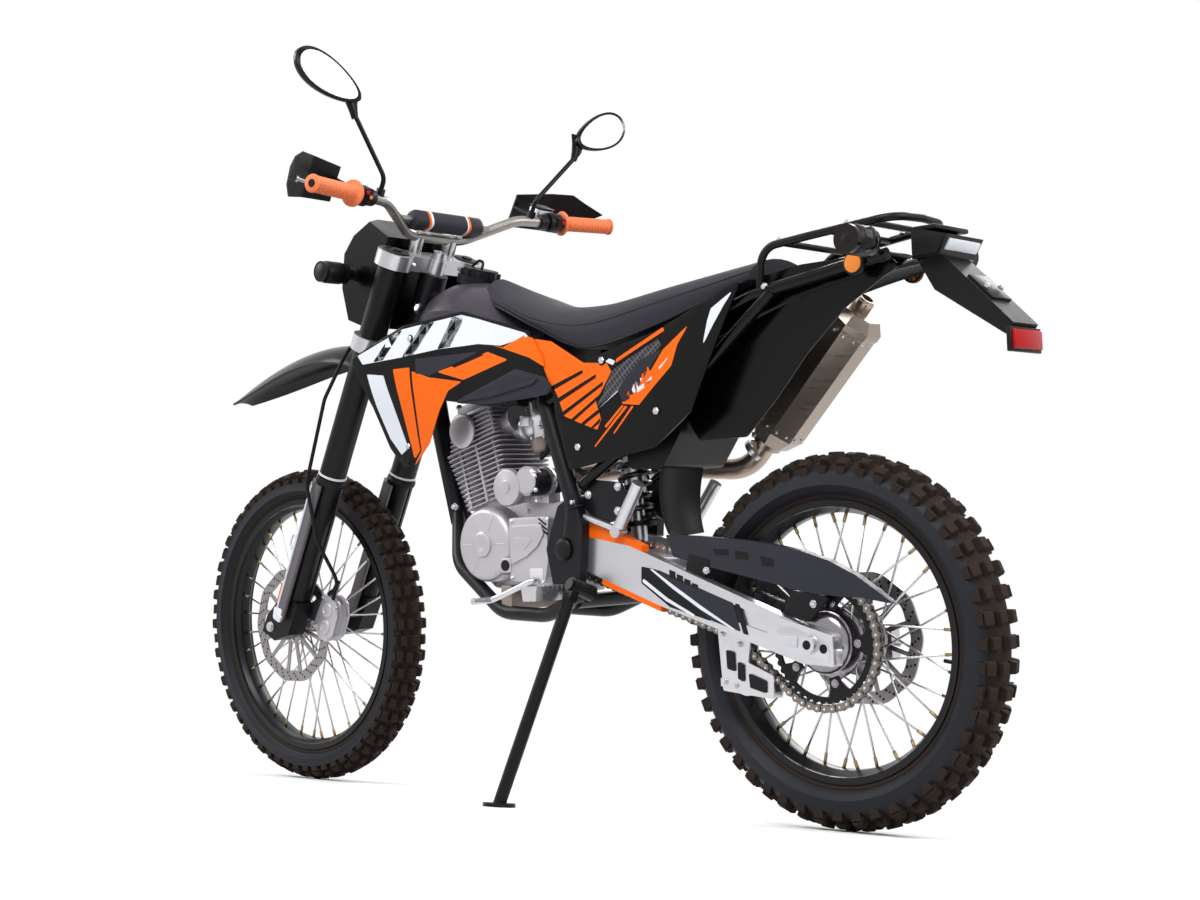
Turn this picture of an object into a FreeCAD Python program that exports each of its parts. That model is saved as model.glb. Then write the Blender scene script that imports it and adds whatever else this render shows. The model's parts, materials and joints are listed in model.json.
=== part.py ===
import FreeCAD, Part
import os
import re
import Sketcher
from FreeCAD import Placement, Rotation, Vector
from math import acos, asin, atan2, cos, pi, radians, sin, tan

# Enduro dirt bike with lights, mirrors and luggage rack, parked on its side stand.
# Bike frame: +X forward, +Y to the rider's left, +Z up, origin on the ground under the rear axle.
# Fork frame: origin on the front axle, +Z up along the legs, +X square to them and forward.
# Wheel frames: origin on the axle, which is their Y axis.

doc = FreeCAD.newDocument("EnduroDirtBike")
sheet = doc.addObject("Spreadsheet::Sheet", "Sizes")

# Driving sizes in millimetres, angles in degrees
drivingSizes = {
    # stance and steering geometry
    "headReach": 1000,
    "bodyHeight": 1000,
    "headRise": 96,
    "rakeAngle": 27,
    "axleLead": 35,
    "clampOffset": 22,
    "leanAngle": 8,
    "runningGap": 0.3,
    "cutOverrun": 5,
    # front wheel
    "frontTyreRadius": 348,
    "frontTyreWidth": 84,
    "frontRimRadius": 281,
    "frontRimWidth": 54,
    "frontAxleRadius": 10,
    "frontAxleBore": 6,
    "frontHubRadius": 19,
    "frontFlangeRadius": 30,
    "frontFlangeSpan": 62,
    "frontHubWidth": 124,
    "frontDiscRadius": 128,
    "frontDiscOffset": 60,
    # rear wheel
    "rearTyreRadius": 325,
    "rearTyreWidth": 100,
    "rearRimRadius": 243,
    "rearRimWidth": 66,
    "rearAxleRadius": 10,
    "rearHubRadius": 34,
    "rearFlangeRadius": 62,
    "rearFlangeSpan": 70,
    "rearHubWidth": 148,
    "hubDomeRadius": 53,
    "axleOverhang": 16,
    "rearDiscRadius": 118,
    "rearDiscOffset": 60,
    # both wheels
    "lugHeight": 13,
    "lugLength": 24,
    "lugWidth": 17,
    "frontLugPairs": 30,
    "rearLugPairs": 24,
    "rimWall": 3.5,
    "rimWellDepth": 17,
    "rimDepth": 23,
    "rimBedWidth": 16,
    "beadSeat": 9,
    "discThickness": 4,
    "discBand": 27,
    "discWave": 1.8,
    "discLobes": 10,
    "discArms": 6,
    "spokeWidth": 3.6,
    "spokePairs": 18,
    # chain drive
    "chainOffset": 64,
    "chainPitch": 15.875,
    "chainPlateHeight": 14.6,
    "chainWidth": 17.4,
    "chainWaistShare": 0.76,
    "rearTeeth": 44,
    "frontTeeth": 13,
    "sprocketThickness": 6,
    "sprocketArms": 5,
    "sprocketBoltCircle": 71,
    "sprocketBossRadius": 11,
    # frame
    "frameHalfWidth": 100,
    "headTubeRadius": 30,
    "headTubeBore": 17,
    "headTubeLength": 157,
    "downTubeRadius": 21,
    "cradleRadius": 14,
    "sparRadius": 17,
    "railRadius": 11,
    "castingThickness": 20,
    "pivotBoltRadius": 17,
    # engine and exhaust
    "barrelFins": 13,
    "headFins": 7,
    "finThickness": 2.8,
    "coverRibs": 12,
    "canSides": 8,
    "capLobes": 8,
    "pegTeeth": 6,
    # fork and bar
    "legSpacing": 200,
    "outerTubeRadius": 29,
    "innerTubeRadius": 22,
    "outerTubeLength": 528,
    "collarHeight": 14,
    "hoseRadius": 4,
    "capRise": 22,
    "clampThickness": 32,
    "stemRadius": 15,
    "barRadius": 14,
    "barEndRadius": 11,
    "barWidth": 834,
    "gripLength": 128,
    "gripRadius": 16.5,
    # swingarm
    "swingarmWidth": 194,
    "swingarmWall": 22,
    # side stand
    "standTubeRadius": 12,
    "standPinRadius": 7,
    "standBossRadius": 15,
    "standBossLength": 45,
    "standEyeThickness": 16,
    "pinClearance": 0.05,
    "standFootRadius": 30,
    "standFootThickness": 7,
    "standSpread": 146,
    "standForward": 70,
    "standRange": 105,
    "steerRange": 42,
    # panels
    "panelThickness": 4,
    "fenderThickness": 4,
}
for row, (alias, value) in enumerate(drivingSizes.items(), 1):
    sheet.set(f"A{row}", alias)
    sheet.set(f"B{row}", str(value))
    sheet.setAlias(f"B{row}", alias)
doc.recompute()


# A size read from the sheet by its alias
class SheetSizes:
    def __getattr__(self, alias):
        return float(sheet.get(alias))


size = SheetSizes()


# An expression over the aliases, written for the document
def bound(text):
    return re.sub(r"[A-Za-z]\w*", lambda word: "Sizes." + word.group(0) if word.group(0) in drivingSizes
                  else word.group(0), text)


# Binds properties of an object to expressions over the aliases
def bind(item, **expressions):
    for name, text in expressions.items():
        item.setExpression(name, bound(text))


# The number that an expression gives now
def worth(text):
    return float(sheet.evalExpression(bound(text)))


# Frames

rake = radians(size.rakeAngle)
axleOffset = size.axleLead + size.clampOffset
headHeight = size.bodyHeight + size.headRise
steerLength = (headHeight - size.frontTyreRadius + axleOffset * sin(rake)) / cos(rake)
wheelbase = size.headReach + steerLength * sin(rake) + axleOffset * cos(rake)
capHeight = steerLength + size.capRise
headTop = capHeight - size.clampThickness - size.runningGap
headBottom = headTop - size.headTubeLength
lowerClampHeight = headBottom - size.runningGap - size.clampThickness
bikeFrame = Placement()
rearWheelFrame = Placement(Vector(0, 0, size.rearTyreRadius), Rotation())
frontWheelFrame = Placement(Vector(wheelbase, 0, size.frontTyreRadius), Rotation())
forkFrame = frontWheelFrame * Placement(Vector(), Rotation(Vector(0, 1, 0), -size.rakeAngle))
leftSide = 1
rightSide = -1
bothSides = (leftSide, rightSide)


# A point of the bike frame in shares of the head reach, the frame's half width and the body height
def at(xShare, yShare, zShare):
    return Vector(xShare * size.headReach, yShare * size.frameHalfWidth, zShare * size.bodyHeight)


# A point of the bike frame from a point of the fork frame
def fromFork(point):
    return forkFrame.multVec(point)


# Nodes: label, object and the frame that it was modelled in
nodes = []


def keep(item, label, frame=bikeFrame):
    item.Label = label
    nodes.append((label, item, frame))
    return item


# The shape less what the named nodes of its own frame fill
def without(shape, *labels):
    for label, item, frame in nodes:
        if label in labels:
            shape = shape.cut(item.Shape)
    return shape


def keepShape(label, shape, frame=bikeFrame):
    item = doc.addObject("Part::Feature", label)
    item.Shape = shape
    return keep(item, label, frame)


# Shape helpers

def mirrored(shape):
    return shape.mirror(Vector(), Vector(0, 1, 0))


def withMirror(shape):
    return Part.makeCompound([shape, mirrored(shape)])


def fused(shapes):
    return shapes[0].multiFuse(shapes[1:]).removeSplitter()


# The largest tangent radius at a corner, up to the wanted one
def cornerRadius(before, corner, after, wanted):
    inward = (before - corner).normalize()
    outward = (after - corner).normalize()
    turn = pi - acos(max(-1, min(1, inward.dot(outward))))
    if turn < radians(1):
        return 0, turn
    room = 0.48 * min((before - corner).Length, (after - corner).Length)
    return min(wanted, room / tan(turn / 2)), turn


# Straight runs joined by tangent arcs
def roundedEdges(points, radius, closed=False):
    count = len(points)
    edges = []
    firstPoint = None
    lastPoint = None
    for index, corner in enumerate(points):
        if not closed and index in (0, count - 1):
            if index == 0:
                lastPoint = corner
            else:
                edges.append(Part.LineSegment(lastPoint, corner).toShape())
            continue
        before = points[index - 1]
        after = points[(index + 1) % count]
        bend, turn = cornerRadius(before, corner, after, radius)
        if bend <= 0:
            arcStart = arcEnd = corner
            arc = None
        else:
            inward = (before - corner).normalize()
            outward = (after - corner).normalize()
            setback = bend * tan(turn / 2)
            arcStart = corner + inward * setback
            arcEnd = corner + outward * setback
            bisector = (inward + outward).normalize()
            middle = corner + bisector * (bend / cos(turn / 2) - bend)
            arc = Part.Arc(arcStart, middle, arcEnd).toShape()
        if lastPoint is not None:
            edges.append(Part.LineSegment(lastPoint, arcStart).toShape())
        if firstPoint is None:
            firstPoint = arcStart
        if arc:
            edges.append(arc)
        lastPoint = arcEnd
    if closed:
        edges.append(Part.LineSegment(lastPoint, firstPoint).toShape())
    return edges


def tube(points, radius, bend):
    path = Part.Wire(roundedEdges(points, bend))
    direction = points[1] - points[0]
    profile = Part.Wire([Part.Circle(points[0], direction, radius).toShape()])
    return path.makePipeShell([profile], True, False)


def rod(start, end, radius):
    direction = end - start
    return Part.makeCylinder(radius, direction.Length, start, direction)


# A flat outline with rounded corners, pushed along a vector
def prism(points, depth, radius=0):
    if radius > 0:
        wire = Part.Wire(roundedEdges(points, radius, closed=True))
    else:
        wire = Part.makePolygon(points + points[:1])
    return Part.Face(wire).extrude(depth)


# A plate in a plane of constant Y, from low to high Y
def sidePlate(points, lowY, highY, radius=0):
    flat = [Vector(point.x, lowY, point.z) for point in points]
    return prism(flat, Vector(0, highY - lowY, 0), radius)


def loft(wires, ruled=False):
    return Part.makeLoft(wires, True, ruled)


# A closed section in a plane of constant X: flat bottom, upright sides and a crowned top
def crownedSection(x, halfWidth, bottomZ, shoulderZ, topZ):
    lowLeft = Vector(x, halfWidth, bottomZ)
    lowRight = Vector(x, -halfWidth, bottomZ)
    left = Vector(x, halfWidth, shoulderZ)
    right = Vector(x, -halfWidth, shoulderZ)
    crown = Part.Arc(left, Vector(x, 0, topZ), right).toShape()
    sides = Part.makePolygon([right, lowRight, lowLeft, left]).Edges
    return Part.Wire([crown] + sides)


# A thin arched section across the Y axis at a place, with up for its crown
def archSection(place, up, halfWidth, drop, thickness):
    across = Vector(0, 1, 0)
    outer = [place + across * halfWidth - up * drop, place, place - across * halfWidth - up * drop]
    inner = [point - up * thickness for point in outer]
    inner[0] -= across * thickness
    inner[2] += across * thickness
    edges = [Part.Arc(*outer).toShape(), Part.LineSegment(outer[2], inner[2]).toShape(),
             Part.Arc(inner[2], inner[1], inner[0]).toShape(), Part.LineSegment(inner[0], outer[0]).toShape()]
    return Part.Wire(edges)


# A closed sketch on an origin plane of its body, with every corner bound to the sheet.
# A corner is (x, y), or (x, y, middleX, middleY) when the edge that leaves it is an arc.
def boundSketch(body, plane, corners, name):
    sketch = body.newObject("Sketcher::SketchObject", name)
    origin = [feature for feature in body.Origin.OriginFeatures if feature.Role == plane][0]
    sketch.AttachmentSupport = [(origin, "")]
    sketch.MapMode = "FlatFace"
    places = [Vector(worth(corner[0]), worth(corner[1]), 0) for corner in corners]
    ends = []
    for index, corner in enumerate(corners):
        start = places[index]
        end = places[(index + 1) % len(places)]
        if len(corner) == 4:
            middle = Vector(worth(corner[2]), worth(corner[3]), 0)
            edge = sketch.addGeometry(Part.Arc(start, middle, end), False)
            startsHere = sketch.getPoint(edge, 1).isEqual(start, size.runningGap / 10)
            ends.append((edge, 1, 2) if startsHere else (edge, 2, 1))
        else:
            edge = sketch.addGeometry(Part.LineSegment(start, end), False)
            ends.append((edge, 1, 2))
    for index, corner in enumerate(corners):
        edge, first, last = ends[index]
        following = ends[(index + 1) % len(ends)]
        sketch.addConstraint(Sketcher.Constraint("Coincident", edge, last, following[0], following[1]))
        bindPoint(sketch, edge, first, corner[0], corner[1])
        if len(corner) == 4:
            middle = Vector(worth(corner[2]), worth(corner[3]), 0)
            helper = sketch.addGeometry(Part.Point(middle), True)
            bindPoint(sketch, helper, 1, corner[2], corner[3])
            sketch.addConstraint(Sketcher.Constraint("PointOnObject", helper, 1, edge))
    return sketch


def bindPoint(sketch, geometry, end, xText, yText):
    for kind, text in (("DistanceX", xText), ("DistanceY", yText)):
        number = sketch.addConstraint(Sketcher.Constraint(kind, -1, 1, geometry, end, worth(text)))
        sketch.setExpression(f"Constraints[{number}]", bound(text))


# A body turned about the wheel axle: corners are (radius, place along the axle)
def turnedBody(label, corners, frame):
    body = doc.addObject("PartDesign::Body", label)
    sketch = boundSketch(body, "XY_Plane", corners, label + "_profile")
    turned = body.newObject("PartDesign::Revolution", label + "_turned")
    turned.Profile = sketch
    turned.ReferenceAxis = (sketch, ["V_Axis"])
    turned.Angle = 360
    return keep(body, label, frame)


# Outlines as shares of the head reach and the body height

def sideOutline(shares):
    return [at(x, 0, z) for x, z in shares]


# The same in the fork frame, in shares of the frame's half width
def forkOutline(shares):
    return [Vector(x, 0, z) * size.frameHalfWidth for x, z in shares]


# A cylinder bound to the sheet, standing on a place along a direction
def boundRod(name, radiusText, lengthText, start, direction):
    item = doc.addObject("Part::Cylinder", name)
    bind(item, Radius=radiusText, Height=lengthText)
    item.Placement = Placement(start, Rotation(Vector(0, 0, 1), direction))
    return item


# Solids bound to the sheet that stand together as one node
def keepTogether(label, items, frame=bikeFrame, kind="Part::Compound"):
    whole = doc.addObject(kind, label)
    if kind == "Part::Compound":
        whole.Links = items
    else:
        whole.Shapes = items
    doc.recompute()
    return keep(whole, label, frame)


# Turns a shape that was built along +Z so that it runs from one place to another
def stoodAlong(shape, start, end):
    shape.Placement = Placement(start, Rotation(Vector(0, 0, 1), end - start))
    return shape


# A closed wave round the Y axis, as a plate from low to high
def wavePlate(radius, depth, lobes, low, high):
    points = []
    for index in range(lobes * 4):
        turn = pi * index / lobes / 2
        reach = radius + depth * (cos(turn * lobes) - 1)
        points.append(Vector(reach * cos(turn), low, reach * sin(turn)))
    curve = Part.BSplineCurve()
    curve.interpolate(points, PeriodicFlag=True)
    return Part.Face(Part.Wire([curve.toShape()])).extrude(Vector(0, high - low, 0))


def ringPlate(outer, inner, low, high, centre=Vector()):
    across = Vector(0, 1, 0)
    ring = Part.makeCylinder(outer, high - low, centre + across * low, across)
    return ring.cut(Part.makeCylinder(inner, high - low, centre + across * low, across))


# A toothed outline round a centre, in straight lines from root to tip
def toothedPlate(centre, teeth, tip, root, low, high):
    points = []
    for index in range(teeth):
        for part, radius in enumerate((root, tip, tip, root)):
            turn = 2 * pi * (index + toothShares[part]) / teeth
            points.append(centre + Vector(radius * cos(turn), low, radius * sin(turn)))
    return prism(points, Vector(0, high - low, 0))


toothShares = (0.0, 0.3, 0.55, 0.85)


# Wheels

# The tread's crown: its radius, its centre's distance from the axle and half its spread in radians
def treadCrown(end):
    half = getattr(size, f"{end}TyreWidth") * treadHalfShare
    drop = getattr(size, f"{end}TyreWidth") * treadDropShare
    crown = (half * half + drop * drop) / drop / 2
    return crown, getattr(size, f"{end}TyreRadius") - crown, asin(half / crown)


treadHalfShare = 0.42
treadDropShare = 0.14
casingShares = ((0.48, 0.47), (0.72, 0.485))
lugRootShare = 1.4


# A ring round the Y axis in flat facets; corners are (radius, place along the axle)
def facetedRing(corners, sectors):
    rings = []
    for index in range(sectors):
        turn = 2 * pi * (index + 0.5) / sectors - pi / 2
        rings.append([Vector(radius * cos(turn), place, radius * sin(turn)) for radius, place in corners])
    faces = []
    for near, far in zip(rings, rings[1:] + rings[:1]):
        for low in range(len(corners)):
            high = (low + 1) % len(corners)
            faces.append(Part.Face(Part.makePolygon([near[low], near[high], far[high], far[low], near[low]])))
    ring = Part.Solid(Part.Shell(faces))
    return ring if ring.Volume > 0 else ring.reversed()


# One lug on the casing, at a turn about the axle and a lean over the crown
def treadLug(end, turn, lean):
    crown, centre, spread = treadCrown(end)
    foot = crown - size.lugHeight * lugRootShare
    block = Part.makeBox(crown - foot, size.lugWidth, size.lugLength,
                         Vector(foot, -size.lugWidth / 2, -size.lugLength / 2))
    around = Rotation(Vector(0, 1, 0), -turn * 180 / pi)
    over = Placement(Vector(centre, 0, 0), Rotation(Vector(0, 0, 1), lean * 180 / pi))
    block.Placement = Placement(Vector(), around) * over
    return block


def makeTyre(end, frame):
    rim = getattr(size, f"{end}RimRadius")
    rimHalf = getattr(size, f"{end}RimWidth") / 2
    radius = getattr(size, f"{end}TyreRadius")
    width = getattr(size, f"{end}TyreWidth")
    pairs = int(getattr(size, f"{end}LugPairs"))
    crown, centre, spread = treadCrown(end)
    base = crown - size.lugHeight
    half = [(rim - size.beadSeat, rimHalf - size.rimWall * 2 - size.runningGap),
            (rim + size.runningGap, rimHalf - size.rimWall - size.runningGap)]
    half += [(rim + (radius - rim) * up, width * across) for up, across in casingShares]
    half.append((centre + base * cos(spread), base * sin(spread)))
    flat = cos(pi / pairs)
    half[:2] = [(reach / flat, place) for reach, place in half[:2]]
    corners = half + [(centre + base, 0)] + [(reach, -place) for reach, place in reversed(half)]
    lugs = []
    for row in range(pairs * 2):
        turn = pi * row / pairs - pi / 2
        for lean in (0,) if row % 2 == 0 else (-spread, spread):
            lugs.append(treadLug(end, turn, lean))
    tyre = facetedRing(corners, pairs).multiFuse(lugs)
    return keepShape(f"{end}_tyre", tyre, frame)


def makeRim(end, frame):
    rim, rimWidth = f"{end}RimRadius", f"{end}RimWidth"
    half = [
        (f"{rim} - rimDepth", "rimBedWidth/2"),
        (f"{rim} - beadSeat - rimWall - runningGap", f"{rimWidth}/2 - rimWall"),
        (f"{rim} - beadSeat - rimWall - runningGap", f"{rimWidth}/2"),
        (rim, f"{rimWidth}/2"),
        (rim, f"{rimWidth}/2 - rimWall"),
        (f"{rim} - beadSeat - runningGap", f"{rimWidth}/2 - rimWall*2"),
        (f"{rim} - rimWellDepth", "rimBedWidth/2"),
    ]
    other = [(radius, f"0 - ({place})") for radius, place in reversed(half)]
    return turnedBody(f"{end}_rim", half + other, frame)


# Crossed spokes from both hub flanges to the rim bed, square in section
def spokeSet(end):
    pairs = int(size.spokePairs)
    hubRadius = getattr(size, f"{end}FlangeRadius") - size.spokeWidth
    rimRadius = getattr(size, f"{end}RimRadius") - size.rimDepth - size.runningGap * 2
    flange = getattr(size, f"{end}FlangeSpan") / 2
    lean = radians(360 / pairs) * 1.7
    spokes = []
    for index in range(pairs):
        side = leftSide if index % 2 else rightSide
        middle = 2 * pi * index / pairs
        for sweep in bothSides:
            foot = middle + sweep * lean
            tip = middle + sweep * pi / pairs / 2
            start = Vector(hubRadius * cos(foot), side * flange, hubRadius * sin(foot))
            finish = Vector(rimRadius * cos(tip), side * size.rimBedWidth * 0.3, rimRadius * sin(tip))
            spokes.append(squareBar(start, finish, size.spokeWidth))
    return spokes


def squareBar(start, end, width):
    direction = (end - start).normalize()
    across = direction.cross(Vector(0, 1, 0)).normalize() * (width / 2)
    up = direction.cross(across).normalize() * (width / 2)
    corners = [start + across + up, start - across + up, start - across - up, start + across - up]
    return prism(corners, end - start)


spigotShare = 0.75


# The hub's side: (radius, place along the axle) from the spoke flange out to the end
def hubSide(end):
    hub = getattr(size, f"{end}HubRadius")
    flange = getattr(size, f"{end}FlangeRadius")
    half = getattr(size, f"{end}FlangeSpan") / 2
    wall = size.rimWall
    seat = getattr(size, f"{end}DiscOffset") - size.discThickness / 2
    return [(hub, half - wall * 2), (flange, half - wall), (flange, half + wall), (hub, half + wall * 2),
            (hub, seat), (hub * spigotShare, seat), (hub * spigotShare, getattr(size, f"{end}HubWidth") / 2)]


# The rear hub's left side swells to carry the sprocket and ends in a dome
def hubDome():
    half = size.rearFlangeSpan / 2
    wall = size.rimWall
    seat = size.chainOffset - size.sprocketThickness / 2
    dome = size.hubDomeRadius
    return [(size.rearHubRadius, half - wall * 2), (size.rearFlangeRadius, half - wall),
            (size.rearFlangeRadius, half + wall), (dome, half + wall * 2), (size.rearFlangeRadius,
                                                                            seat - wall * 3),
            (size.rearFlangeRadius, seat), (dome, seat), (dome, seat + wall * 2),
            (dome * spigotShare, size.rearHubWidth / 2)]


# Where the sprocket is bolted on
def sprocketBolts():
    turns = [2 * pi * (index + 0.5) / size.sprocketArms for index in range(int(size.sprocketArms))]
    return [Vector(cos(turn), 0, sin(turn)) * size.sprocketBoltCircle for turn in turns]


def makeHub(end, frame):
    bore = getattr(size, f"{end}AxleRadius") + size.runningGap
    width = getattr(size, f"{end}HubWidth")
    left = hubDome() if end == "rear" else hubSide(end)
    profile = [(bore, -width / 2)] + [(radius, -place) for radius, place in reversed(hubSide(end))]
    profile += left + [(bore, width / 2)]
    points = [Vector(radius, place, 0) for radius, place in profile]
    barrel = Part.Face(Part.makePolygon(points + points[:1])).revolve(Vector(), Vector(0, 1, 0), 360)
    pieces = [barrel] + spokeSet(end)
    if end == "rear":
        seat = size.chainOffset - size.sprocketThickness / 2
        for place in sprocketBolts():
            pieces.append(rod(place + Vector(0, seat - size.rimWall * 3, 0), place + Vector(0, seat, 0),
                              size.sprocketBossRadius))
    return keepShape(f"{end}_hub", fused(pieces), frame)


# A wavy brake disc with a slanted slot and a hole in every lobe, on a thin-armed carrier
def makeDisc(end, side, frame):
    outer = getattr(size, f"{end}DiscRadius")
    inner = outer - size.discBand
    low = side * getattr(size, f"{end}DiscOffset") - size.discThickness / 2
    high = low + size.discThickness
    hub = getattr(size, f"{end}HubRadius") * spigotShare + size.runningGap
    lobes = int(size.discLobes)
    band = wavePlate(outer, size.discWave, lobes, low, high)
    band = band.cut(wavePlate(inner, size.discWave, lobes, low, high))
    arms = []
    cuts = []
    for index in range(int(size.discArms)):
        turn = 2 * pi * (index + 0.25) / size.discArms
        direction = Vector(cos(turn), 0, sin(turn))
        arm = squareBar(direction * hub, direction * (inner + size.discBand * 0.3), size.discThickness)
        arms.append(arm.translated(Vector(0, (low + high) / 2, 0)))
    for index in range(lobes):
        turn = 2 * pi * index / lobes
        cuts.append(discSlot(inner, turn, low))
        hole = Vector(cos(turn + pi / lobes * 0.7), 0,
                      sin(turn + pi / lobes * 0.7)) * (inner + size.discBand * 0.5)
        cuts.append(Part.makeCylinder(size.discThickness * 0.8, size.discThickness, hole + Vector(0, low, 0),
                                      Vector(0, 1, 0)))
    disc = fused([band, ringPlate(hub + size.discBand * 0.5, hub, low, high)] + arms)
    disc = disc.cut(Part.makeCompound(cuts)).cut(rod(Vector(0, low, 0), Vector(0, high, 0), hub))
    return keepShape(f"{end}_disc", disc, frame)


# Chain drive

def pitchRadius(teeth):
    return size.chainPitch / 2 / sin(pi / teeth)


def discSlot(inner, turn, low):
    middle = inner + size.discBand * 0.45
    slot = [Vector(middle + along * size.discBand, low, across * size.discBand) for along,
            across in slotShares]
    shape = prism(slot, Vector(0, size.discThickness, 0), size.discThickness * 0.3)
    shape.rotate(Vector(), Vector(0, 1, 0), -turn * 180 / pi)
    return shape


slotShares = ((-0.25, -0.28), (-0.17, -0.36), (0.25, 0.12), (0.17, 0.20))


def makeRearSprocket():
    tip = pitchRadius(size.rearTeeth) - size.chainPlateHeight / 2 - size.runningGap * 3
    low = size.chainOffset - size.sprocketThickness / 2
    high = low + size.sprocketThickness
    root = tip - size.chainPitch * 0.25
    plate = toothedPlate(Vector(), int(size.rearTeeth), tip, root, low, high)
    plate = plate.cut(Part.makeCylinder(root - size.chainPitch * 0.5, size.sprocketThickness,
                                        Vector(0, low, 0),
                                        Vector(0, 1, 0)))
    arms = []
    for place in sprocketBolts():
        out = Vector(place).normalize()
        across = out.cross(Vector(0, 1, 0))
        arm = [out * (size.sprocketBoltCircle * reach) + across * (size.sprocketBoltCircle * half)
               + Vector(0, low, 0) for reach, half in armShares]
        arms.append(prism(arm, Vector(0, size.sprocketThickness, 0), size.sprocketThickness * 0.3))
    hole = Part.makeCylinder(size.hubDomeRadius + size.runningGap, size.sprocketThickness, Vector(0, low, 0),
                             Vector(0, 1, 0))
    return keepShape("rear_sprocket", fused([plate] + arms).cut(hole), rearWheelFrame)


# Places of the drive in the bike frame
countershaft = at(0.605, 0, 0.503)
chainGuideBend = at(0.178, 0, -0.047) + (Vector(0, 0, size.rearTyreRadius) * 0.706 + Vector(0, 0,
                                                                                            countershaft.z) * 0.294)
pivot = at(0.545, 0, 0.498)
rearAxle = Vector(0, 0, size.rearTyreRadius)
frontAxle = Vector(wheelbase, 0, size.frontTyreRadius)


# Line tangent to two circles on their outer side, for circles listed counterclockwise in X and Z
def outerTangent(first, firstRadius, second, secondRadius):
    along = second - first
    distance = along.Length
    direction = atan2(along.z, along.x)
    swing = direction - pi / 2 + asin((firstRadius - secondRadius) / distance)
    normal = Vector(cos(swing), 0, sin(swing))
    return first + normal * firstRadius, second + normal * secondRadius


# The closed line of the chain round its two sprockets and over the guide
def chainLine(extra):
    circles = [(rearAxle, pitchRadius(size.rearTeeth) + extra),
               (chainGuideBend, size.chainPitch * 3 + extra),
               (countershaft, pitchRadius(size.frontTeeth) + extra)]
    tangents = []
    for index, (centre, radius) in enumerate(circles):
        following = circles[(index + 1) % len(circles)]
        tangents.append(outerTangent(centre, radius, following[0], following[1]))
    edges = []
    for index, (start, finish) in enumerate(tangents):
        edges.append(Part.LineSegment(start, finish).toShape())
        centre, radius = circles[(index + 1) % len(circles)]
        leave = tangents[(index + 1) % len(tangents)][0]
        middle = ((finish - centre) + (leave - centre)).normalize() * radius
        if (finish - centre).cross(leave - centre).y > 0:
            middle = middle * -1
        edges.append(Part.Arc(finish, centre + middle, leave).toShape())
    return Part.Wire(edges)


# The chain: a band whose outer edge narrows between the pins, and the countershaft sprocket in it
def makeDriveChain():
    line = chainLine(0)
    links = round(line.Length / size.chainPitch)
    path = line.discretize(Number=links * 2 + 1)[:-1]
    turning = sum((path[index - 1].cross(path[index]).y for index in range(len(path))))
    outer = []
    for index, point in enumerate(path):
        ahead = path[(index + 1) % len(path)] - path[index - 1]
        normal = Vector(ahead.z, 0, -ahead.x).normalize() * (1 if turning < 0 else -1)
        half = size.chainPlateHeight / 2 * (1 if index % 2 == 0 else size.chainWaistShare)
        outer.append(point + normal * half)
    band = prism(outer, Vector(0, size.chainWidth, 0))
    hollow = Part.Face(chainLine(-size.chainPlateHeight / 2)).extrude(Vector(0, size.chainWidth, 0))
    band = band.cut(hollow)
    band.translate(Vector(0, size.chainOffset - size.chainWidth / 2, 0))
    low = size.chainOffset - size.sprocketThickness / 2
    tip = pitchRadius(size.frontTeeth) - size.chainPlateHeight / 2 - size.runningGap
    sprocket = toothedPlate(countershaft, int(size.frontTeeth), tip, tip - size.chainPitch * 0.2, low,
                            low + size.sprocketThickness)
    return keepShape("drive_chain", Part.makeCompound([band, sprocket]))


armShares = ((0.84, 0.13), (1.02, 0.15), (1.30, 0.30), (1.30, -0.30), (1.02, -0.15), (0.84, -0.13))


# Side stand: its places are needed by the frame, which carries its pin
standPivot = at(0.505, 1.38, 0.43)


# How far the leaning tyres reach below the line that the bike leans about
def groundDrop():
    lean = Placement(Vector(), Rotation(Vector(1, 0, 0), -size.leanAngle))
    drops = []
    for label, item, frame in nodes:
        if label in ("front_tyre", "rear_tyre"):
            drops.append(-item.Shape.copy().transformGeometry((lean * frame).toMatrix()).BoundBox.ZMin)
    share = standPivot.x / wheelbase
    return drops[1] * (1 - share) + drops[0] * share


def standFoot():
    lean = radians(size.leanAngle)
    footY = standPivot.y + size.standSpread
    return Vector(standPivot.x + size.standForward, footY, footY * tan(lean) - leanDrop / cos(lean))


# The stand turns about the line square to both its deployed and its folded direction
def standAxis():
    deployed = (standFoot() - standPivot).normalize()
    folded = Vector(-0.97, 0.08, 0.22)
    return deployed.cross(folded).normalize()


# The frame's boss and headed pin for the stand
def standPin():
    axis = standAxis()
    half = size.standEyeThickness / 2 + size.runningGap
    boss = rod(standPivot - axis * size.standBossLength, standPivot - axis * half, size.standBossRadius)
    pin = rod(standPivot - axis * size.standBossLength, standPivot + axis * (half + size.panelThickness),
              size.standPinRadius)
    head = rod(standPivot + axis * half, standPivot + axis * (half + size.panelThickness),
               size.standPinRadius * 1.6)
    return fused([boss, pin, head])


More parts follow.
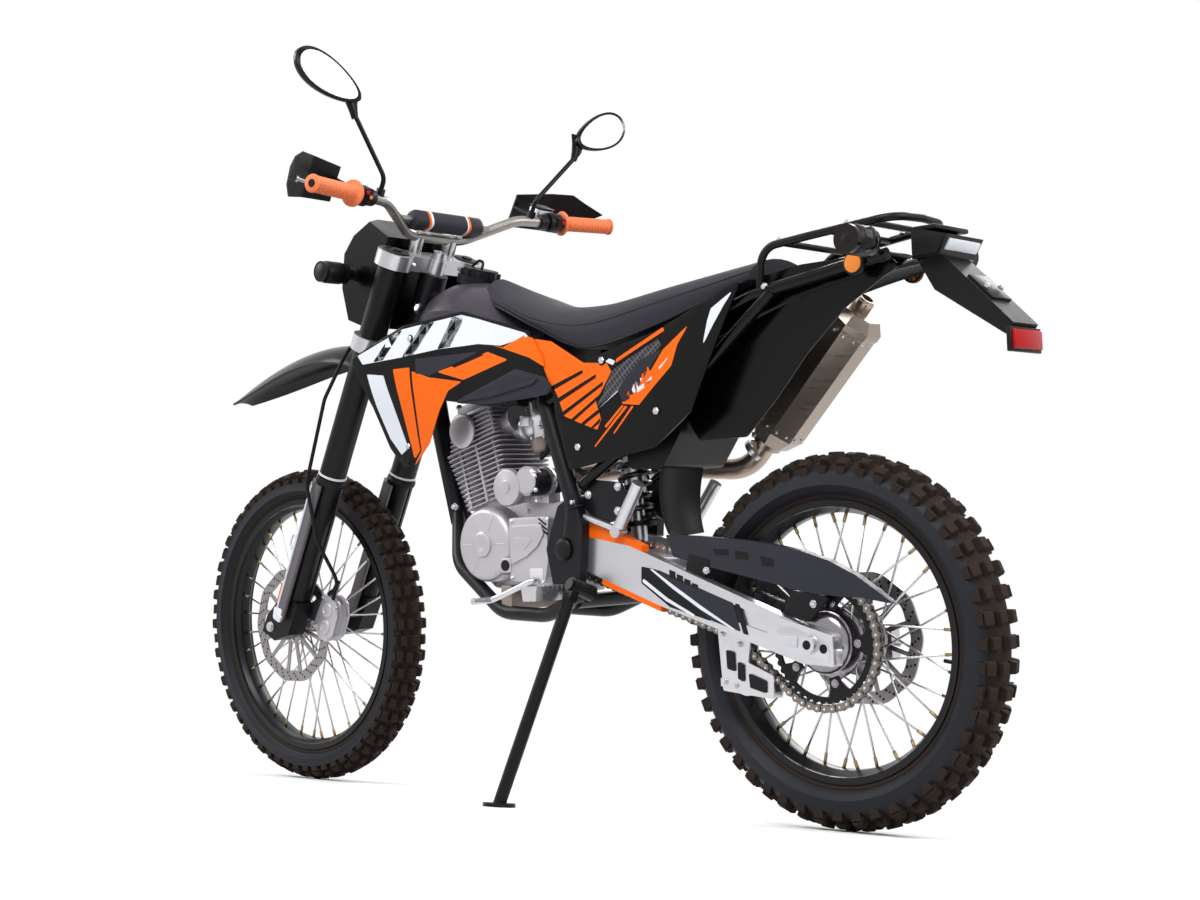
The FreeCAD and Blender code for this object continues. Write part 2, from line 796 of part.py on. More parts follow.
def makeSideStand():
    axis = standAxis()
    foot = standFoot()
    up = Vector(0, -sin(radians(size.leanAngle)), cos(radians(size.leanAngle)))
    down = (foot - standPivot).normalize()
    pad = Part.makeCylinder(size.standFootRadius, size.standFootThickness, foot, up)
    leg = rod(foot + up * size.standFootThickness * 0.5, standPivot + down * size.standBossRadius * 1.5,
              size.standTubeRadius)
    eyeStart = standPivot - axis * size.standEyeThickness / 2
    eye = Part.makeCylinder(size.standBossRadius, size.standEyeThickness, eyeStart, axis)
    across = axis.cross(down).normalize() * size.standTubeRadius
    web = prism([eyeStart + across, eyeStart - across, eyeStart - across + down * size.standBossRadius * 2,
                 eyeStart + across + down * size.standBossRadius * 2], axis * size.standEyeThickness)
    bore = rod(standPivot - axis * size.standBossLength, standPivot + axis * size.standBossLength,
               size.standPinRadius + size.pinClearance)
    return keepShape("side_stand", fused([pad, leg, eye, web]).cut(bore))


# Frame

def headPoint(height, forward=0):
    return fromFork(Vector(-axleOffset + forward, 0, height))


def spineRoute():
    return [headPoint(headTop - size.headTubeRadius * 1.6), at(0.84, 0, 0.935), at(0.64, 0, 0.885)]


def makeMainFrame():
    head = rod(headPoint(headBottom), headPoint(headTop), size.headTubeRadius)
    downTube = tube([headPoint(headBottom + size.headTubeRadius * 2.2), at(1.005, 0, 0.78),
                     at(0.95, 0, 0.56)],
                    size.downTubeRadius, size.frameHalfWidth)
    pieces = [head, tube(spineRoute(), size.downTubeRadius, size.frameHalfWidth), downTube]
    for side in bothSides:
        pieces.append(tube([at(0.95, 0.05 * side, 0.58), at(0.895, 0.62 * side, 0.475),
                            at(0.745, 0.88 * side, 0.378), at(0.62, 0.9 * side, 0.372),
                            at(0.535, 1.02 * side, 0.405)], size.cradleRadius, size.frameHalfWidth))
        pieces.append(tube([at(0.66, 0.1 * side, 0.885), at(0.60, 1.0 * side, 0.79),
                            at(0.522, 1.08 * side, 0.575), at(0.535, 1.08 * side, 0.52)],
                           size.sparRadius, size.frameHalfWidth))
        casting = sideOutline(((0.515, 0.60), (0.558, 0.58), (0.592, 0.50), (0.575, 0.42), (0.545, 0.385),
                               (0.515, 0.40), (0.505, 0.47), (0.497, 0.54)))
        middle = 1.08 * side * size.frameHalfWidth
        pieces.append(sidePlate(casting, middle - size.castingThickness / 2,
                                middle + size.castingThickness / 2,
                                size.cradleRadius))
    pieces.append(rod(at(0.535, -1.0, 0.400), at(0.535, 1.0, 0.400), size.cradleRadius))
    pieces.append(rod(at(0.525, -1.0, 0.585), at(0.525, 1.0, 0.585), size.cradleRadius))
    pieces.append(standPin())
    frame = fused(pieces)
    bore = rod(headPoint(headBottom - size.cutOverrun), headPoint(headTop + size.cutOverrun),
               size.headTubeBore)
    pivotBore = rod(pivot - Vector(0, size.frameHalfWidth * 2, 0),
                    pivot + Vector(0, size.frameHalfWidth * 2, 0),
                    size.pivotBoltRadius)
    return keepShape("main_frame", frame.cut(bore).cut(pivotBore))


def makeRearSubframe():
    rails = []
    for side in bothSides:
        rails.append(tube([at(0.593, 1.0 * side, 0.775), at(0.50, 1.0 * side, 0.82),
                           at(0.40, 0.98 * side, 0.842), at(0.10, 0.86 * side, 0.928),
                           at(-0.17, 0.74 * side, 0.965)], size.railRadius, size.frameHalfWidth))
        rails.append(tube([at(0.505, 1.02 * side, 0.62), at(0.30, 0.96 * side, 0.74),
                           at(0.06, 0.84 * side, 0.93)],
                          size.railRadius, size.frameHalfWidth))
    rails.append(rod(at(0.36, -0.96, 0.852), at(0.36, 0.96, 0.852), size.railRadius))
    rails.append(rod(at(-0.155, -0.72, 0.963), at(-0.155, 0.72, 0.963), size.railRadius))
    return keepShape("rear_subframe", without(fused(rails), "main_frame"))


# Engine

crankCentre = at(0.785, 0, 0.512)
cylinderTilt = 14


def makeCrankcase():
    unit = size.frameHalfWidth
    block = sidePlate(sideOutline(caseShares), -0.75 * unit, 0.52 * unit, size.cradleRadius)
    cover = Part.makeCylinder(0.76 * unit, 0.48 * unit, crankCentre + Vector(0, 0.5 * unit, 0),
                              Vector(0, 1, 0))
    pieces = [block, cover.makeChamfer(0.08 * unit, [cover.Edges[0], cover.Edges[2]])]
    pieces.append(rod(crankCentre + Vector(0, 0.9 * unit, 0), crankCentre + Vector(0, 1.04 * unit, 0),
                      0.24 * unit))
    for index in range(int(size.coverRibs)):
        turn = 2 * pi * index / size.coverRibs
        direction = Vector(cos(turn), 0, sin(turn)) * unit
        foot = crankCentre + Vector(0, 0.96 * unit, 0)
        pieces.append(squareBar(foot + direction * 0.2, foot + direction * 0.66, size.panelThickness * 1.5))
    clutch = Part.makeCylinder(0.72 * unit, 0.42 * unit, at(0.70, -1.14, 0.505), Vector(0, 1, 0))
    pieces.append(clutch.makeChamfer(0.08 * unit, [clutch.Edges[0], clutch.Edges[2]]))
    pieces.append(rod(at(0.765, -1.06, 0.455), at(0.765, -0.7, 0.455), 0.3 * unit))
    pieces.append(sidePlate(sideOutline(sprocketCoverShares), 0.80 * unit, 1.03 * unit, size.panelThickness))
    pieces.append(sidePlate(sideOutline(coverWallShares), 0.45 * unit, 0.9 * unit, size.panelThickness))
    pieces.append(sidePlate(sideOutline(rearCaseShares), 0.30 * unit, 0.54 * unit, size.panelThickness))
    pieces.append(Part.makeBox(0.3 * unit, 1.9 * unit, 0.5 * unit, at(0.715, -0.95, 0.382)))
    return keepShape("engine_crankcase", without(fused(pieces), "main_frame"))


caseShares = ((0.60, 0.585), (0.70, 0.592), (0.865, 0.575), (0.875, 0.52), (0.86, 0.47), (0.80, 0.425),
              (0.62, 0.412),
              (0.60, 0.47))
sprocketCoverShares = ((0.599, 0.562), (0.709, 0.562), (0.710, 0.440), (0.618, 0.428), (0.606, 0.475),
                       (0.606, 0.53))
coverWallShares = ((0.648, 0.555), (0.70, 0.555), (0.70, 0.47), (0.648, 0.462))
rearCaseShares = ((0.68, 0.579), (0.60, 0.592), (0.585, 0.56), (0.60, 0.43), (0.692, 0.43))


# A finned barrel and head on the crank centre, leaning forward
def makeCylinder():
    unit = size.frameHalfWidth
    pieces = [Part.makeCylinder(0.52 * unit, 1.95 * unit, Vector(0, 0, 0.35 * unit), Vector(0, 0, 1))]
    for index in range(int(size.barrelFins)):
        share = index / (size.barrelFins - 1)
        pieces.append(finPlate((0.64 + 0.18 * share) * unit, (0.66 + 0.08 * share) * unit,
                               (0.86 + 1.16 * share) * unit))
    for index in range(int(size.headFins)):
        share = index / (size.headFins - 1)
        pieces.append(finPlate((0.74 - 0.12 * share) * unit, (0.70 - 0.04 * share) * unit,
                               (2.12 + 0.56 * share) * unit))
    pieces.append(Part.makeBox(1.05 * unit, 1.1 * unit, 0.75 * unit, Vector(-0.5, -0.55, 2.06) * unit))
    cover = Part.makeBox(0.92 * unit, 0.92 * unit, 0.36 * unit, Vector(-0.42, -0.46, 2.66) * unit)
    pieces.append(cover.makeFillet(0.08 * unit, cover.Edges))
    pieces.append(rod(Vector(0.18, 0, 2.42) * unit, Vector(0.18, 0.78, 2.42) * unit, 0.27 * unit))
    pieces.append(rod(Vector(0.18, 0.66, 2.42) * unit, Vector(0.18, 0.74, 2.42) * unit, 0.34 * unit))
    pieces.append(rod(Vector(0.2, -0.3, 2.10) * unit, Vector(0.92, -0.3, 2.14) * unit, 0.26 * unit))
    pieces.append(rod(Vector(-0.2, 0.15, 2.24) * unit, Vector(-0.95, 0.2, 2.30) * unit, 0.28 * unit))
    shape = fused(pieces)
    shape.Placement = Placement(crankCentre, Rotation(Vector(0, 1, 0), cylinderTilt))
    return keepShape("engine_cylinder", without(shape, "engine_crankcase", "main_frame"))


# One cooling fin square to the cylinder's axis
def finPlate(halfLength, halfWidth, height):
    corners = [Vector(x * halfLength, y * halfWidth, height) for x, y in ((1, 1), (-1, 1), (-1, -1), (1, -1))]
    return prism(corners, Vector(0, 0, size.finThickness), size.finThickness * 4)


# The starter's gear cap and the motor behind it
def makeStarter():
    unit = size.frameHalfWidth
    cap = Part.makeCylinder(0.37 * unit, 0.12 * unit, at(0.714, 0.88, 0.622), Vector(0, 1, 0))
    pieces = [cap.makeChamfer(0.04 * unit, [cap.Edges[0]])]
    pieces.append(rod(at(0.714, 0.96, 0.622), at(0.714, 1.03, 0.622), 0.12 * unit))
    pieces.append(rod(at(0.66, 0.12, 0.63), at(0.66, 0.94, 0.63), 0.27 * unit))
    pieces.append(rod(at(0.66, 0.42, 0.63), at(0.66, 0.52, 0.63), 0.30 * unit))
    pieces.append(Part.makeBox(0.36 * unit, 0.30 * unit, 0.45 * unit, at(0.645, 0.15, 0.58)))
    return keepShape("starter_motor", without(fused(pieces), "engine_crankcase", "engine_cylinder"))


def makeCarburettor():
    unit = size.frameHalfWidth
    pieces = [rod(at(0.745, 0.16, 0.735), at(0.60, 0.35, 0.75), 0.23 * unit),
              rod(at(0.716, 0.20, 0.738), at(0.706, 0.22, 0.739), 0.31 * unit),
              rod(at(0.685, 0.25, 0.79), at(0.668, 0.3, 0.69), 0.22 * unit),
              rod(at(0.673, 0.29, 0.715), at(0.664, 0.3, 0.68), 0.27 * unit),
              tube([at(0.61, 0.34, 0.748), at(0.54, 0.52, 0.755), at(0.425, 0.62, 0.755)], 0.26 * unit, unit)]
    return keepShape("carburettor", without(fused(pieces), "engine_cylinder", "main_frame"))


silencerFront = at(0.262, -1.62, 0.692)
silencerRear = at(0.040, -1.52, 0.912)


def exhaustRoute():
    along = (silencerRear - silencerFront).normalize()
    return [at(0.90, -0.30, 0.70), at(0.985, -0.60, 0.69), at(0.965, -1.15, 0.63), at(0.80, -1.42, 0.64),
            at(0.60, -1.46, 0.655), at(0.44, -1.46, 0.645), silencerFront - along * 0.8 * size.frameHalfWidth,
            silencerFront - along * size.runningGap]


def makeExhaust():
    header = tube(exhaustRoute(), 0.20 * size.frameHalfWidth, 0.9 * size.frameHalfWidth)
    return keepShape("exhaust_pipe", without(header, "engine_cylinder", "main_frame", "rear_subframe",
                                            "silencer"))


# A faceted can with a tapered front, an end cap and a short outlet
def makeSilencer():
    unit = size.frameHalfWidth
    length = (silencerRear - silencerFront).Length
    wires = []
    for share, radius in canShares:
        corners = []
        for index in range(int(size.canSides)):
            turn = 2 * pi * (index + 0.5) / size.canSides
            corners.append(Vector(radius * unit * cos(turn), radius * unit * sin(turn) * canDepthShare,
                                  length * share))
        wires.append(Part.makePolygon(corners + corners[:1]))
    pieces = [loft(wires, ruled=True)]
    pieces.append(Part.makeCylinder(0.30 * unit, 0.08 * length, Vector(0, 0, -0.04 * length),
                                    Vector(0, 0, 1)))
    pieces.append(Part.makeCylinder(0.16 * unit, 0.10 * length, Vector(0, 0, 0.98 * length), Vector(0, 0, 1)))
    can = fused(pieces).cut(Part.makeCylinder(0.12 * unit, length, Vector(0, 0, 0.9 * length),
                                              Vector(0, 0, 1)))
    return keepShape("silencer", stoodAlong(can, silencerFront, silencerRear))


# Body

def makeFuelTank():
    tankShares = ((0.985, 0.42, 0.90, 0.97, 1.005), (0.93, 1.10, 0.87, 0.98, 1.045),
                  (0.83, 1.22, 0.86, 0.98, 1.045),
                (0.72, 1.15, 0.86, 0.93, 0.985), (0.62, 0.90, 0.87, 0.90, 0.935))
    wires = [crownedSection(x * size.headReach, half * size.frameHalfWidth, low * size.bodyHeight,
                            shoulder * size.bodyHeight, top * size.bodyHeight)
             for x, half, low, shoulder, top in tankShares]
    tunnel = tube(spineRoute(), size.downTubeRadius + size.runningGap, size.frameHalfWidth)
    return keepShape("fuel_tank", without(loft(wires).cut(tunnel), "main_frame", "engine_cylinder"))


canShares = ((0, 0.40), (0.10, 0.56), (0.88, 0.58), (0.90, 0.61), (0.94, 0.61), (1.0, 0.46))
canDepthShare = 0.92


def makeFuelCap():
    unit = size.frameHalfWidth
    foot, top = at(0.872, 0, 1.046), at(0.862, 0, 1.078)
    up = (top - foot).normalize()
    pieces = [rod(foot, foot + up * 0.18 * unit, 0.46 * unit), rod(foot, top, 0.36 * unit)]
    for index in range(int(size.capLobes)):
        turn = Rotation(up, 360 * index / size.capLobes)
        out = turn.multVec(Vector(0, 0.35 * unit, 0))
        pieces.append(rod(foot + out, foot + out + up * 0.30 * unit, 0.07 * unit))
    return keepShape("fuel_cap", without(fused(pieces), "fuel_tank"))


def makeSeat():
    seatShares = ((0.80, 0.55, 1.0, 1.02, 1.05), (0.70, 0.95, 0.965, 0.985, 1.005),
                  (0.60, 1.12, 0.92, 0.945, 0.97),
                (0.47, 1.18, 0.87, 0.93, 0.962), (0.30, 1.12, 0.895, 0.95, 0.978), (0.10, 0.92, 0.955, 0.975,
                                                                                    0.998))
    wires = [crownedSection(x * size.headReach, half * size.frameHalfWidth, low * size.bodyHeight,
                            shoulder * size.bodyHeight, top * size.bodyHeight)
             for x, half, low, shoulder, top in seatShares]
    return keepShape("seat", without(loft(wires), "fuel_tank", "main_frame", "rear_subframe"))


# A skin of even thickness whose half width follows stationShares along X, leaning in towards its foot
def sideSkin(stationShares, thickness):
    wires = []
    for x, topHalf, middleHalf, footHalf in stationShares:
        outer = [at(x, footHalf, 0.60), at(x, middleHalf, 0.86), at(x, topHalf, 1.0)]
        inner = [point - Vector(0, thickness, 0) for point in outer]
        wires.append(Part.makePolygon(outer + inner[::-1] + outer[:1]))
    return loft(wires, ruled=True)


def panelFrom(outline, stationShares):
    cutter = sidePlate(outline, 0, size.frameHalfWidth * 3, size.cradleRadius)
    return sideSkin(stationShares, size.panelThickness).common(cutter)


def makeShrouds():
    outlineShares = ((1.07, 0.905), (0.925, 0.958), (0.775, 0.972), (0.60, 0.915), (0.55, 0.80),
                     (0.70, 0.778), (0.83, 0.80), (0.885, 0.76), (0.955, 0.668), (0.99, 0.715), (1.02, 0.80))
    outline = sideOutline(outlineShares)
    stationShares = ((1.10, 1.80, 1.86, 1.35), (0.92, 1.60, 1.72, 1.30), (0.76, 1.36, 1.48, 1.28),
                     (0.52, 1.22, 1.32, 1.26))
    panel = panelFrom(outline, stationShares)
    bosses = [rod(at(x, 0.9, z), at(x, half, z), 0.08 * size.frameHalfWidth)
              for x, half, z in ((0.90, 1.62, 0.93), (0.70, 1.36, 0.90))]
    return keepShape("tank_shrouds", withMirror(without(fused([panel] + bosses), "fuel_tank")))


# Skins over the rear part of the seat, each with slanted vent slots
def makeSidePanels():
    unit = size.frameHalfWidth
    panel = panelFrom(sideOutline(sidePanelShares), sidePanelStationShares)
    bosses = [rod(at(x, 1.0, z), at(x, half, z), 0.08 * unit) for x, half, z in ((0.42, 1.27, 0.842),
                                                                              (0.30, 1.23, 0.74))]
    slots = [sidePlate([at(x + 0.004, 0, 0.80), at(x + 0.020, 0, 0.862), at(x + 0.011, 0, 0.866),
                        at(x - 0.005, 0, 0.804)],
                       0, 2 * unit) for x in ventShares]
    skin = fused([panel] + bosses).cut(Part.makeCompound(slots))
    left = without(skin, "rear_subframe", "seat", "main_frame")
    heatCut = rod(silencerFront - (silencerRear - silencerFront), silencerRear, 0.70 * unit)
    right = without(mirrored(skin), "rear_subframe", "seat", "main_frame").cut(heatCut)
    return keepShape("side_panels", Part.makeCompound([left, right]))


sidePanelShares = ((0.55, 0.90), (0.545, 0.745), (0.518, 0.645), (0.31, 0.675), (0.222, 0.735),
                   (0.105, 0.952),
                   (0.135, 0.944), (0.29, 0.884), (0.465, 0.845))
sidePanelStationShares = ((0.60, 1.24, 1.32, 1.24), (0.40, 1.22, 1.30, 1.20), (0.05, 1.08, 1.16, 1.10))
ventShares = (0.335, 0.315, 0.27, 0.25)


# The air box with the inner mudguard that hangs between it and the wheel
def makeAirBox():
    unit = size.frameHalfWidth
    box = sidePlate(sideOutline(airBoxShares), -0.88 * unit, 0.88 * unit, size.cradleRadius)
    wires = [archSection(at(x, 0, z), Vector(-upX, 0, upZ).normalize(), half * unit, drop * unit,
                         size.fenderThickness)
             for x, z, half, drop, upX, upZ in mudguardShares]
    guard = loft(wires)
    return keepShape("air_box", without(fused([box, guard]), "rear_subframe", "carburettor"))


def makeRearFender():
    up = Vector(0.25, 0, 1).normalize()
    archShares = ((0.26, 0.865, 0.62), (0.12, 0.915, 0.66), (-0.05, 0.95, 0.56), (-0.215, 0.965, 0.42))
    wires = [archSection(at(x, 0, z), up, half * size.frameHalfWidth, 0.35 * size.frameHalfWidth * half,
                         size.fenderThickness) for x, z, half in archShares]
    return keepShape("rear_fender", without(loft(wires), "rear_subframe", "air_box"))


def makeRack():
    rails = []
    for side in bothSides:
        rails.append(tube([at(0.085, 0.86 * side, 0.935), at(0.07, 0.95 * side, 1.005),
                           at(-0.03, 0.95 * side, 1.012),
                           at(-0.19, 0.80 * side, 1.025), at(-0.195, 0, 1.027)],
                          0.07 * size.frameHalfWidth, 0.4 * size.frameHalfWidth))
    for x, half, z in ((0.03, 0.95, 1.009), (-0.07, 0.92, 1.015), (-0.14, 0.84, 1.021)):
        rails.append(rod(at(x, -half, z), at(x, half, z), 0.06 * size.frameHalfWidth))
    return keepShape("luggage_rack", without(fused(rails), "rear_subframe", "seat"))


def makeTailLamp():
    outlineShares = ((-0.205, 1.005), (-0.275, 0.985), (-0.255, 0.953), (-0.205, 0.953))
    outline = sideOutline(outlineShares)
    lamp = sidePlate(outline, -0.55 * size.frameHalfWidth, 0.55 * size.frameHalfWidth)
    return keepShape("tail_lamp", without(lamp, "rear_fender", "luggage_rack"))


plateOutline = sideOutline(((-0.205, 0.953), (-0.255, 0.953), (-0.375, 0.832), (-0.360, 0.815),
                            (-0.235, 0.90)))


# The middle and the outward normal of the flat face that carries a plate
def plateFace():
    upper, lower = plateOutline[1], plateOutline[2]
    along = (lower - upper).normalize()
    return (upper + lower) * 0.5, Vector(along.z, 0, -along.x)


def makePlateBracket():
    outline = plateOutline
    bracket = sidePlate(outline, -0.4 * size.frameHalfWidth, 0.4 * size.frameHalfWidth)
    return keepShape("plate_bracket", without(bracket, "rear_fender", "tail_lamp"))


def makeReflectors():
    tail = Part.makeBox(0.14 * size.frameHalfWidth, 0.9 * size.frameHalfWidth, 0.32 * size.frameHalfWidth,
                        at(-0.380, -0.45, 0.790))
    sides = [rod(at(-0.115, 0.78 * side, 0.955), at(-0.115, 0.96 * side, 0.955), 0.16 * size.frameHalfWidth)
             for side in bothSides]
    solids = [without(solid, "plate_bracket", "rear_subframe") for solid in [tail] + sides]
    return keepShape("reflectors", Part.makeCompound(solids))


def makeRearSignals():
    signals = []
    for side in bothSides:
        stalk = rod(at(-0.155, 0.7 * side, 0.965), at(-0.165, 1.25 * side, 0.98), 0.08 * size.frameHalfWidth)
        lamp = rod(at(-0.165, 1.2 * side, 0.98), at(-0.165, 1.85 * side, 0.98), 0.24 * size.frameHalfWidth)
        signals.append(without(stalk.fuse(lamp), "rear_subframe", "reflectors", "rear_fender",
                               "luggage_rack"))
    return keepShape("rear_signals", Part.makeCompound(signals))


airBoxShares = ((0.425, 0.83), (0.28, 0.84), (0.275, 0.70), (0.32, 0.64), (0.40, 0.64))
mudguardShares = ((0.285, 0.80, 0.60, 0.10, -1.0, 0.30), (0.345, 0.69, 0.62, 0.16, -1.0, 0.10),
                  (0.37, 0.60, 0.60, 0.16, -1.0, -0.15), (0.355, 0.515, 0.52, 0.12, -1.0, -0.35))


# Side plates with a stepped end block, a bridge, and a sleeve round the pivot
def makeSwingarm():
    outer = size.swingarmWidth / 2
    inner = outer - size.swingarmWall
    across = Vector(0, 1, 0)
    pieces = []
    for side in bothSides:
        pieces.append(sidePlate(sideOutline(armOutlineShares), min(side * outer, side * inner),
                                max(side * outer, side * inner), size.cradleRadius))
        block = outer + size.panelThickness
        pieces.append(sidePlate(sideOutline(endBlockShares), min(side * block, side * inner),
                                max(side * block, side * inner), size.panelThickness))
    pieces.append(sidePlate(sideOutline(bridgeShares), -outer + size.swingarmWall / 2,
                            outer - size.swingarmWall / 2,
                            size.panelThickness))
    pieces.append(rod(pivot - across * (outer - size.swingarmWall / 2),
                      pivot + across * (outer - size.swingarmWall / 2),
                      size.pivotBoltRadius + size.panelThickness))
    arm = fused(pieces)
    recess = sidePlate(sideOutline(armRecessShares), outer - size.panelThickness, outer, size.panelThickness)
    arm = arm.cut(recess).cut(mirrored(recess))
    arm = arm.cut(rod(rearAxle - across * outer * 2, rearAxle + across * outer * 2, size.rearAxleRadius))
    arm = arm.cut(rod(pivot - across * outer * 2, pivot + across * outer * 2, size.pivotBoltRadius))
    return keepShape("swingarm", without(arm, "engine_crankcase", "main_frame"))


def makeChainSlider():
    outer = size.swingarmWidth / 2
    top = sidePlate(sideOutline(((0.53, 0.56), (0.49, 0.55), (0.37, 0.50), (0.37, 0.48), (0.50, 0.51))),
                    outer - size.swingarmWall * 0.9, outer)
    low = sidePlate(sideOutline(((0.47, 0.46), (0.33, 0.41), (0.33, 0.38), (0.47, 0.43))),
                    outer - size.swingarmWall * 0.9, outer)
    solids = [without(solid, "swingarm", "main_frame", "rear_shock") for solid in (top, low)]
    return keepShape("chain_slider", Part.makeCompound(solids))


armOutlineShares = ((0.575, 0.512), (0.545, 0.528), (0.40, 0.500), (0.02, 0.358), (-0.045, 0.340),
                    (-0.045, 0.288),
                    (0.02, 0.292), (0.33, 0.390), (0.53, 0.463), (0.57, 0.48))
endBlockShares = ((0.068, 0.372), (-0.045, 0.340), (-0.045, 0.287), (0.068, 0.312))
bridgeShares = ((0.49, 0.49), (0.39, 0.475), (0.39, 0.43), (0.49, 0.455))
armRecessShares = ((0.33, 0.452), (0.09, 0.366), (0.09, 0.342), (0.33, 0.412))


def makeRearAxle():
    across = Vector(0, 1, 0)
    shaft = boundRod("rear_axle_shaft", "rearAxleRadius - runningGap", "swingarmWidth + axleOverhang*2",
                     rearAxle - across * (size.swingarmWidth / 2 + size.axleOverhang), across)
    block = size.swingarmWidth / 2 + size.panelThickness + size.runningGap
    nut = boundRod("rear_axle_nut", "rearAxleRadius*1.5", "axleOverhang - panelThickness - runningGap",
                   rearAxle + across * block, across)
    return keepTogether("rear_axle", [shaft, nut], kind="Part::MultiFuse")


def makePivotBolt():
    across = Vector(0, 1, 0)
    half = 1.08 * size.frameHalfWidth + size.castingThickness / 2 + size.panelThickness
    shaft = boundRod("pivot_shaft", "pivotBoltRadius - runningGap",
                     "2.16*frameHalfWidth + castingThickness + panelThickness*2", pivot - across * half, across)
    cap = boundRod("pivot_cap", "pivotBoltRadius*1.25", "panelThickness",
                   pivot + across * (half - size.panelThickness),
                   across)
    return keepTogether("pivot_bolt", [shaft, cap], kind="Part::MultiFuse")


# Two plates with windows on either side of the chain, and the shoe that it runs over
def makeChainGuide():
    half = size.chainWidth / 2 + size.runningGap * 2
    inner = size.chainOffset - half - size.panelThickness
    outer = size.chainOffset + half + size.panelThickness
    outline = sideOutline(guideShares)
    pieces = [sidePlate(outline, outer - size.panelThickness, outer, size.panelThickness),
              sidePlate(outline, inner, inner + size.panelThickness, size.panelThickness),
              sidePlate(sideOutline(shoeShares), inner, outer)]
    windows = [sidePlate(sideOutline(window), inner - size.cutOverrun, outer + size.cutOverrun,
                         size.panelThickness / 2)
               for window in guideWindowShares]
    guide = fused(pieces).cut(Part.makeCompound(windows))
    return keepShape("chain_guide", without(guide, "swingarm", "drive_chain"))


guideShares = ((0.218, 0.36), (0.145, 0.335), (0.152, 0.29), (0.098, 0.268), (0.10, 0.228), (0.21, 0.24))
shoeShares = ((0.215, 0.262), (0.12, 0.250), (0.11, 0.237), (0.16, 0.232), (0.215, 0.248))
guideWindowShares = (((0.197, 0.306), (0.183, 0.303), (0.183, 0.278), (0.197, 0.281)),
                     ((0.173, 0.290), (0.161, 0.286), (0.161, 0.264), (0.173, 0.267)))


# A blade over the chain's upper run with three windows, standing on two feet
def makeChainGuard():
    low = size.chainOffset + size.chainWidth / 2 + size.runningGap * 6
    guard = sidePlate(sideOutline(guardShares), low, low + size.panelThickness)
    windows = [sidePlate(sideOutline(window), low, low + size.panelThickness, size.panelThickness / 2)
               for window in guardWindowShares]
    guard = guard.cut(Part.makeCompound(windows))
    feet = [sidePlate([at(x, 0, 0.48), at(x - 0.05, 0, 0.47), at(x - 0.03, 0, 0.38), at(x + 0.01, 0, 0.40)],
                      low, low + size.panelThickness * 1.5) for x in (0.27, 0.06)]
    return keepShape("chain_guard", without(fused([guard] + feet), "swingarm"))


def makeRearShock():
    top = at(0.475, 0, 0.80)
    bottom = at(0.455, 0, 0.46)
    body = rod(bottom, top, 0.22 * size.frameHalfWidth)
    spring = rod(bottom + (top - bottom) * 0.25, bottom + (top - bottom) * 0.8, 0.34 * size.frameHalfWidth)
    return keepShape("rear_shock", without(fused([body, spring]), "main_frame", "swingarm", "carburettor"))


def makeRearCaliper():
    outline = [Vector(0.45 * size.rearDiscRadius, 0, size.rearTyreRadius + 0.72 * size.rearDiscRadius),
               Vector(1.0 * size.rearDiscRadius, 0, size.rearTyreRadius + 0.45 * size.rearDiscRadius),
               Vector(1.2 * size.rearDiscRadius, 0, size.rearTyreRadius + 0.8 * size.rearDiscRadius),
               Vector(0.65 * size.rearDiscRadius, 0, size.rearTyreRadius + 1.15 * size.rearDiscRadius)]
    low = -size.swingarmWidth / 2 + size.swingarmWall + size.runningGap
    caliper = sidePlate(outline, low, low + 0.32 * size.frameHalfWidth, size.panelThickness)
    slot = Part.makeCylinder(size.rearDiscRadius + size.cutOverrun, size.discThickness + size.cutOverrun * 2,
                             rearAxle + Vector(0,
                                               -size.rearDiscOffset - size.discThickness / 2 - size.cutOverrun, 0),
                             Vector(0, 1, 0))
    return keepShape("rear_caliper", caliper.cut(slot))


guardShares = ((0.352, 0.524), (0.254, 0.516), (0.143, 0.507), (0.026, 0.486), (-0.083, 0.449),
               (-0.145, 0.397),
               (-0.139, 0.389), (-0.051, 0.402), (0.0, 0.408), (0.103, 0.431), (0.195, 0.451), (0.268, 0.468),
               (0.352, 0.486))
guardWindowShares = (((0.214, 0.491), (0.184, 0.487), (0.186, 0.476), (0.211, 0.479)),
                     ((0.166, 0.486), (0.138, 0.481), (0.140, 0.470), (0.163, 0.473)),
                     ((0.112, 0.477), (0.084, 0.469), (0.086, 0.456), (0.108, 0.461)))


# Toothed rider's pegs and, folded up behind them, the passenger's
def makeFootPegs():
    unit = size.frameHalfWidth
    pegs = []
    for side in bothSides:
        peg = sidePlate(sideOutline(pegShares), min(1.1 * side, 2.1 * side) * unit,
                        max(1.1 * side, 2.1 * side) * unit)
        for index in range(int(size.pegTeeth)):
            y = (1.3 + 0.75 * index / size.pegTeeth) * side
            notch = Part.makeBox(0.6 * unit, 0.05 * unit, 0.12 * unit, at(0.52, y - 0.025, 0.424))
            peg = peg.cut(notch)
        pegs.append(without(peg, "main_frame"))
        foot, tip = at(0.414, 1.06 * side, 0.537), at(0.358, 1.12 * side, 0.613)
        hinge = rod(at(0.42, 0.92 * side, 0.528), at(0.42, 1.14 * side, 0.528), 0.12 * unit)
        stay = rod(at(0.42, 0.97 * side, 0.528), at(0.515, 1.02 * side, 0.56), 0.07 * unit)
        pegs.append(without(fused([rod(foot, tip, 0.12 * unit), hinge, stay]), "main_frame", "swingarm",
                            "rear_subframe", "chain_slider"))
    return keepShape("foot_pegs", Part.makeCompound(pegs))


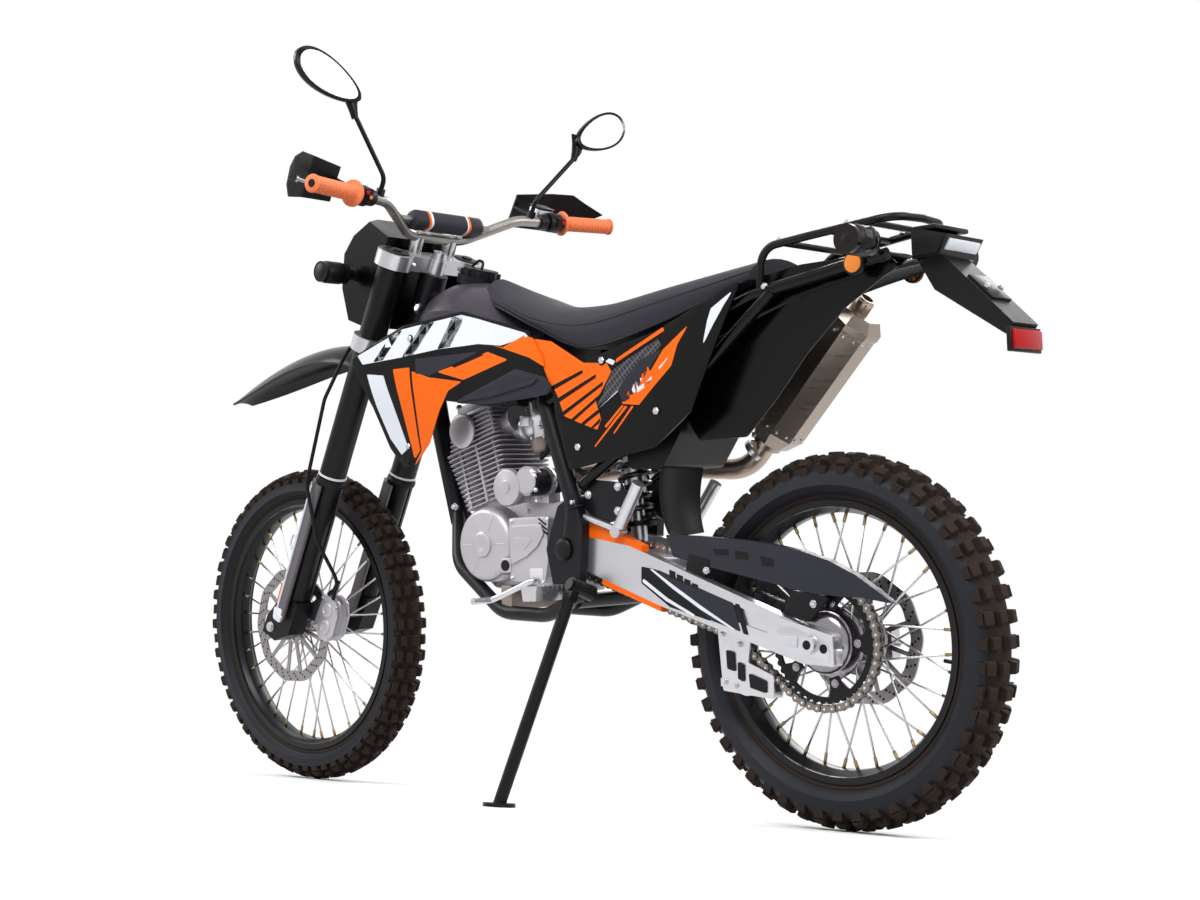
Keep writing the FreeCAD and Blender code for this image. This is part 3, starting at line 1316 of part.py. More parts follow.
# Gear lever on the left and brake pedal on the right
def makePedals():
    gear = tube([at(0.633, 0.98, 0.44), at(0.633, 1.18, 0.44), at(0.70, 1.25, 0.415), at(0.734, 1.3, 0.404),
                 at(0.734, 1.8, 0.404)], 0.06 * size.frameHalfWidth, 0.1 * size.frameHalfWidth)
    brake = tube([at(0.56, -1.0, 0.395), at(0.57, -1.35, 0.39), at(0.70, -1.5, 0.375), at(0.775, -1.5, 0.385),
                  at(0.775, -1.85, 0.385)], 0.06 * size.frameHalfWidth, 0.1 * size.frameHalfWidth)
    solids = [without(pedal, "main_frame", "engine_crankcase") for pedal in (gear, brake)]
    return keepShape("foot_controls", Part.makeCompound(solids))


# Steering: fork frame

legX = -size.axleLead
stemX = -axleOffset
clampSpan = size.legSpacing / 2


def alongLeg(side, height):
    return Vector(legX, side * clampSpan, height)


pegShares = ((0.535, 0.405), (0.568, 0.405), (0.572, 0.432), (0.531, 0.432))


def makeFrontAxle():
    across = Vector(0, 1, 0)
    half = clampSpan + size.outerTubeRadius * 0.9
    shaft = boundRod("front_axle_shaft", "frontAxleRadius", "legSpacing + outerTubeRadius*1.8",
                     across * -half, across)
    bore = boundRod("front_axle_hole", "frontAxleBore", "legSpacing + outerTubeRadius*1.8 + cutOverrun*2",
                    across * -(half + size.cutOverrun), across)
    axle = doc.addObject("Part::Cut", "front_axle")
    axle.Base = shaft
    axle.Tool = bore
    doc.recompute()
    return keep(axle, "front_axle", forkFrame)


# The upper tubes, each with a wiper collar at its foot
def makeForkTubes():
    foot = capHeight - size.outerTubeLength
    up = Vector(0, 0, 1)
    tubes = []
    for side, name in ((leftSide, "left"), (rightSide, "right")):
        tubes.append(boundRod(f"{name}_outer_tube", "outerTubeRadius", "outerTubeLength",
                              alongLeg(side, foot), up))
        tubes.append(boundRod(f"{name}_collar", "outerTubeRadius + panelThickness/2", "collarHeight",
                              alongLeg(side, foot), up))
    pairs = []
    for index in (0, 2):
        pair = doc.addObject("Part::MultiFuse", f"fork_tube_{index}")
        pair.Shapes = tubes[index:index + 2]
        pairs.append(pair)
    return keepTogether("fork_outer_tubes", pairs, forkFrame)


def makeForkLegs():
    foot = capHeight - size.outerTubeLength
    legs = []
    for side in bothSides:
        slider = rod(alongLeg(side, size.outerTubeRadius), alongLeg(side, foot - size.runningGap),
                     size.innerTubeRadius)
        lugWidth = size.outerTubeRadius * 1.5
        inner = side * clampSpan - lugWidth / 2
        lug = prism([Vector(legX - size.outerTubeRadius, inner, size.outerTubeRadius * 3),
                     Vector(legX + size.outerTubeRadius * 0.9, inner, size.outerTubeRadius * 3),
                     Vector(size.frontAxleRadius * 2.2, inner, size.frontAxleRadius * 1.6),
                     Vector(size.frontAxleRadius * 2.2, inner, -size.frontAxleRadius * 2.2),
                     Vector(-size.frontAxleRadius * 2.4, inner, -size.frontAxleRadius * 2.2),
                     Vector(legX - size.outerTubeRadius * 0.9, inner, size.frontAxleRadius)],
                    Vector(0, lugWidth, 0), size.panelThickness)
        bore = rod(Vector(0, inner - size.cutOverrun, 0), Vector(0, inner + lugWidth + size.cutOverrun, 0),
                   size.frontAxleRadius + size.runningGap)
        legs.append(slider.fuse(lug).cut(bore))
    return keepShape("fork_lower_legs", Part.makeCompound(legs), forkFrame)


# Flat-faced guards round the front of the lower legs, cut slanting at the top
def makeForkGuards():
    foot = capHeight - size.outerTubeLength
    unit = size.outerTubeRadius
    guards = []
    for side in bothSides:
        low = unit * 1.2
        section = [alongLeg(side, low) + Vector(x, y, 0) * unit for x, y in guardSectionShares]
        shell = prism(section, Vector(0, 0, foot - size.runningGap * 10 - low), size.panelThickness)
        shell = shell.cut(rod(alongLeg(side, 0), alongLeg(side, foot), unit))
        toe = Part.makeBox(unit * 4, unit * 4, unit * 4)
        toe.Placement = Placement(alongLeg(side, low) + Vector(-0.2, -2, -4) * unit,
                                  Rotation(Vector(0, 1, 0), -guardToeAngle))
        guards.append(without(shell.cut(toe), "fork_lower_legs"))
    return keepShape("fork_guards", Part.makeCompound(guards), forkFrame)


# One clamp: two rings round the legs joined by a bridge to the stem
def clampPlate(height, reach):
    top = height + size.clampThickness
    ringRadius = size.outerTubeRadius + 0.1 * size.frameHalfWidth
    rings = [Part.makeCylinder(ringRadius, size.clampThickness, alongLeg(side, height), Vector(0, 0, 1))
             for side in bothSides]
    outline = [Vector(legX + reach, clampSpan, height), Vector(legX + reach, -clampSpan, height),
               Vector(legX - reach, -clampSpan, height), Vector(legX - reach, clampSpan, height)]
    bridge = prism(outline, Vector(0, 0, top - height), size.panelThickness)
    boss = Part.makeCylinder(size.stemRadius + size.panelThickness, size.clampThickness,
                             Vector(stemX, 0, height), Vector(0, 0, 1))
    plate = fused([bridge, boss] + rings)
    for side in bothSides:
        plate = plate.cut(rod(alongLeg(side, height - size.cutOverrun), alongLeg(side, top + size.cutOverrun),
                              size.outerTubeRadius + size.runningGap))
    return plate


def makeTripleClamps():
    upper = clampPlate(capHeight - size.clampThickness, size.outerTubeRadius * 0.8)
    lower = clampPlate(lowerClampHeight, size.outerTubeRadius * 0.8)
    stem = rod(Vector(stemX, 0, lowerClampHeight), Vector(stemX, 0, capHeight + size.stemRadius),
               size.stemRadius)
    risers = [rod(Vector(barClampX, 0.45 * side * size.frameHalfWidth, capHeight - size.panelThickness),
                  Vector(barClampX, 0.45 * side * size.frameHalfWidth, barClampZ),
                  size.barRadius) for side in bothSides]
    return keepShape("triple_clamps", without(fused([upper, lower, stem] + risers), "handlebar"), forkFrame)


barClampX = legX + 0.08 * size.frameHalfWidth
barClampZ = capHeight + 0.36 * size.frameHalfWidth


def barPoints(side):
    end = size.barWidth / 2
    return [Vector(barClampX, 0, barClampZ),
            Vector(barClampX, 0.72 * size.frameHalfWidth * side, barClampZ),
            Vector(barClampX - 0.36 * size.frameHalfWidth, 1.85 * size.frameHalfWidth * side,
                   barClampZ + 0.72 * size.frameHalfWidth),
            Vector(barClampX - 0.84 * size.frameHalfWidth, end * side,
                   barClampZ + 0.98 * size.frameHalfWidth)]


def makeHandlebar():
    left = barPoints(leftSide)
    right = barPoints(rightSide)
    bar = tube(right[:0:-1] + left[1:], size.barEndRadius, 0.8 * size.frameHalfWidth)
    cross = rod(crossBarEnd(leftSide), crossBarEnd(rightSide), size.barEndRadius * 0.6)
    return keepShape("handlebar", fused([bar, cross]), forkFrame)


def crossBarEnd(side):
    points = barPoints(side)
    return points[1] + (points[2] - points[1]) * 0.55


def gripAxis(side):
    points = barPoints(side)
    return points[3], (points[2] - points[3]).normalize()


def makeGrips():
    grips = []
    for side in bothSides:
        end, inward = gripAxis(side)
        outer = rod(end - inward * size.panelThickness, end + inward * size.gripLength, size.gripRadius)
        inner = rod(end, end + inward * (size.gripLength + size.cutOverrun),
                    size.barEndRadius + size.runningGap)
        grips.append(outer.cut(inner))
    return keepShape("grips", Part.makeCompound(grips), forkFrame)


def makeBarPad():
    middle = (crossBarEnd(leftSide) + crossBarEnd(rightSide)) * 0.5
    half = 0.95 * size.frameHalfWidth
    pad = Part.makeCylinder(0.22 * size.frameHalfWidth, half * 2, middle - Vector(0, half, 0),
                            Vector(0, 1, 0))
    hole = Part.makeCylinder(size.barEndRadius * 0.6 + size.runningGap, half * 2 + size.cutOverrun * 2,
                             middle - Vector(0, half + size.cutOverrun, 0), Vector(0, 1, 0))
    return keepShape("bar_pad", without(pad.cut(hole), "handlebar", "triple_clamps"), forkFrame)


# A point in a control's own axes: along the bar inward from its end, forward and up
def onBar(side, inwardMm, forwardMm, upMm):
    end, inward = gripAxis(side)
    return end + inward * inwardMm + Vector(forwardMm, 0, upMm)


def makeControls():
    unit = size.frameHalfWidth
    pieces = []
    for side in bothSides:
        clampA = rod(onBar(side, size.gripLength + 0.06 * unit, 0, 0),
                     onBar(side, size.gripLength + 0.62 * unit, 0, 0),
                     size.barRadius * 1.35)
        bore = rod(onBar(side, size.gripLength, 0, 0), onBar(side, size.gripLength + unit, 0, 0),
                   size.barEndRadius + size.runningGap)
        lever = tube([onBar(side, size.gripLength + 0.35 * unit, 0.18 * unit, 0),
                      onBar(side, size.gripLength + 0.2 * unit, 0.55 * unit, -0.05 * unit),
                      onBar(side, 0.15 * unit, 0.62 * unit, -0.1 * unit)], 0.055 * unit, 0.4 * unit)
        perch = rod(onBar(side, size.gripLength + 0.35 * unit, 0.05 * unit, 0),
                    onBar(side, size.gripLength + 0.35 * unit, 0.32 * unit, 0), 0.16 * unit)
        pieces.append(fused([clampA, perch, lever]).cut(bore))
    return keepShape("control_perches", Part.makeCompound(pieces), forkFrame)


def makeHandGuards():
    unit = size.frameHalfWidth
    guards = []
    for side in bothSides:
        outline = [onBar(side, -0.25 * unit, 0.62 * unit, 0.12 * unit),
                   onBar(side, 0.35 * unit, 0.95 * unit, 0.42 * unit),
                   onBar(side, 1.7 * unit, 1.10 * unit, 0.30 * unit), onBar(side, 1.75 * unit, 1.02 * unit,
                                                                            -0.45 * unit),
                   onBar(side, 0.3 * unit, 0.86 * unit, -0.52 * unit)]
        flat = [Vector(0, point.y, point.z) for point in outline]
        cutter = prism(flat, Vector(capHeight, 0, 0))
        cutter.translate(Vector(-capHeight / 2, 0, 0))
        rows = []
        for inward, forward in ((-0.35, 0.52), (0.1, 0.92), (0.8, 1.12), (1.7, 1.12)):
            low = onBar(side, inward * unit, forward * unit, -0.8 * unit)
            high = onBar(side, inward * unit, (forward - 0.1) * unit, 0.8 * unit)
            back = Vector(-size.panelThickness, 0, 0)
            rows.append(Part.makePolygon([low, high, high + back, low + back, low]))
        shell = loft(rows, ruled=True).common(cutter)
        bracket = rod(onBar(side, 1.63 * unit, 0.2 * unit, 0), onBar(side, 1.63 * unit, 1.08 * unit, 0),
                      0.07 * unit)
        guards.append(without(shell.fuse(bracket), "control_perches", "handlebar", "grips"))
    return keepShape("hand_guards", Part.makeCompound(guards), forkFrame)


# A point of the fork frame from a point of the bike frame
def toFork(point):
    return forkFrame.inverse().multVec(point)


mirrorShares = {leftSide: (0.62, 3.38, 2.78), rightSide: (0.0, 3.85, 2.85)}


def makeMirrors():
    unit = size.frameHalfWidth
    rearward = Vector(-cos(rake), 0, sin(rake))
    upward = Vector(sin(rake), 0, cos(rake))
    mirrors = []
    for side in bothSides:
        across = Vector(0, side, 0)
        foot = onBar(side, size.gripLength + 0.8 * unit, 0, size.barEndRadius + size.runningGap)
        ahead, outward, rise = mirrorShares[side]
        centre = Vector(barClampX + ahead * unit, outward * side * unit, barClampZ + rise * unit)
        neck = centre - across * 0.62 * unit - upward * 0.5 * unit
        stem = tube([foot, foot + Vector(0, 0, 0.35 * unit), neck,
                     centre - across * 0.5 * unit - upward * 0.15 * unit],
                    0.05 * unit, 0.3 * unit)
        tilt = radians(22)
        along = across * cos(tilt) + upward * sin(tilt)
        square = upward * cos(tilt) - across * sin(tilt)
        front = centre - rearward * 0.12 * unit
        outline = [front + along * x * unit + square * z * unit
                   for x, z in ((-0.85, -0.26), (-0.5, -0.42), (0.5, -0.42), (0.88, -0.2), (0.88, 0.2),
                                (0.5, 0.42),
                                (-0.5, 0.42), (-0.85, 0.26))]
        head = prism(outline, rearward * 0.24 * unit, 0.3 * unit)
        mirrors.append(without(stem.fuse(head), "handlebar", "control_perches"))
    return keepShape("mirrors", Part.makeCompound(mirrors), forkFrame)


def makeFrontFender():
    unit = size.frameHalfWidth
    archShares = ((4.51, 3.55, 0.30, 0.06, (0.55, 0.84)), (3.6, 4.55, 0.55, 0.30, (0.6, 0.8)),
              (2.2, 5.72, 0.74, 0.38, (0.6, 0.8)), (0.6, 6.45, 0.72, 0.40, (0.2, 0.98)),
              (-0.35, 6.52, 0.68, 0.40, (-0.1, 1.0)), (-1.15, 6.35, 0.64, 0.38, (-0.35, 0.95)))
    wires = [archSection(Vector(x * unit, 0, z * unit), Vector(up[0], 0, up[1]).normalize(), half * unit,
                         drop * unit, size.fenderThickness) for x, z, half, drop, up in archShares]
    mount = Part.makeBox(0.7 * unit, 0.8 * unit, 0.5 * unit, Vector(-0.55 * unit, -0.4 * unit, 6.4 * unit))
    fender = fused([loft(wires), mount])
    return keepShape("front_fender", without(fender, "fork_outer_tubes", "triple_clamps"), forkFrame)


guardSectionShares = ((-0.30, -1.22), (0.65, -1.18), (1.32, -0.55), (1.32, 0.55), (0.65, 1.18), (-0.30, 1.22))
guardToeAngle = 20


def makeHeadlampMask():
    unit = size.frameHalfWidth
    wires = []
    for y, reach in maskSideShares:
        corners = [Vector(x * reach if x > maskRearShare else x, y, z) * unit for x, z in maskShares]
        wires.append(Part.makePolygon(corners + corners[:1]))
    mask = loft(wires, ruled=True)
    pocket = rod(lampCentre(0.4), lampCentre(2.0), lampRadiusShare * unit + size.runningGap)
    return keepShape("headlamp_mask", without(mask.cut(pocket), "fork_outer_tubes", "triple_clamps",
                                              "handlebar",
                                              "front_fender"), forkFrame)


maskShares = ((0.05, 9.10), (0.95, 9.20), (1.42, 8.76), (1.60, 8.30), (1.30, 7.60), (0.7, 7.05), (0.0, 7.10))
maskRearShare = 0.5
maskSideShares = ((-0.98, 0.78), (-0.55, 1.06), (0.55, 1.06), (0.98, 0.78))
lampRadiusShare = 0.42


# A place on the lamp's axis, in shares of the half width ahead of the legs
def lampCentre(ahead):
    return Vector(ahead, 0, 8.3 - 0.5 * (ahead - 1)) * size.frameHalfWidth


# A round lamp with a domed glass, set into the mask
def makeHeadlamp():
    unit = size.frameHalfWidth
    body = rod(lampCentre(0.4), lampCentre(1.45), lampRadiusShare * unit)
    glass = Part.makeSphere(lampRadiusShare * unit * 1.4).translated(lampCentre(1.0))
    glass = glass.common(rod(lampCentre(1.2), lampCentre(2.2), lampRadiusShare * unit))
    return keepShape("headlamp", fused([body, glass]), forkFrame)


# The hose from the front caliper up the back of the left leg and over to the perch on the right
def makeBrakeHose():
    unit = size.frameHalfWidth
    route = [Vector(x, y, z) * unit for x, y, z in hoseShares]
    hose = tube(route, size.hoseRadius, 0.5 * unit)
    return keepShape("front_brake_hose", without(hose, "front_caliper", "fork_guards", "fork_outer_tubes",
                                                 "headlamp_mask"), forkFrame)


hoseShares = ((-1.15, 0.72, 1.05), (-1.34, 0.90, 1.75), (-0.85, 1.36, 2.5), (-0.10, 1.43, 3.5),
              (0.10, 1.41, 5.4),
              (0.24, 1.05, 6.45), (0.42, 0.50, 6.85), (0.46, 0.42, 7.3))


def makeFrontSignals():
    unit = size.frameHalfWidth
    signals = []
    for side in bothSides:
        stalk = rod(Vector(0.75, 0.90 * side, 8.0) * unit, Vector(0.75, 1.35 * side, 8.0) * unit, 0.10 * unit)
        lamp = rod(Vector(0.75, 1.25 * side, 8.0) * unit, Vector(0.75, 1.9 * side, 8.0) * unit, 0.22 * unit)
        signals.append(without(stalk.fuse(lamp), "headlamp_mask"))
    return keepShape("front_signals", Part.makeCompound(signals), forkFrame)


def makeFrontCaliper():
    disc = size.frontDiscRadius
    outline = [Vector(-0.62 * disc, 0, 0.42 * disc), Vector(-0.72 * disc, 0, 1.02 * disc),
               Vector(-1.12 * disc, 0, 0.95 * disc),
               Vector(-1.2 * disc, 0, 0.35 * disc), Vector(-0.9 * disc, 0, 0.2 * disc)]
    low = size.frontDiscOffset - 0.2 * size.frameHalfWidth
    caliper = sidePlate(outline, low, low + 0.42 * size.frameHalfWidth, size.panelThickness)
    bracket = sidePlate([Vector(-0.45 * disc, 0, 0.25 * disc), Vector(-0.45 * disc, 0, 0.6 * disc),
                         Vector(-0.9 * disc, 0, 0.8 * disc), Vector(-0.9 * disc, 0, 0.4 * disc)],
                        size.frontDiscOffset + size.discThickness + size.runningGap * 10,
                        low + 0.42 * size.frameHalfWidth)
    caliper = without(caliper.fuse(bracket), "fork_lower_legs", "fork_guards")
    slot = Part.makeCylinder(disc + size.cutOverrun, size.discThickness + size.cutOverrun * 2,
                             Vector(0, size.frontDiscOffset - size.discThickness / 2 - size.cutOverrun, 0),
                             Vector(0, 1, 0))
    return keepShape("front_caliper", caliper.cut(slot), forkFrame)


# All nodes

makeTyre("front", frontWheelFrame)
makeTyre("rear", rearWheelFrame)
leanDrop = groundDrop()
makeRim("front", frontWheelFrame)
makeHub("front", frontWheelFrame)
makeDisc("front", leftSide, frontWheelFrame)
makeRim("rear", rearWheelFrame)
makeHub("rear", rearWheelFrame)
makeDisc("rear", rightSide, rearWheelFrame)
makeRearSprocket()
makeMainFrame()
makeRearSubframe()
makeCrankcase()
makeCylinder()
makeStarter()
makeCarburettor()
makeSilencer()
makeExhaust()
makeFuelTank()
makeFuelCap()
makeSeat()
makeShrouds()
makeSidePanels()
makeAirBox()
makeRearFender()
makeRack()
makeTailLamp()
makePlateBracket()
makeReflectors()
makeRearSignals()
makeSwingarm()
makeRearAxle()
makePivotBolt()
makeDriveChain()
makeChainGuide()
makeChainGuard()
makeRearShock()
makeChainSlider()
makeRearCaliper()
makeFootPegs()
makePedals()
makeFrontAxle()
makeForkTubes()
makeForkLegs()
makeForkGuards()
makeHandlebar()
makeTripleClamps()
makeGrips()
makeBarPad()
makeControls()
makeHandGuards()
makeMirrors()
makeFrontFender()
makeHeadlampMask()
makeHeadlamp()
makeFrontSignals()
makeFrontCaliper()
makeBrakeHose()
makeSideStand()
doc.recompute()

# The bike leans about the line under its wheels, then moves so that its box stands on the origin
lean = Placement(Vector(), Rotation(Vector(1, 0, 0), -size.leanAngle))
for label, item, frame in nodes:
    item.Placement = lean * frame * item.Placement
doc.recompute()
whole = FreeCAD.BoundBox()
for label, item, frame in nodes:
    whole.add(item.Shape.optimalBoundingBox(False, False))
lowest = min(item.Shape.optimalBoundingBox(False, False).ZMin for label, item, frame in nodes
             if label in ("front_tyre", "rear_tyre"))
toOrigin = Placement(Vector(-whole.Center.x, -whole.Center.y, -lowest), Rotation())
for label, item, frame in nodes:
    item.Placement = toOrigin * item.Placement
world = toOrigin * lean
doc.recompute()

# Every object is checked before anything is written
faults = [item.Name for item in doc.Objects if "Invalid" in item.State or "Error" in item.State]
for label, item, frame in nodes:
    if item.Shape.isNull() or not item.Shape.isValid():
        faults.append(label)
if faults:
    raise RuntimeError("failed: " + ", ".join(faults))

os.makedirs("parts", exist_ok=True)
for label, item, frame in nodes:
    item.Shape.exportStep(f"parts/{label}.step")
print(f"{len(nodes)} nodes, wheelbase {wheelbase:.1f} mm")
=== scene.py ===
import math
import bmesh
import bpy
from mathutils import Matrix, Vector
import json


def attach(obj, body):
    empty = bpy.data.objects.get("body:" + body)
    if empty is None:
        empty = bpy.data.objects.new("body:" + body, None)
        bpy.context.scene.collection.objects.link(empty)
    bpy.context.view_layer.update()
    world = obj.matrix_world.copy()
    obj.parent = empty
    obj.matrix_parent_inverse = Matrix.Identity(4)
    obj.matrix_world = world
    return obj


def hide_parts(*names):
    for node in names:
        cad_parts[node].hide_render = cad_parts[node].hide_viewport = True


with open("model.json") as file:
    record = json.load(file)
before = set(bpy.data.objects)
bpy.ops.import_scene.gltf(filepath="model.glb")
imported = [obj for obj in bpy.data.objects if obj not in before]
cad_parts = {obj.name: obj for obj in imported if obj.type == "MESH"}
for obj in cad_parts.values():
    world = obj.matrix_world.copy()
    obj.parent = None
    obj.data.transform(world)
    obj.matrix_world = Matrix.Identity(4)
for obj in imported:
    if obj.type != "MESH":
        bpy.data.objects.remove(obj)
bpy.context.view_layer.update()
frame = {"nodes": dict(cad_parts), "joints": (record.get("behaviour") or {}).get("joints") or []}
print("frame loaded")

# Places are written in millimetres, in the upright bike's frame, along its leaning fork or its engine
bikeSizes = {"lean": 8, "rearRadius": 325, "frontRadius": 348, "wheelbase": 1445.1, "rake": 27,
             "crank": (785, 0, 512), "cylinderTilt": 14}
jointPlaces = {joint["name"]: Vector(joint["pos_m"]) for joint in frame["joints"]}
leanTurn = Matrix.Rotation(math.radians(-bikeSizes["lean"]), 4, "X")
rearAxle = Vector((0, 0, bikeSizes["rearRadius"]))
frontAxle = Vector((bikeSizes["wheelbase"], 0, bikeSizes["frontRadius"]))
toMetres = Matrix.Scale(0.001, 4)
rearPlace = leanTurn @ (rearAxle * 0.001)
bikeFrame = Matrix.Translation(jointPlaces["rear_wheel_spin"] - rearPlace) @ leanTurn @ toMetres
forkTurn = Matrix.Rotation(math.radians(-bikeSizes["rake"]), 4, "Y")
forkFrame = bikeFrame @ Matrix.Translation(frontAxle) @ forkTurn
engineFrame = (bikeFrame @ Matrix.Translation(Vector(bikeSizes["crank"]))
               @ Matrix.Rotation(math.radians(bikeSizes["cylinderTilt"]), 4, "Y"))
rearWheelFrame = bikeFrame @ Matrix.Translation(rearAxle)
frontWheelFrame = bikeFrame @ Matrix.Translation(frontAxle)
bothSides = (1, -1)


# Materials

def linearColor(code):
    parts = [int(code[at:at + 2], 16) / 255 for at in (1, 3, 5)]
    return [part / 12.92 if part <= 0.04045 else ((part + 0.055) / 1.055) ** 2.4 for part in parts] + [1]


def addNode(tree, kind, settings=None, links=None):
    node = tree.nodes.new(kind)
    for key, value in (settings or {}).items():
        if isinstance(key, str) and hasattr(node, key):
            setattr(node, key, value)
        else:
            node.inputs[key].default_value = value
    for key, source in (links or {}).items():
        tree.links.new(source, node.inputs[key])
    return node


def newMaterial(name):
    material = bpy.data.materials.new(name)
    material.use_nodes = True
    tree = material.node_tree
    return material, tree, tree.nodes["Principled BSDF"]


surfaceValues = {"coatRough": 0.08, "glossier": 0.06, "rougher": 0.08, "least": 0.02, "bump": 0.6,
                 "sheen": 0.18}


# A plain finish with slight unevenness: grain, patch and the bump's depth are in millimetres
def surface(name, code, rough, metal=0.0, grain=0.0, depth=0.0, coat=0.0, stretch=(1, 1, 1), wear=0.08,
            patch=60):
    material, tree, shader = newMaterial(name)
    shader.inputs["Metallic"].default_value = metal
    shader.inputs["Coat Weight"].default_value = coat
    shader.inputs["Coat Roughness"].default_value = surfaceValues["coatRough"]
    where = addNode(tree, "ShaderNodeTexCoord")
    spread = addNode(tree, "ShaderNodeMapping", {"Scale": stretch}, {"Vector": where.outputs["Object"]})
    broad = addNode(tree, "ShaderNodeTexNoise", {"Scale": 1000 / patch, "Detail": 4.0},
                    {"Vector": spread.outputs["Vector"]})
    tone = addNode(tree, "ShaderNodeMapRange", {"To Min": 1 - wear, "To Max": 1 + wear},
                   {"Value": broad.outputs["Fac"]})
    shade = addNode(tree, "ShaderNodeVectorMath", {"operation": "SCALE", 0: linearColor(code)[:3]},
                    {"Scale": tone.outputs["Result"]})
    tree.links.new(shade.outputs["Vector"], shader.inputs["Base Color"])
    smoothest = max(rough - surfaceValues["glossier"], surfaceValues["least"])
    gloss = addNode(tree, "ShaderNodeMapRange",
                    {"To Min": smoothest, "To Max": rough + surfaceValues["rougher"]},
                    {"Value": broad.outputs["Fac"]})
    tree.links.new(gloss.outputs["Result"], shader.inputs["Roughness"])
    if grain:
        fine = addNode(tree, "ShaderNodeTexNoise", {"Scale": 1000 / grain, "Detail": 3.0},
                       {"Vector": spread.outputs["Vector"]})
        bump = addNode(tree, "ShaderNodeBump", {"Strength": surfaceValues["bump"], "Distance": depth / 1000},
                       {"Height": fine.outputs["Fac"]})
        tree.links.new(bump.outputs["Normal"], shader.inputs["Normal"])
    return material


finishes = {
    "knobRubber": surface("moulded tyre rubber, dusty", "#2a211c", 0.8, grain=1.2, depth=0.3, wear=0.25),
    "sideRubber": surface("moulded tyre sidewall rubber", "#202127", 0.5, grain=0.8, depth=0.1, wear=0.15),
    "blackRim": surface("black anodised rolled alloy", "#101013", 0.28, metal=0.6, wear=0.1),
    "spokeSteel": surface("drawn stainless wire", "#b8b8bc", 0.25, metal=1.0, wear=0.05),
    "nippleBrass": surface("plated brass nipple", "#8f7c5e", 0.35, metal=1.0, wear=0.1),
    "hubAlloy": surface("polished dark cast alloy", "#8d888e", 0.2, metal=0.9, grain=0.9, depth=0.05),
    "discSteel": surface("ground stainless disc", "#8e898a", 0.32, metal=1.0, grain=0.5, depth=0.03),
    "blackSteel": surface("black powder coated steel", "#0c0c0e", 0.34, grain=0.6, depth=0.04, wear=0.1),
    "framePaint": surface("dark grey powder coated tube", "#16161a", 0.32, grain=0.8, depth=0.03),
    "engineCast": surface("sand cast silver painted alloy", "#b3afb5", 0.42, metal=0.5, grain=1.1,
                          depth=0.18),
    "engineSmooth": surface("machined cast alloy", "#b7b3b9", 0.38, metal=0.55, grain=0.7, depth=0.04),
    "bronzeCast": surface("bronze tinted cast alloy", "#8d8078", 0.45, metal=0.6, grain=1.1, depth=0.15),
    "brushedSteel": surface("brushed bronze-grey steel", "#9c9187", 0.28, metal=0.9, grain=0.7, depth=0.02,
                            stretch=(1, 1, 12), wear=0.03),
    "pipeSteel": surface("heat tinted steel pipe", "#a5968a", 0.3, metal=0.95, wear=0.2),
    "tankPlastic": surface("moulded bronze-grey tank plastic", "#3f3a42", 0.26, grain=1.5, depth=0.03),
    "glossBlack": surface("gloss black moulded plastic", "#050507", 0.2, wear=0.05),
    "satinBlack": surface("satin black moulded plastic", "#0d0d10", 0.4, grain=0.7, depth=0.05),
    "slatePlastic": surface("dark blue-grey moulded plastic", "#2b2b34", 0.38, grain=0.8, depth=0.05),
    "orangePlastic": surface("moulded orange plastic", "#ff6c06", 0.3, coat=0.12, wear=0.04, grain=2.0,
                             depth=0.02),
    "seatCover": surface("grained vinyl seat cover", "#2c2b32", 0.55, grain=1.1, depth=0.25, wear=0.1),
    "silverAlloy": surface("machined silver alloy", "#c0c0c4", 0.28, metal=0.9, wear=0.05),
    "darkAlloy": surface("dark anodised caliper alloy", "#4a484c", 0.35, metal=0.85, grain=0.8, depth=0.05),
    "chainSteel": surface("oiled rolled chain steel", "#77706a", 0.38, metal=0.95, wear=0.2, patch=12),
    "barTitanium": surface("titanium grey anodised bar", "#8f8a86", 0.32, metal=0.8, wear=0.05),
    "gripRubber": surface("orange moulded grip rubber", "#ea7a48", 0.55, grain=0.9, depth=0.1),
    "blackRubber": surface("black moulded rubber", "#0a0a0c", 0.55, grain=0.8, depth=0.06),
    "redLens": surface("moulded red lens", "#a80d12", 0.2, wear=0.03),
    "amberLens": surface("moulded amber reflector", "#e8820f", 0.18, coat=0.3, wear=0.03),
    "smokeLens": surface("moulded smoked lens", "#1c1716", 0.12, wear=0.03),
    # The mirror glass is plain white, a painted reflection of the white room
    "mirrorWhiteReflection": surface("mirror glass with painted white reflection", "#f2f4f8", 0.3, wear=0.01),
    "whitePlastic": surface("moulded white plastic", "#e8ecf5", 0.3, coat=0.4, wear=0.03),
    "guardGrey": surface("moulded grey guard plastic", "#5c565b", 0.42, grain=0.9, depth=0.05),
    "labelWhite": surface("blank printed label", "#dedee2", 0.5, wear=0.02),
    "clearGlass": surface("clear moulded lamp lens", "#c9ced6", 0.06, coat=1.0, wear=0.02),
    "coilPaint": surface("powder coated coil spring", "#2a2a30", 0.35, coat=0.4, wear=0.05),
}
# Dark rubber, paint, plastic and lenses shine little, so that the white room leaves them deep
for key in ("knobRubber", "sideRubber", "blackSteel", "framePaint", "glossBlack", "satinBlack",
            "slatePlastic", "seatCover", "tankPlastic", "blackRubber", "redLens", "smokeLens",
            "orangePlastic"):
    glossy = finishes[key].node_tree.nodes["Principled BSDF"]
    glossy.inputs["Specular IOR Level"].default_value = surfaceValues["sheen"]


# The colour between the bars is painted shade, dark where the vent's openings are
latticeValues = {"bar": "#5d5b66", "openingShade": "#0c0c0e", "spacing": 14, "half": 1.3, "slopes": (0.75, -1.5),
                 "rough": 0.4}
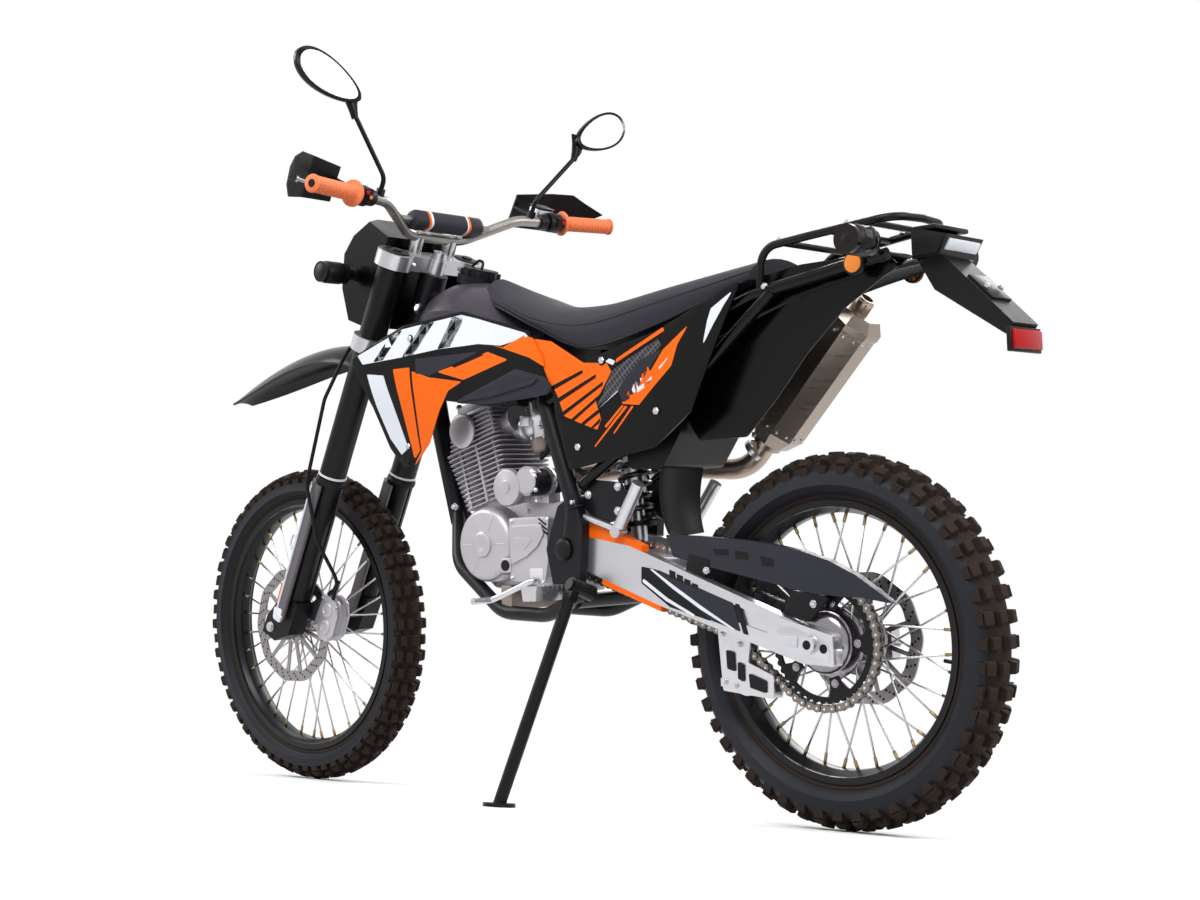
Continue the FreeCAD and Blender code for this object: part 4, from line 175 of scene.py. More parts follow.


# A lattice of thin bars over black, from the piece's own place in millimetres; the black between the bars is
# painted shade standing for the vent's dark openings
def latticeFinish(name):
    values = latticeValues
    material, tree, shader = newMaterial(name)
    where = addNode(tree, "ShaderNodeAttribute", {"attribute_name": "place"})
    parts = addNode(tree, "ShaderNodeSeparateXYZ", {}, {"Vector": where.outputs["Vector"]})
    bars = []
    for slope in values["slopes"]:
        leant = addNode(tree, "ShaderNodeMath", {"operation": "MULTIPLY_ADD", 1: slope},
                        {0: parts.outputs["X"], 2: parts.outputs["Z"]})
        swing = addNode(tree, "ShaderNodeMath", {"operation": "PINGPONG", 1: values["spacing"] / 2},
                        {0: leant.outputs["Value"]})
        bars.append(addNode(tree, "ShaderNodeMath", {"operation": "LESS_THAN", 1: values["half"]},
                            {0: swing.outputs["Value"]}))
    either = addNode(tree, "ShaderNodeMath", {"operation": "MAXIMUM"},
                     {0: bars[0].outputs["Value"], 1: bars[1].outputs["Value"]})
    mix = addNode(tree, "ShaderNodeMix", {"data_type": "RGBA"}, {"Factor": either.outputs["Value"]})
    # The node's colour sockets can only be told apart by number: 6 and 7 in, 2 out
    mix.inputs[6].default_value = linearColor(values["openingShade"])
    mix.inputs[7].default_value = linearColor(values["bar"])
    tree.links.new(mix.outputs[2], shader.inputs["Base Color"])
    shader.inputs["Roughness"].default_value = values["rough"]
    return material


finishes["ventMesh"] = latticeFinish("moulded vent lattice")
print("materials made")


# Mesh helpers: shapes are built in millimetres, then moved into metres in the frame

def finished(bm, name, matrix, body, finish, replacing=(), smooth=40):
    bmesh.ops.recalc_face_normals(bm, faces=bm.faces)
    mesh = bpy.data.meshes.new(name)
    bm.to_mesh(mesh)
    bm.free()
    kept = mesh.attributes.new("place", "FLOAT_VECTOR", "POINT")
    kept.data.foreach_set("vector", [part for vertex in mesh.vertices for part in vertex.co])
    mesh.transform(matrix)
    for one in (finish if isinstance(finish, (list, tuple)) else [finish]):
        mesh.materials.append(finishes[one])
    piece = bpy.data.objects.new(name, mesh)
    bpy.context.scene.collection.objects.link(piece)
    mesh.shade_smooth()
    mesh.set_sharp_from_angle(angle=math.radians(smooth))
    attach(piece, body)
    for node in replacing:
        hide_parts(node)
    return piece


# A profile of (radius, place along Y) turned about the Y axis
def lathe(bm, profile, steps, closed=True):
    points = [bm.verts.new((radius, along, 0)) for radius, along in profile]
    count = len(points)
    pairs = [(points[at], points[(at + 1) % count]) for at in range(count if closed else count - 1)]
    edges = [bm.edges.new(pair) for pair in pairs]
    bmesh.ops.spin(bm, geom=points + edges, cent=(0, 0, 0), axis=(0, 1, 0), angle=math.tau, steps=steps,
                   use_merge=True)


# The points of a bent path: straight runs joined by arcs
def bentPath(points, bend, steps=6):
    points = [Vector(point) for point in points]
    path = [points[0]]
    for before, corner, after in zip(points, points[1:], points[2:]):
        inward = (before - corner).normalized()
        outward = (after - corner).normalized()
        turn = math.pi - inward.angle(outward)
        if turn < 0.02:
            path.append(corner)
            continue
        room = 0.48 * min((before - corner).length, (after - corner).length)
        radius = min(bend, room / math.tan(turn / 2))
        setback = radius * math.tan(turn / 2)
        centre = corner + (inward + outward).normalized() * (radius / math.cos(turn / 2))
        start = corner + inward * setback - centre
        axis = start.cross(corner + outward * setback - centre).normalized()
        for step in range(steps + 1):
            path.append(centre + Matrix.Rotation(turn * step / steps, 3, axis) @ start)
    path.append(points[-1])
    return path


# A closed section of (across, up) points swept along a path, turning as little as it can
def sweep(bm, path, section, scales=None, up=(0, 0, 1), material=0):
    rings = []
    direction = (path[1] - path[0]).normalized()
    across = direction.cross(Vector(up))
    across = across.normalized() if across.length > 0.01 else direction.orthogonal().normalized()
    for at, point in enumerate(path):
        onward = path[min(at + 1, len(path) - 1)] - path[max(at - 1, 0)]
        direction = onward.normalized()
        across = (across - direction * across.dot(direction)).normalized()
        upward = across.cross(direction)
        scale = scales[at] if scales else 1
        rings.append([bm.verts.new(point + across * x * scale + upward * y * scale) for x, y in section])
    count = len(section)
    for one, two in zip(rings, rings[1:]):
        for at in range(count):
            face = bm.faces.new((one[at], one[(at + 1) % count], two[(at + 1) % count], two[at]))
            face.material_index = material
    for ring in (rings[0][::-1], rings[-1]):
        bm.faces.new(ring).material_index = material


def roundSection(radius, steps=16):
    return [(radius * math.cos(math.tau * at / steps), radius * math.sin(math.tau * at / steps))
            for at in range(steps)]


def addTube(bm, points, radius, bend=0, steps=16, material=0):
    path = bentPath(points, bend) if bend else [Vector(point) for point in points]
    sweep(bm, path, roundSection(radius, steps), material=material)


# A rod with softened ends
def addRod(bm, start, end, radius, steps=20, soft=0.6, material=0):
    start, end = Vector(start), Vector(end)
    along = (end - start).normalized()
    soft = min(soft, radius * 0.4, (end - start).length * 0.4)
    path = [start, start + along * soft, end - along * soft, end]
    less = (radius - soft) / radius
    sweep(bm, path, roundSection(radius, steps), scales=[less, 1, 1, less], material=material)


def addBox(bm, centre, size, turn=None, bevel=1.0, material=0):
    made = bmesh.ops.create_cube(bm, size=1)["verts"]
    bmesh.ops.scale(bm, vec=Vector(size), verts=made)
    if bevel:
        edges = list({edge for vertex in made for edge in vertex.link_edges})
        made = bmesh.ops.bevel(bm, geom=edges, offset=bevel, segments=2, profile=0.5, affect="EDGES",
                               material=-1)["verts"]
    if turn:
        bmesh.ops.rotate(bm, verts=made, matrix=turn.to_3x3())
    bmesh.ops.translate(bm, vec=Vector(centre), verts=made)
    for face in {face for vertex in made for face in vertex.link_faces}:
        face.material_index = material


# Adds a part mesh to a piece, moved and given its finish
def joinPart(bm, part, matrix=None, material=0):
    if matrix:
        bmesh.ops.transform(part, matrix=matrix, verts=part.verts)
    for face in part.faces:
        face.material_index = material
    carrier = bpy.data.meshes.new("carrier")
    part.to_mesh(carrier)
    part.free()
    bm.from_mesh(carrier)
    bpy.data.meshes.remove(carrier)


# A flat outline whose corners are rounded
def roundedOutline(points, radius, steps=3):
    points = [Vector(point) for point in points]
    if not radius:
        return points
    rounded = []
    for at, corner in enumerate(points):
        before = points[at - 1] - corner
        after = points[(at + 1) % len(points)] - corner
        setback = min(radius / math.tan(before.angle(after) / 2), 0.45 * before.length, 0.45 * after.length)
        start = corner + before.normalized() * setback
        end = corner + after.normalized() * setback
        for share in (step / steps for step in range(steps + 1)):
            rounded.append(start * (1 - share) ** 2 + corner * 2 * share * (1 - share) + end * share ** 2)
    return rounded


# A plate with an outline in (x, z) between two places along Y, its rims softened
def addPlate(bm, outline, low, high, radius=0, bevel=0.8, matrix=None, material=0):
    part = bmesh.new()
    face = part.faces.new([part.verts.new((x, low, z)) for x, z in roundedOutline(outline, radius)])
    made = bmesh.ops.extrude_face_region(part, geom=[face], use_keep_orig=True)["geom"]
    raised = [one for one in made if isinstance(one, bmesh.types.BMVert)]
    bmesh.ops.translate(part, vec=(0, high - low, 0), verts=raised)
    if bevel:
        rims = [edge for edge in part.edges if abs(edge.verts[0].co.y - edge.verts[1].co.y) < 0.001]
        bmesh.ops.bevel(part, geom=rims, offset=bevel, segments=2, profile=0.6, affect="EDGES",
                        clamp_overlap=True)
    joinPart(bm, part, matrix, material)


# A turned part: a profile of (radius, along) on an axis that starts at a place
def addLathe(bm, profile, start, axis=(0, 1, 0), steps=48, closed=False, material=0):
    part = bmesh.new()
    lathe(part, profile, steps, closed)
    bmesh.ops.remove_doubles(part, verts=part.verts, dist=0.001)
    turn = Vector((0, 1, 0)).rotation_difference(Vector(axis)).to_matrix().to_4x4()
    joinPart(bm, part, Matrix.Translation(Vector(start)) @ turn, material)


def addBolt(bm, place, axis=(0, 1, 0), radius=6, height=5, material=0, washer=None):
    place, axis = Vector(place), Vector(axis).normalized()
    addRod(bm, place - axis * 3, place + axis * 1.2, radius * 1.35, steps=24, soft=0.3,
           material=material if washer is None else washer)
    addRod(bm, place, place + axis * height, radius, steps=6, soft=0.7, material=material)
    addRod(bm, place + axis * (height - 1), place + axis * (height + 0.4), radius * 0.5, steps=12, soft=0.3,
           material=material)


# Stations of a side skin are (x, half width at each height); the heights are blended over a short way
skinHeights = (600, 860, 1000)
skinBlend = 26


def skinAt(stations, x, z):
    x = min(max(x, stations[0][0]), stations[-1][0])
    for one, two in zip(stations, stations[1:]):
        if x <= two[0]:
            share = (x - one[0]) / (two[0] - one[0])
            halves = [a + (b - a) * share for a, b in zip(one[1:], two[1:])]
            break
    total = 0
    for height in (z - skinBlend, z, z + skinBlend):
        low = 1 if height > skinHeights[1] else 0
        share = (height - skinHeights[low]) / (skinHeights[low + 1] - skinHeights[low])
        total += halves[low] + (halves[low + 1] - halves[low]) * share
    return total / 3


# An outline in (x, z) laid on a side skin, standing proud of it by raised and running inwards by thick
def addSkin(bm, outline, stations, side, raised=0.0, thick=4.0, radius=0, step=18, bevel=0.0, material=0):
    part = bmesh.new()
    points = roundedOutline(outline, radius)
    part.faces.new([part.verts.new((x, 0, z)) for x, z in points])
    for axis in (0, 1):
        normal = ((1, 0, 0), (0, 0, 1))[axis]
        low = min(point[axis] for point in points)
        high = max(point[axis] for point in points)
        for cut in range(int(low // step) + 1, int(high // step) + 1):
            everything = list(part.verts) + list(part.edges) + list(part.faces)
            bmesh.ops.bisect_plane(part, geom=everything, plane_co=Vector(normal) * cut * step,
                                   plane_no=normal)
    for vertex in part.verts:
        vertex.co.y = skinAt(stations, vertex.co.x, vertex.co.z) + raised
    made = bmesh.ops.extrude_face_region(part, geom=list(part.faces), use_keep_orig=True)["geom"]
    inner = [one for one in made if isinstance(one, bmesh.types.BMVert)]
    bmesh.ops.translate(part, vec=(0, -thick, 0), verts=inner)
    if bevel:
        bmesh.ops.recalc_face_normals(part, faces=part.faces)
        rims = [edge for edge in part.edges if len(edge.link_faces) == 2 and edge.calc_face_angle() > 1.1]
        bmesh.ops.bevel(part, geom=rims, offset=bevel, segments=2, profile=0.6, affect="EDGES",
                        clamp_overlap=True)
    joinPart(bm, part, Matrix.Scale(side, 4, (0, 1, 0)), material)


# Sections of equal count joined into a closed body; each is a list of points
def addLoft(bm, sections, material=0):
    rings = [[bm.verts.new(point) for point in section] for section in sections]
    count = len(sections[0])
    for one, two in zip(rings, rings[1:]):
        for at in range(count):
            bm.faces.new((one[at], one[(at + 1) % count], two[(at + 1) % count],
                          two[at])).material_index = material
    for ring in (rings[0][::-1], rings[-1]):
        bm.faces.new(ring).material_index = material


# Values between stations by a smooth curve through them
def smoothStations(stations, parts):
    made = []
    for at in range(len(stations) - 1):
        four = [stations[min(max(at + step, 0), len(stations) - 1)] for step in (-1, 0, 1, 2)]
        for part in range(parts):
            share = part / parts
            made.append([0.5 * (2 * b + (c - a) * share + (2 * a - 5 * b + 4 * c - d) * share ** 2
                                + (3 * b - a - 3 * c + d) * share ** 3) for a, b, c, d in zip(*four)])
    return made + [list(stations[-1])]


# The slot of a finish in a piece's list, which it joins when it is new
def slotOf(names, finish):
    if finish not in names:
        names.append(finish)
    return names.index(finish)


def mirrored(side, place):
    return Vector((place[0], place[1] * side, place[2]))


# A direction and two more at right angles to it
def axesOf(way):
    along = Vector(way).normalized()
    side = along.cross(Vector((0, 1, 0))).normalized()
    return along, side, along.cross(side)


# Places on a circle about the Z axis or the Y axis; angles are (first, step, count) in degrees
def ringPlaces(centre, reach, angles, axis):
    first, step, count = angles
    places = []
    for turn in (math.radians(first + step * at) for at in range(count)):
        swing = (math.cos(turn), math.sin(turn), 0) if axis[2] else (math.cos(turn), 0, math.sin(turn))
        places.append(Vector(centre) + Vector(swing) * reach)
    return places


# Adds the parts of a piece from rows of kind, finish and measures:
#   turned: profile, place, axis, steps and "closed" when its profile is a loop
#   rod: start, end, radius, steps; tube: points, radius, bend, steps
#   box: centre, size, bevel, lean; plate: outline, low, high, corner radius, bevel
#   bolts: places, axis, radius, height, washer's finish; ring: centre, reach, angles and then as bolts
# Places and axes are mirrored for side -1; spot turns other kinds of place into the piece's own
def addRows(bm, names, rows, sides=(1,), spot=mirrored):
    for kind, finish, *row in rows.values():
        material = slotOf(names, finish)
        for side in sides:
            if kind == "turned":
                profile, place, axis, steps, *closed = row
                addLathe(bm, profile, spot(side, place), mirrored(side, axis), steps, bool(closed), material)
            elif kind == "rod":
                start, end, radius, steps = row
                addRod(bm, spot(side, start), spot(side, end), radius, steps, material=material)
            elif kind == "tube":
                points, radius, bend, steps = row
                addTube(bm, [spot(side, point) for point in points], radius, bend, steps, material)
            elif kind == "box":
                centre, size, bevel, *lean = row
                turn = Matrix.Rotation(math.radians(lean[0]), 4, "Y") if lean else None
                addBox(bm, spot(side, centre), size, turn, bevel, material)
            elif kind == "plate":
                outline, low, high, radius, bevel = row
                low, high = sorted((low * side, high * side))
                addPlate(bm, outline, low, high, radius, bevel, material=material)
            else:
                if kind == "ring":
                    places = ringPlaces(*row[:4])
                    axis, radius, height, *washer = row[3:]
                else:
                    places, axis, radius, height, *washer = row
                for place in places:
                    addBolt(bm, spot(side, place), mirrored(side, axis), radius, height, material,
                            slotOf(names, washer[0]) if washer else None)


# A piece that is made of rows alone
def makeFromRows(name, rows, matrix, body, replacing=(), sides=(1,), smooth=35):
    names = []
    bm = bmesh.new()
    addRows(bm, names, rows, sides)
    finished(bm, name, matrix, body, names, replacing, smooth)


# Wheels

wheelValues = {
    "front": {"radius": 348, "halfTread": 35.3, "drop": 11.8, "halfWidth": 42, "rim": 281, "rimWidth": 54,
              "knob": 13, "rows": 60, "phase": 1, "hub": 19, "flange": 30, "span": 62, "hubWidth": 124,
              "axle": 10},
    "rear": {"radius": 325, "halfTread": 42, "drop": 14, "halfWidth": 50, "rim": 243, "rimWidth": 66,
             "knob": 13, "rows": 48, "phase": 0, "hub": 34, "flange": 62, "span": 70, "hubWidth": 148,
             "axle": 10},
    # across as a share of the tread's angle, length along the tread and width across it
    "middleRow": [(-0.80, 22, 15), (0.0, 24, 22), (0.80, 22, 15)],
    "shoulderRow": [(-1.0, 24, 17), (-0.38, 22, 16), (0.38, 22, 16), (1.0, 24, 17)],
    "shoulder": 0.7, "rib": {"wide": 21, "long": 26, "thick": 10, "narrowing": 0.45, "tip": 0.3},
    "block": {"sunk": 4, "clear": 0.35, "bevel": 0.9, "foot": 1.08, "topWide": 0.86, "topLong": 0.84},
    "spokes": {"pairs": 18, "lean": 1.7, "apart": 2.6, "radius": 1.9, "nipple": 3.1, "nippleLength": 20,
               "head": 3.0},
    "hubSeat": 57.7,
}


# One tread block, tapering upwards, with its rib down the sidewall when it stands on the shoulder
def addKnob(bm, values, angle, share, length, wide, crown, spread):
    knob, centre = values["knob"], values["radius"] - crown
    block, deep = wheelValues["block"], values["knob"] + wheelValues["block"]["sunk"]
    made = bmesh.ops.create_cube(bm, size=1)["verts"]
    for vertex in made:
        top = vertex.co.x > 0
        across, along = (block["topWide"], block["topLong"]) if top else (block["foot"], block["foot"])
        vertex.co = Vector((vertex.co.x * deep, vertex.co.y * wide * across, vertex.co.z * length * along))
    edges = list({edge for vertex in made for edge in vertex.link_edges})
    made = bmesh.ops.bevel(bm, geom=edges, offset=block["bevel"], segments=1, profile=0.5, affect="EDGES",
                           material=-1)["verts"]
    bmesh.ops.translate(bm, vec=(crown - deep / 2 - block["clear"], 0, 0), verts=made)
    bmesh.ops.rotate(bm, verts=made, matrix=Matrix.Rotation(spread * share, 3, "Z"))
    bmesh.ops.translate(bm, vec=(centre, 0, 0), verts=made)
    bmesh.ops.rotate(bm, verts=made, matrix=Matrix.Rotation(angle, 3, "Y"))
    if abs(share) < wheelValues["shoulder"]:
        return
    side = 1 if share > 0 else -1
    shape = wheelValues["rib"]
    top = values["radius"] - values["drop"] - knob * 0.75
    foot = values["halfWidth"] * 0.93 - 8
    rib = []
    for radial, half, thick in ((top, shape["wide"] / 2, shape["thick"]),
                                (top - shape["long"], shape["wide"] / 2 * shape["narrowing"],
                                 7 + shape["tip"])):
        for along in (-half, half):
            rib.append(bm.verts.new((radial, side * foot, along)))
            rib.append(bm.verts.new((radial, side * (foot + thick), along)))
    for order in ((0, 1, 3, 2), (4, 6, 7, 5), (0, 4, 5, 1), (1, 5, 7, 3), (3, 7, 6, 2), (2, 6, 4, 0)):
        bm.faces.new([rib[corner] for corner in order])
    bmesh.ops.rotate(bm, verts=rib, matrix=Matrix.Rotation(angle, 3, "Y"))


def makeTyre(end, matrix):
    values = wheelValues[end]
    half, drop, knob = values["halfTread"], values["drop"], values["knob"]
    crown = (half * half + drop * drop) / drop / 2
    spread = math.asin(half / crown)
    base = crown - knob
    centre = values["radius"] - crown
    rim, rimHalf, width = values["rim"], values["rimWidth"] / 2, values["halfWidth"]
    tread = [(centre + base * math.cos(spread * share), base * math.sin(spread * share))
             for share in (-1.12, -0.8, -0.4, 0, 0.4, 0.8, 1.12)]
    wallLow = rim + (tread[0][0] - rim) * 0.5
    side = [(rim - 8, rimHalf - 5), (rim + 1, rimHalf - 3), (rim + 6, rimHalf + 1), (rim + 9, rimHalf + 0.5),
            (rim + 16, width * 0.86), (wallLow - 4, width * 0.94), (wallLow - 3, width * 0.965),
            (wallLow - 1.5, width * 0.965), (wallLow, width * 0.95), (wallLow + 14, width * 0.955),
            (tread[-1][0] - 6, width * 0.88)]
    bm = bmesh.new()
    profile = [(radius, -along) for radius, along in side] + tread + side[::-1]
    lathe(bm, profile, 120)
    for face in bm.faces:
        face.material_index = 0 if face.calc_center_median().y ** 2 < (half * 0.86) ** 2 else 1
    for row in range(values["rows"]):
        angle = math.tau * row / values["rows"]
        kind = "shoulderRow" if (row + values["phase"]) % 2 else "middleRow"
        for share, length, wide in wheelValues[kind]:
            addKnob(bm, values, angle, share, length, wide * half / 40, crown, spread)
    finished(bm, f"{end}_knobbly_tyre", matrix, f"{end}_wheel", ["knobRubber", "sideRubber"],
             [f"{end}_tyre"], smooth=35)


def makeRim(end, matrix):
    values = wheelValues[end]
    rim, half = values["rim"], values["rimWidth"] / 2
    outer = [(rim - 0.6, half), (rim - 0.2, half - 1.8), (rim - 0.6, half - 3.5), (rim - 9, half - 6.5),
             (rim - 11, half - 12), (rim - 17, 9)]
    inner = [(rim - 23, 8), (rim - 22, 12), (rim - 14, half - 7), (rim - 12.5, half - 3), (rim - 12.5, half)]
    profile = outer + [(radius, -along) for radius, along in outer[::-1]]
    profile += [(radius, -along) for radius, along in inner[::-1]] + inner
    bm = bmesh.new()
    lathe(bm, profile, 144)
    finished(bm, f"{end}_rolled_rim", matrix, f"{end}_wheel", "blackRim", [f"{end}_rim"], smooth=30)


def makeHub(end, matrix):
    values = wheelValues[end]
    hub, flange, half = values["hub"], values["flange"], values["span"] / 2
    seat = wheelValues["hubSeat"]
    side = [(hub, half - 9), (hub + 4, half - 5), (flange - 2, half - 3.5), (flange, half - 2),
            (flange, half + 2), (flange - 2, half + 3.5), (hub + 5, half + 6), (hub, half + 10), (hub, seat),
            (hub * 0.75, seat), (hub * 0.75, values["hubWidth"] / 2 - 1),
            (hub * 0.72, values["hubWidth"] / 2), (values["axle"] + 0.4, values["hubWidth"] / 2)]
    profile = [(radius, -along) for radius, along in side[::-1]] + side
    bm = bmesh.new()
    lathe(bm, profile, 64)
    finished(bm, f"{end}_turned_hub", matrix, f"{end}_wheel", "hubAlloy", [f"{end}_hub"], smooth=30)


def makeSpokes(end, matrix):
    values, spokes = wheelValues[end], wheelValues["spokes"]
    pairs = spokes["pairs"]
    bm = bmesh.new()
    for at in range(pairs):
        side = 1 if at % 2 else -1
        middle = math.tau * at / pairs
        for way in bothSides:
            foot = middle + way * math.tau / pairs * spokes["lean"]
            tip = middle + way * math.pi / pairs / 2
            near = values["flange"] - 4
            across = side * values["span"] / 2 + way * spokes["apart"]
            start = Vector((near * math.cos(foot), across, near * math.sin(foot)))
            far = values["rim"] - 20
            finish = Vector((far * math.cos(tip), side * 5, far * math.sin(tip)))
            along = (finish - start).normalized()
            addRod(bm, start, finish, spokes["radius"], steps=8, soft=0.3)
            addRod(bm, finish - along * spokes["nippleLength"], finish, spokes["nipple"], steps=8, soft=0.8,
                   material=1)
            addRod(bm, start - Vector((0, way * 2.5, 0)), start + Vector((0, way * 1.5, 0)), spokes["head"],
                   steps=8)
    finished(bm, f"{end}_spokes", matrix, f"{end}_wheel", ["spokeSteel", "nippleBrass"], smooth=50)


for wheelEnd, wheelMatrix in (("front", frontWheelFrame), ("rear", rearWheelFrame)):
    makeTyre(wheelEnd, wheelMatrix)
    makeRim(wheelEnd, wheelMatrix)
    makeHub(wheelEnd, wheelMatrix)
    makeSpokes(wheelEnd, wheelMatrix)
print("wheels made")


# Chain

chainValues = {"pitch": 15.875, "middle": 64, "inner": 3.6, "outer": 6.2, "half": 8.2, "roller": 5.0,
               "pin": 2.4, "height": 7.0, "rear": (0, 325, 111.26), "front": (605, 503, 33.17),
               "guide": (178, 330)}


# Where a line from a point touches a circle, on the side that sign tells
def touchAngle(x, z, radius, point, sign):
    away = Vector(point) - Vector((x, z))
    return math.atan2(away.y, away.x) + sign * math.acos(radius / away.length)


def chainRoute():
    rear, front, guide = (chainValues[key] for key in ("rear", "front", "guide"))
    reach = Vector((front[0] - rear[0], front[1] - rear[1]))
    upper = math.atan2(reach.y, reach.x) + math.acos((rear[2] - front[2]) / reach.length)
    route = []
    for (x, z, radius), start, end in ((rear, touchAngle(*rear, guide, -1), upper - math.tau),
                                       (front, upper, touchAngle(*front, guide, 1))):
        for step in range(61):
            turn = start + (end - start) * step / 60
            route.append(Vector((x + radius * math.cos(turn), z + radius * math.sin(turn))))
    return route + [Vector(guide), route[0]]


def linkOutline(pin, ahead, half):
    along = (ahead - pin).normalized()
    over = Vector((-along.y, along.x))
    outline = []
    for end, way in ((pin, -1), (ahead, 1)):
        for turn in (-90, -45, 0, 45, 90):
            turn = math.radians(turn)
            outline.append(end + (along * math.cos(turn) + over * math.sin(turn)) * way * half)
        outline.append((pin + ahead) / 2 + over * way * half * 0.62)
    return outline


def makeChain():
    route = chainRoute()
    lengths = [(two - one).length for one, two in zip(route, route[1:])]
    count = 2 * round(sum(lengths) / chainValues["pitch"] / 2)
    pins = []
    for link in range(count):
        left, at = sum(lengths) * link / count, 0
        while left > lengths[at]:
            left -= lengths[at]
            at += 1
        pins.append(route[at].lerp(route[at + 1], left / lengths[at]))
    bm = bmesh.new()
    middle, inner, half = chainValues["middle"], chainValues["inner"], chainValues["half"]
    for at, pin in enumerate(pins):
        outline = linkOutline(pin, pins[(at + 1) % count], chainValues["height"])
        wide = chainValues["outer"] if at % 2 else inner
        for side in bothSides:
            addPlate(bm, outline, middle + side * wide - 1, middle + side * wide + 1, bevel=0)
        for reach, radius in ((inner, chainValues["roller"]), (half, chainValues["pin"])):
            addRod(bm, (pin.x, middle - reach, pin.y), (pin.x, middle + reach, pin.y), radius, steps=8,
                   soft=0.4, material=1)
    x, z, radius = chainValues["front"]
    addLathe(bm, [(0, -3), (radius - 5, -3), (radius - 4, 0), (radius - 5, 3), (0, 3)], (x, middle, z),
             steps=32)
    finished(bm, "roller_chain", bikeFrame, "chassis", ["chainSteel", "silverAlloy"], ["drive_chain"],
             smooth=40)


makeChain()


# Bodywork: skins with their stripes, laid on the same side curves as the CAD panels

shroudValues = {
    "stations": [(520, 126, 132, 122), (760, 128, 148, 136), (920, 130, 172, 160), (1100, 135, 186, 180)],
    "outline": [(1070, 905), (925, 958), (775, 972), (600, 915), (550, 800), (700, 778), (830, 800),
                (885, 760), (955, 668), (990, 715), (1020, 800)],
    "paint": [
        ("whitePlastic", [(1050, 908), (925, 951), (777, 965), (735, 953), (612, 913), (602, 905),
                          (672, 894), (732, 903), (834, 902), (928, 894), (1035, 889)]),
        ("glossBlack", [(1006, 891), (978, 893), (925, 950), (958, 942)]),
        ("glossBlack", [(925, 894), (895, 897), (842, 960), (876, 956)]),
        ("glossBlack", [(835, 902), (804, 904), (765, 963), (800, 963)]),
        ("orangePlastic", [(700, 899), (664, 887), (600, 864), (563, 843), (566, 858), (592, 901),
                           (612, 908), (668, 890)]),
        ("slatePlastic", [(890, 888), (728, 888), (857, 851), (890, 858)]),
        ("orangePlastic", [(836, 857), (706, 885), (654, 865), (772, 836)]),
        ("orangePlastic", [(950, 872), (906, 872), (907, 705), (925, 690)]),
        ("orangePlastic", [(900, 864), (857, 848), (775, 833), (812, 818), (840, 782), (878, 718),
                           (934, 670), (902, 705)]),
        ("whitePlastic", [(1024, 868), (978, 862), (938, 712), (960, 700), (985, 735), (1008, 800)]),
    ],
    "stripes": [[(792, 862), (716, 880), (722, 882), (800, 866)]],
    "wing": [(806, 792), (632, 845), (562, 824), (545, 800), (560, 790), (700, 783)],
    "wingRidge": [(800, 794), (700, 806), (575, 822), (590, 812), (700, 796)],
    "bolts": [(936, 716), (905, 930)],
}
panelValues = {
    "stations": [(50, 110, 116, 108), (400, 120, 130, 122), (600, 124, 132, 124)],
    "outline": [(625, 905), (590, 850), (548, 800), (545, 745), (518, 645), (310, 675), (222, 735),
                (105, 952), (135, 944), (290, 884), (465, 845)],
    "paint": [
        ("orangePlastic", [(622, 902), (585, 898), (547, 890), (466, 842), (409, 836), (399, 820),
                           (441, 767), (431, 735), (442, 716), (464, 724), (488, 733), (522, 747),
                           (537, 788), (546, 803), (588, 850)]),
        ("orangePlastic", [(385, 842), (276, 888), (272, 882), (388, 834)]),
        ("whitePlastic", [(413, 839), (402, 844), (388, 838), (394, 831)]),
        ("slatePlastic", [(386, 783), (372, 800), (330, 835), (277, 850), (290, 838), (335, 790), (361, 764),
                          (376, 762)]),
        ("orangePlastic", [(277, 848), (217, 888), (244, 855), (260, 818), (313, 776), (339, 754),
                           (380, 759), (361, 781), (313, 822), (309, 811)]),
        ("whitePlastic", [(360, 784), (333, 803), (328, 800), (343, 784), (319, 794), (251, 846), (316, 788),
                          (340, 777), (354, 777)]),
        ("orangePlastic", [(380, 756), (374, 756), (420, 718), (424, 721)]),
        ("orangePlastic", [(372, 755), (366, 753), (450, 684), (451, 687)]),
        ("orangePlastic", [(356, 754), (352, 752), (402, 705), (403, 708)]),
        ("whitePlastic", [(121, 937), (169, 910), (177, 890), (189, 846), (164, 882), (142, 912)]),
        ("whitePlastic", [(388, 781), (385, 785), (440, 752), (444, 750)]),
    ],
    "stripes": [[(549, 797), (549, 806), (469, 829), (469, 823)],
                [(540, 771), (538, 781), (437, 818), (437, 812)],
                [(530, 745), (526, 755), (421, 803), (421, 797)],
                [(510, 730), (505, 740), (420, 786), (424, 778)],
                [(484, 722), (478, 732), (429, 757), (430, 749)],
                [(462, 714), (454, 723), (431, 738), (436, 728)]],
    "rightOutline": [(625, 905), (590, 850), (548, 800), (545, 745), (518, 715), (400, 745), (330, 765),
                     (250, 860), (135, 944), (290, 884), (465, 845)],
    "rightLowest": 745,
    "vent": [(396, 822), (360, 838), (288, 868), (280, 856), (312, 832), (341, 812), (374, 790), (386, 784),
             (428, 764), (440, 758)],
    "bolts": {1: [(492, 687), (420, 842), (300, 740)], -1: [(420, 842)]},
}


def addSkinBolt(bm, stations, side, place, radius, sunk):
    x, z = place
    half = skinAt(stations, x, z)
    addBolt(bm, (x, side * half, z), (0, side, 0), radius, 4, material=4, washer=0)
    addRod(bm, (x, side * (half - sunk), z), (x, side * half, z), 6, steps=12)


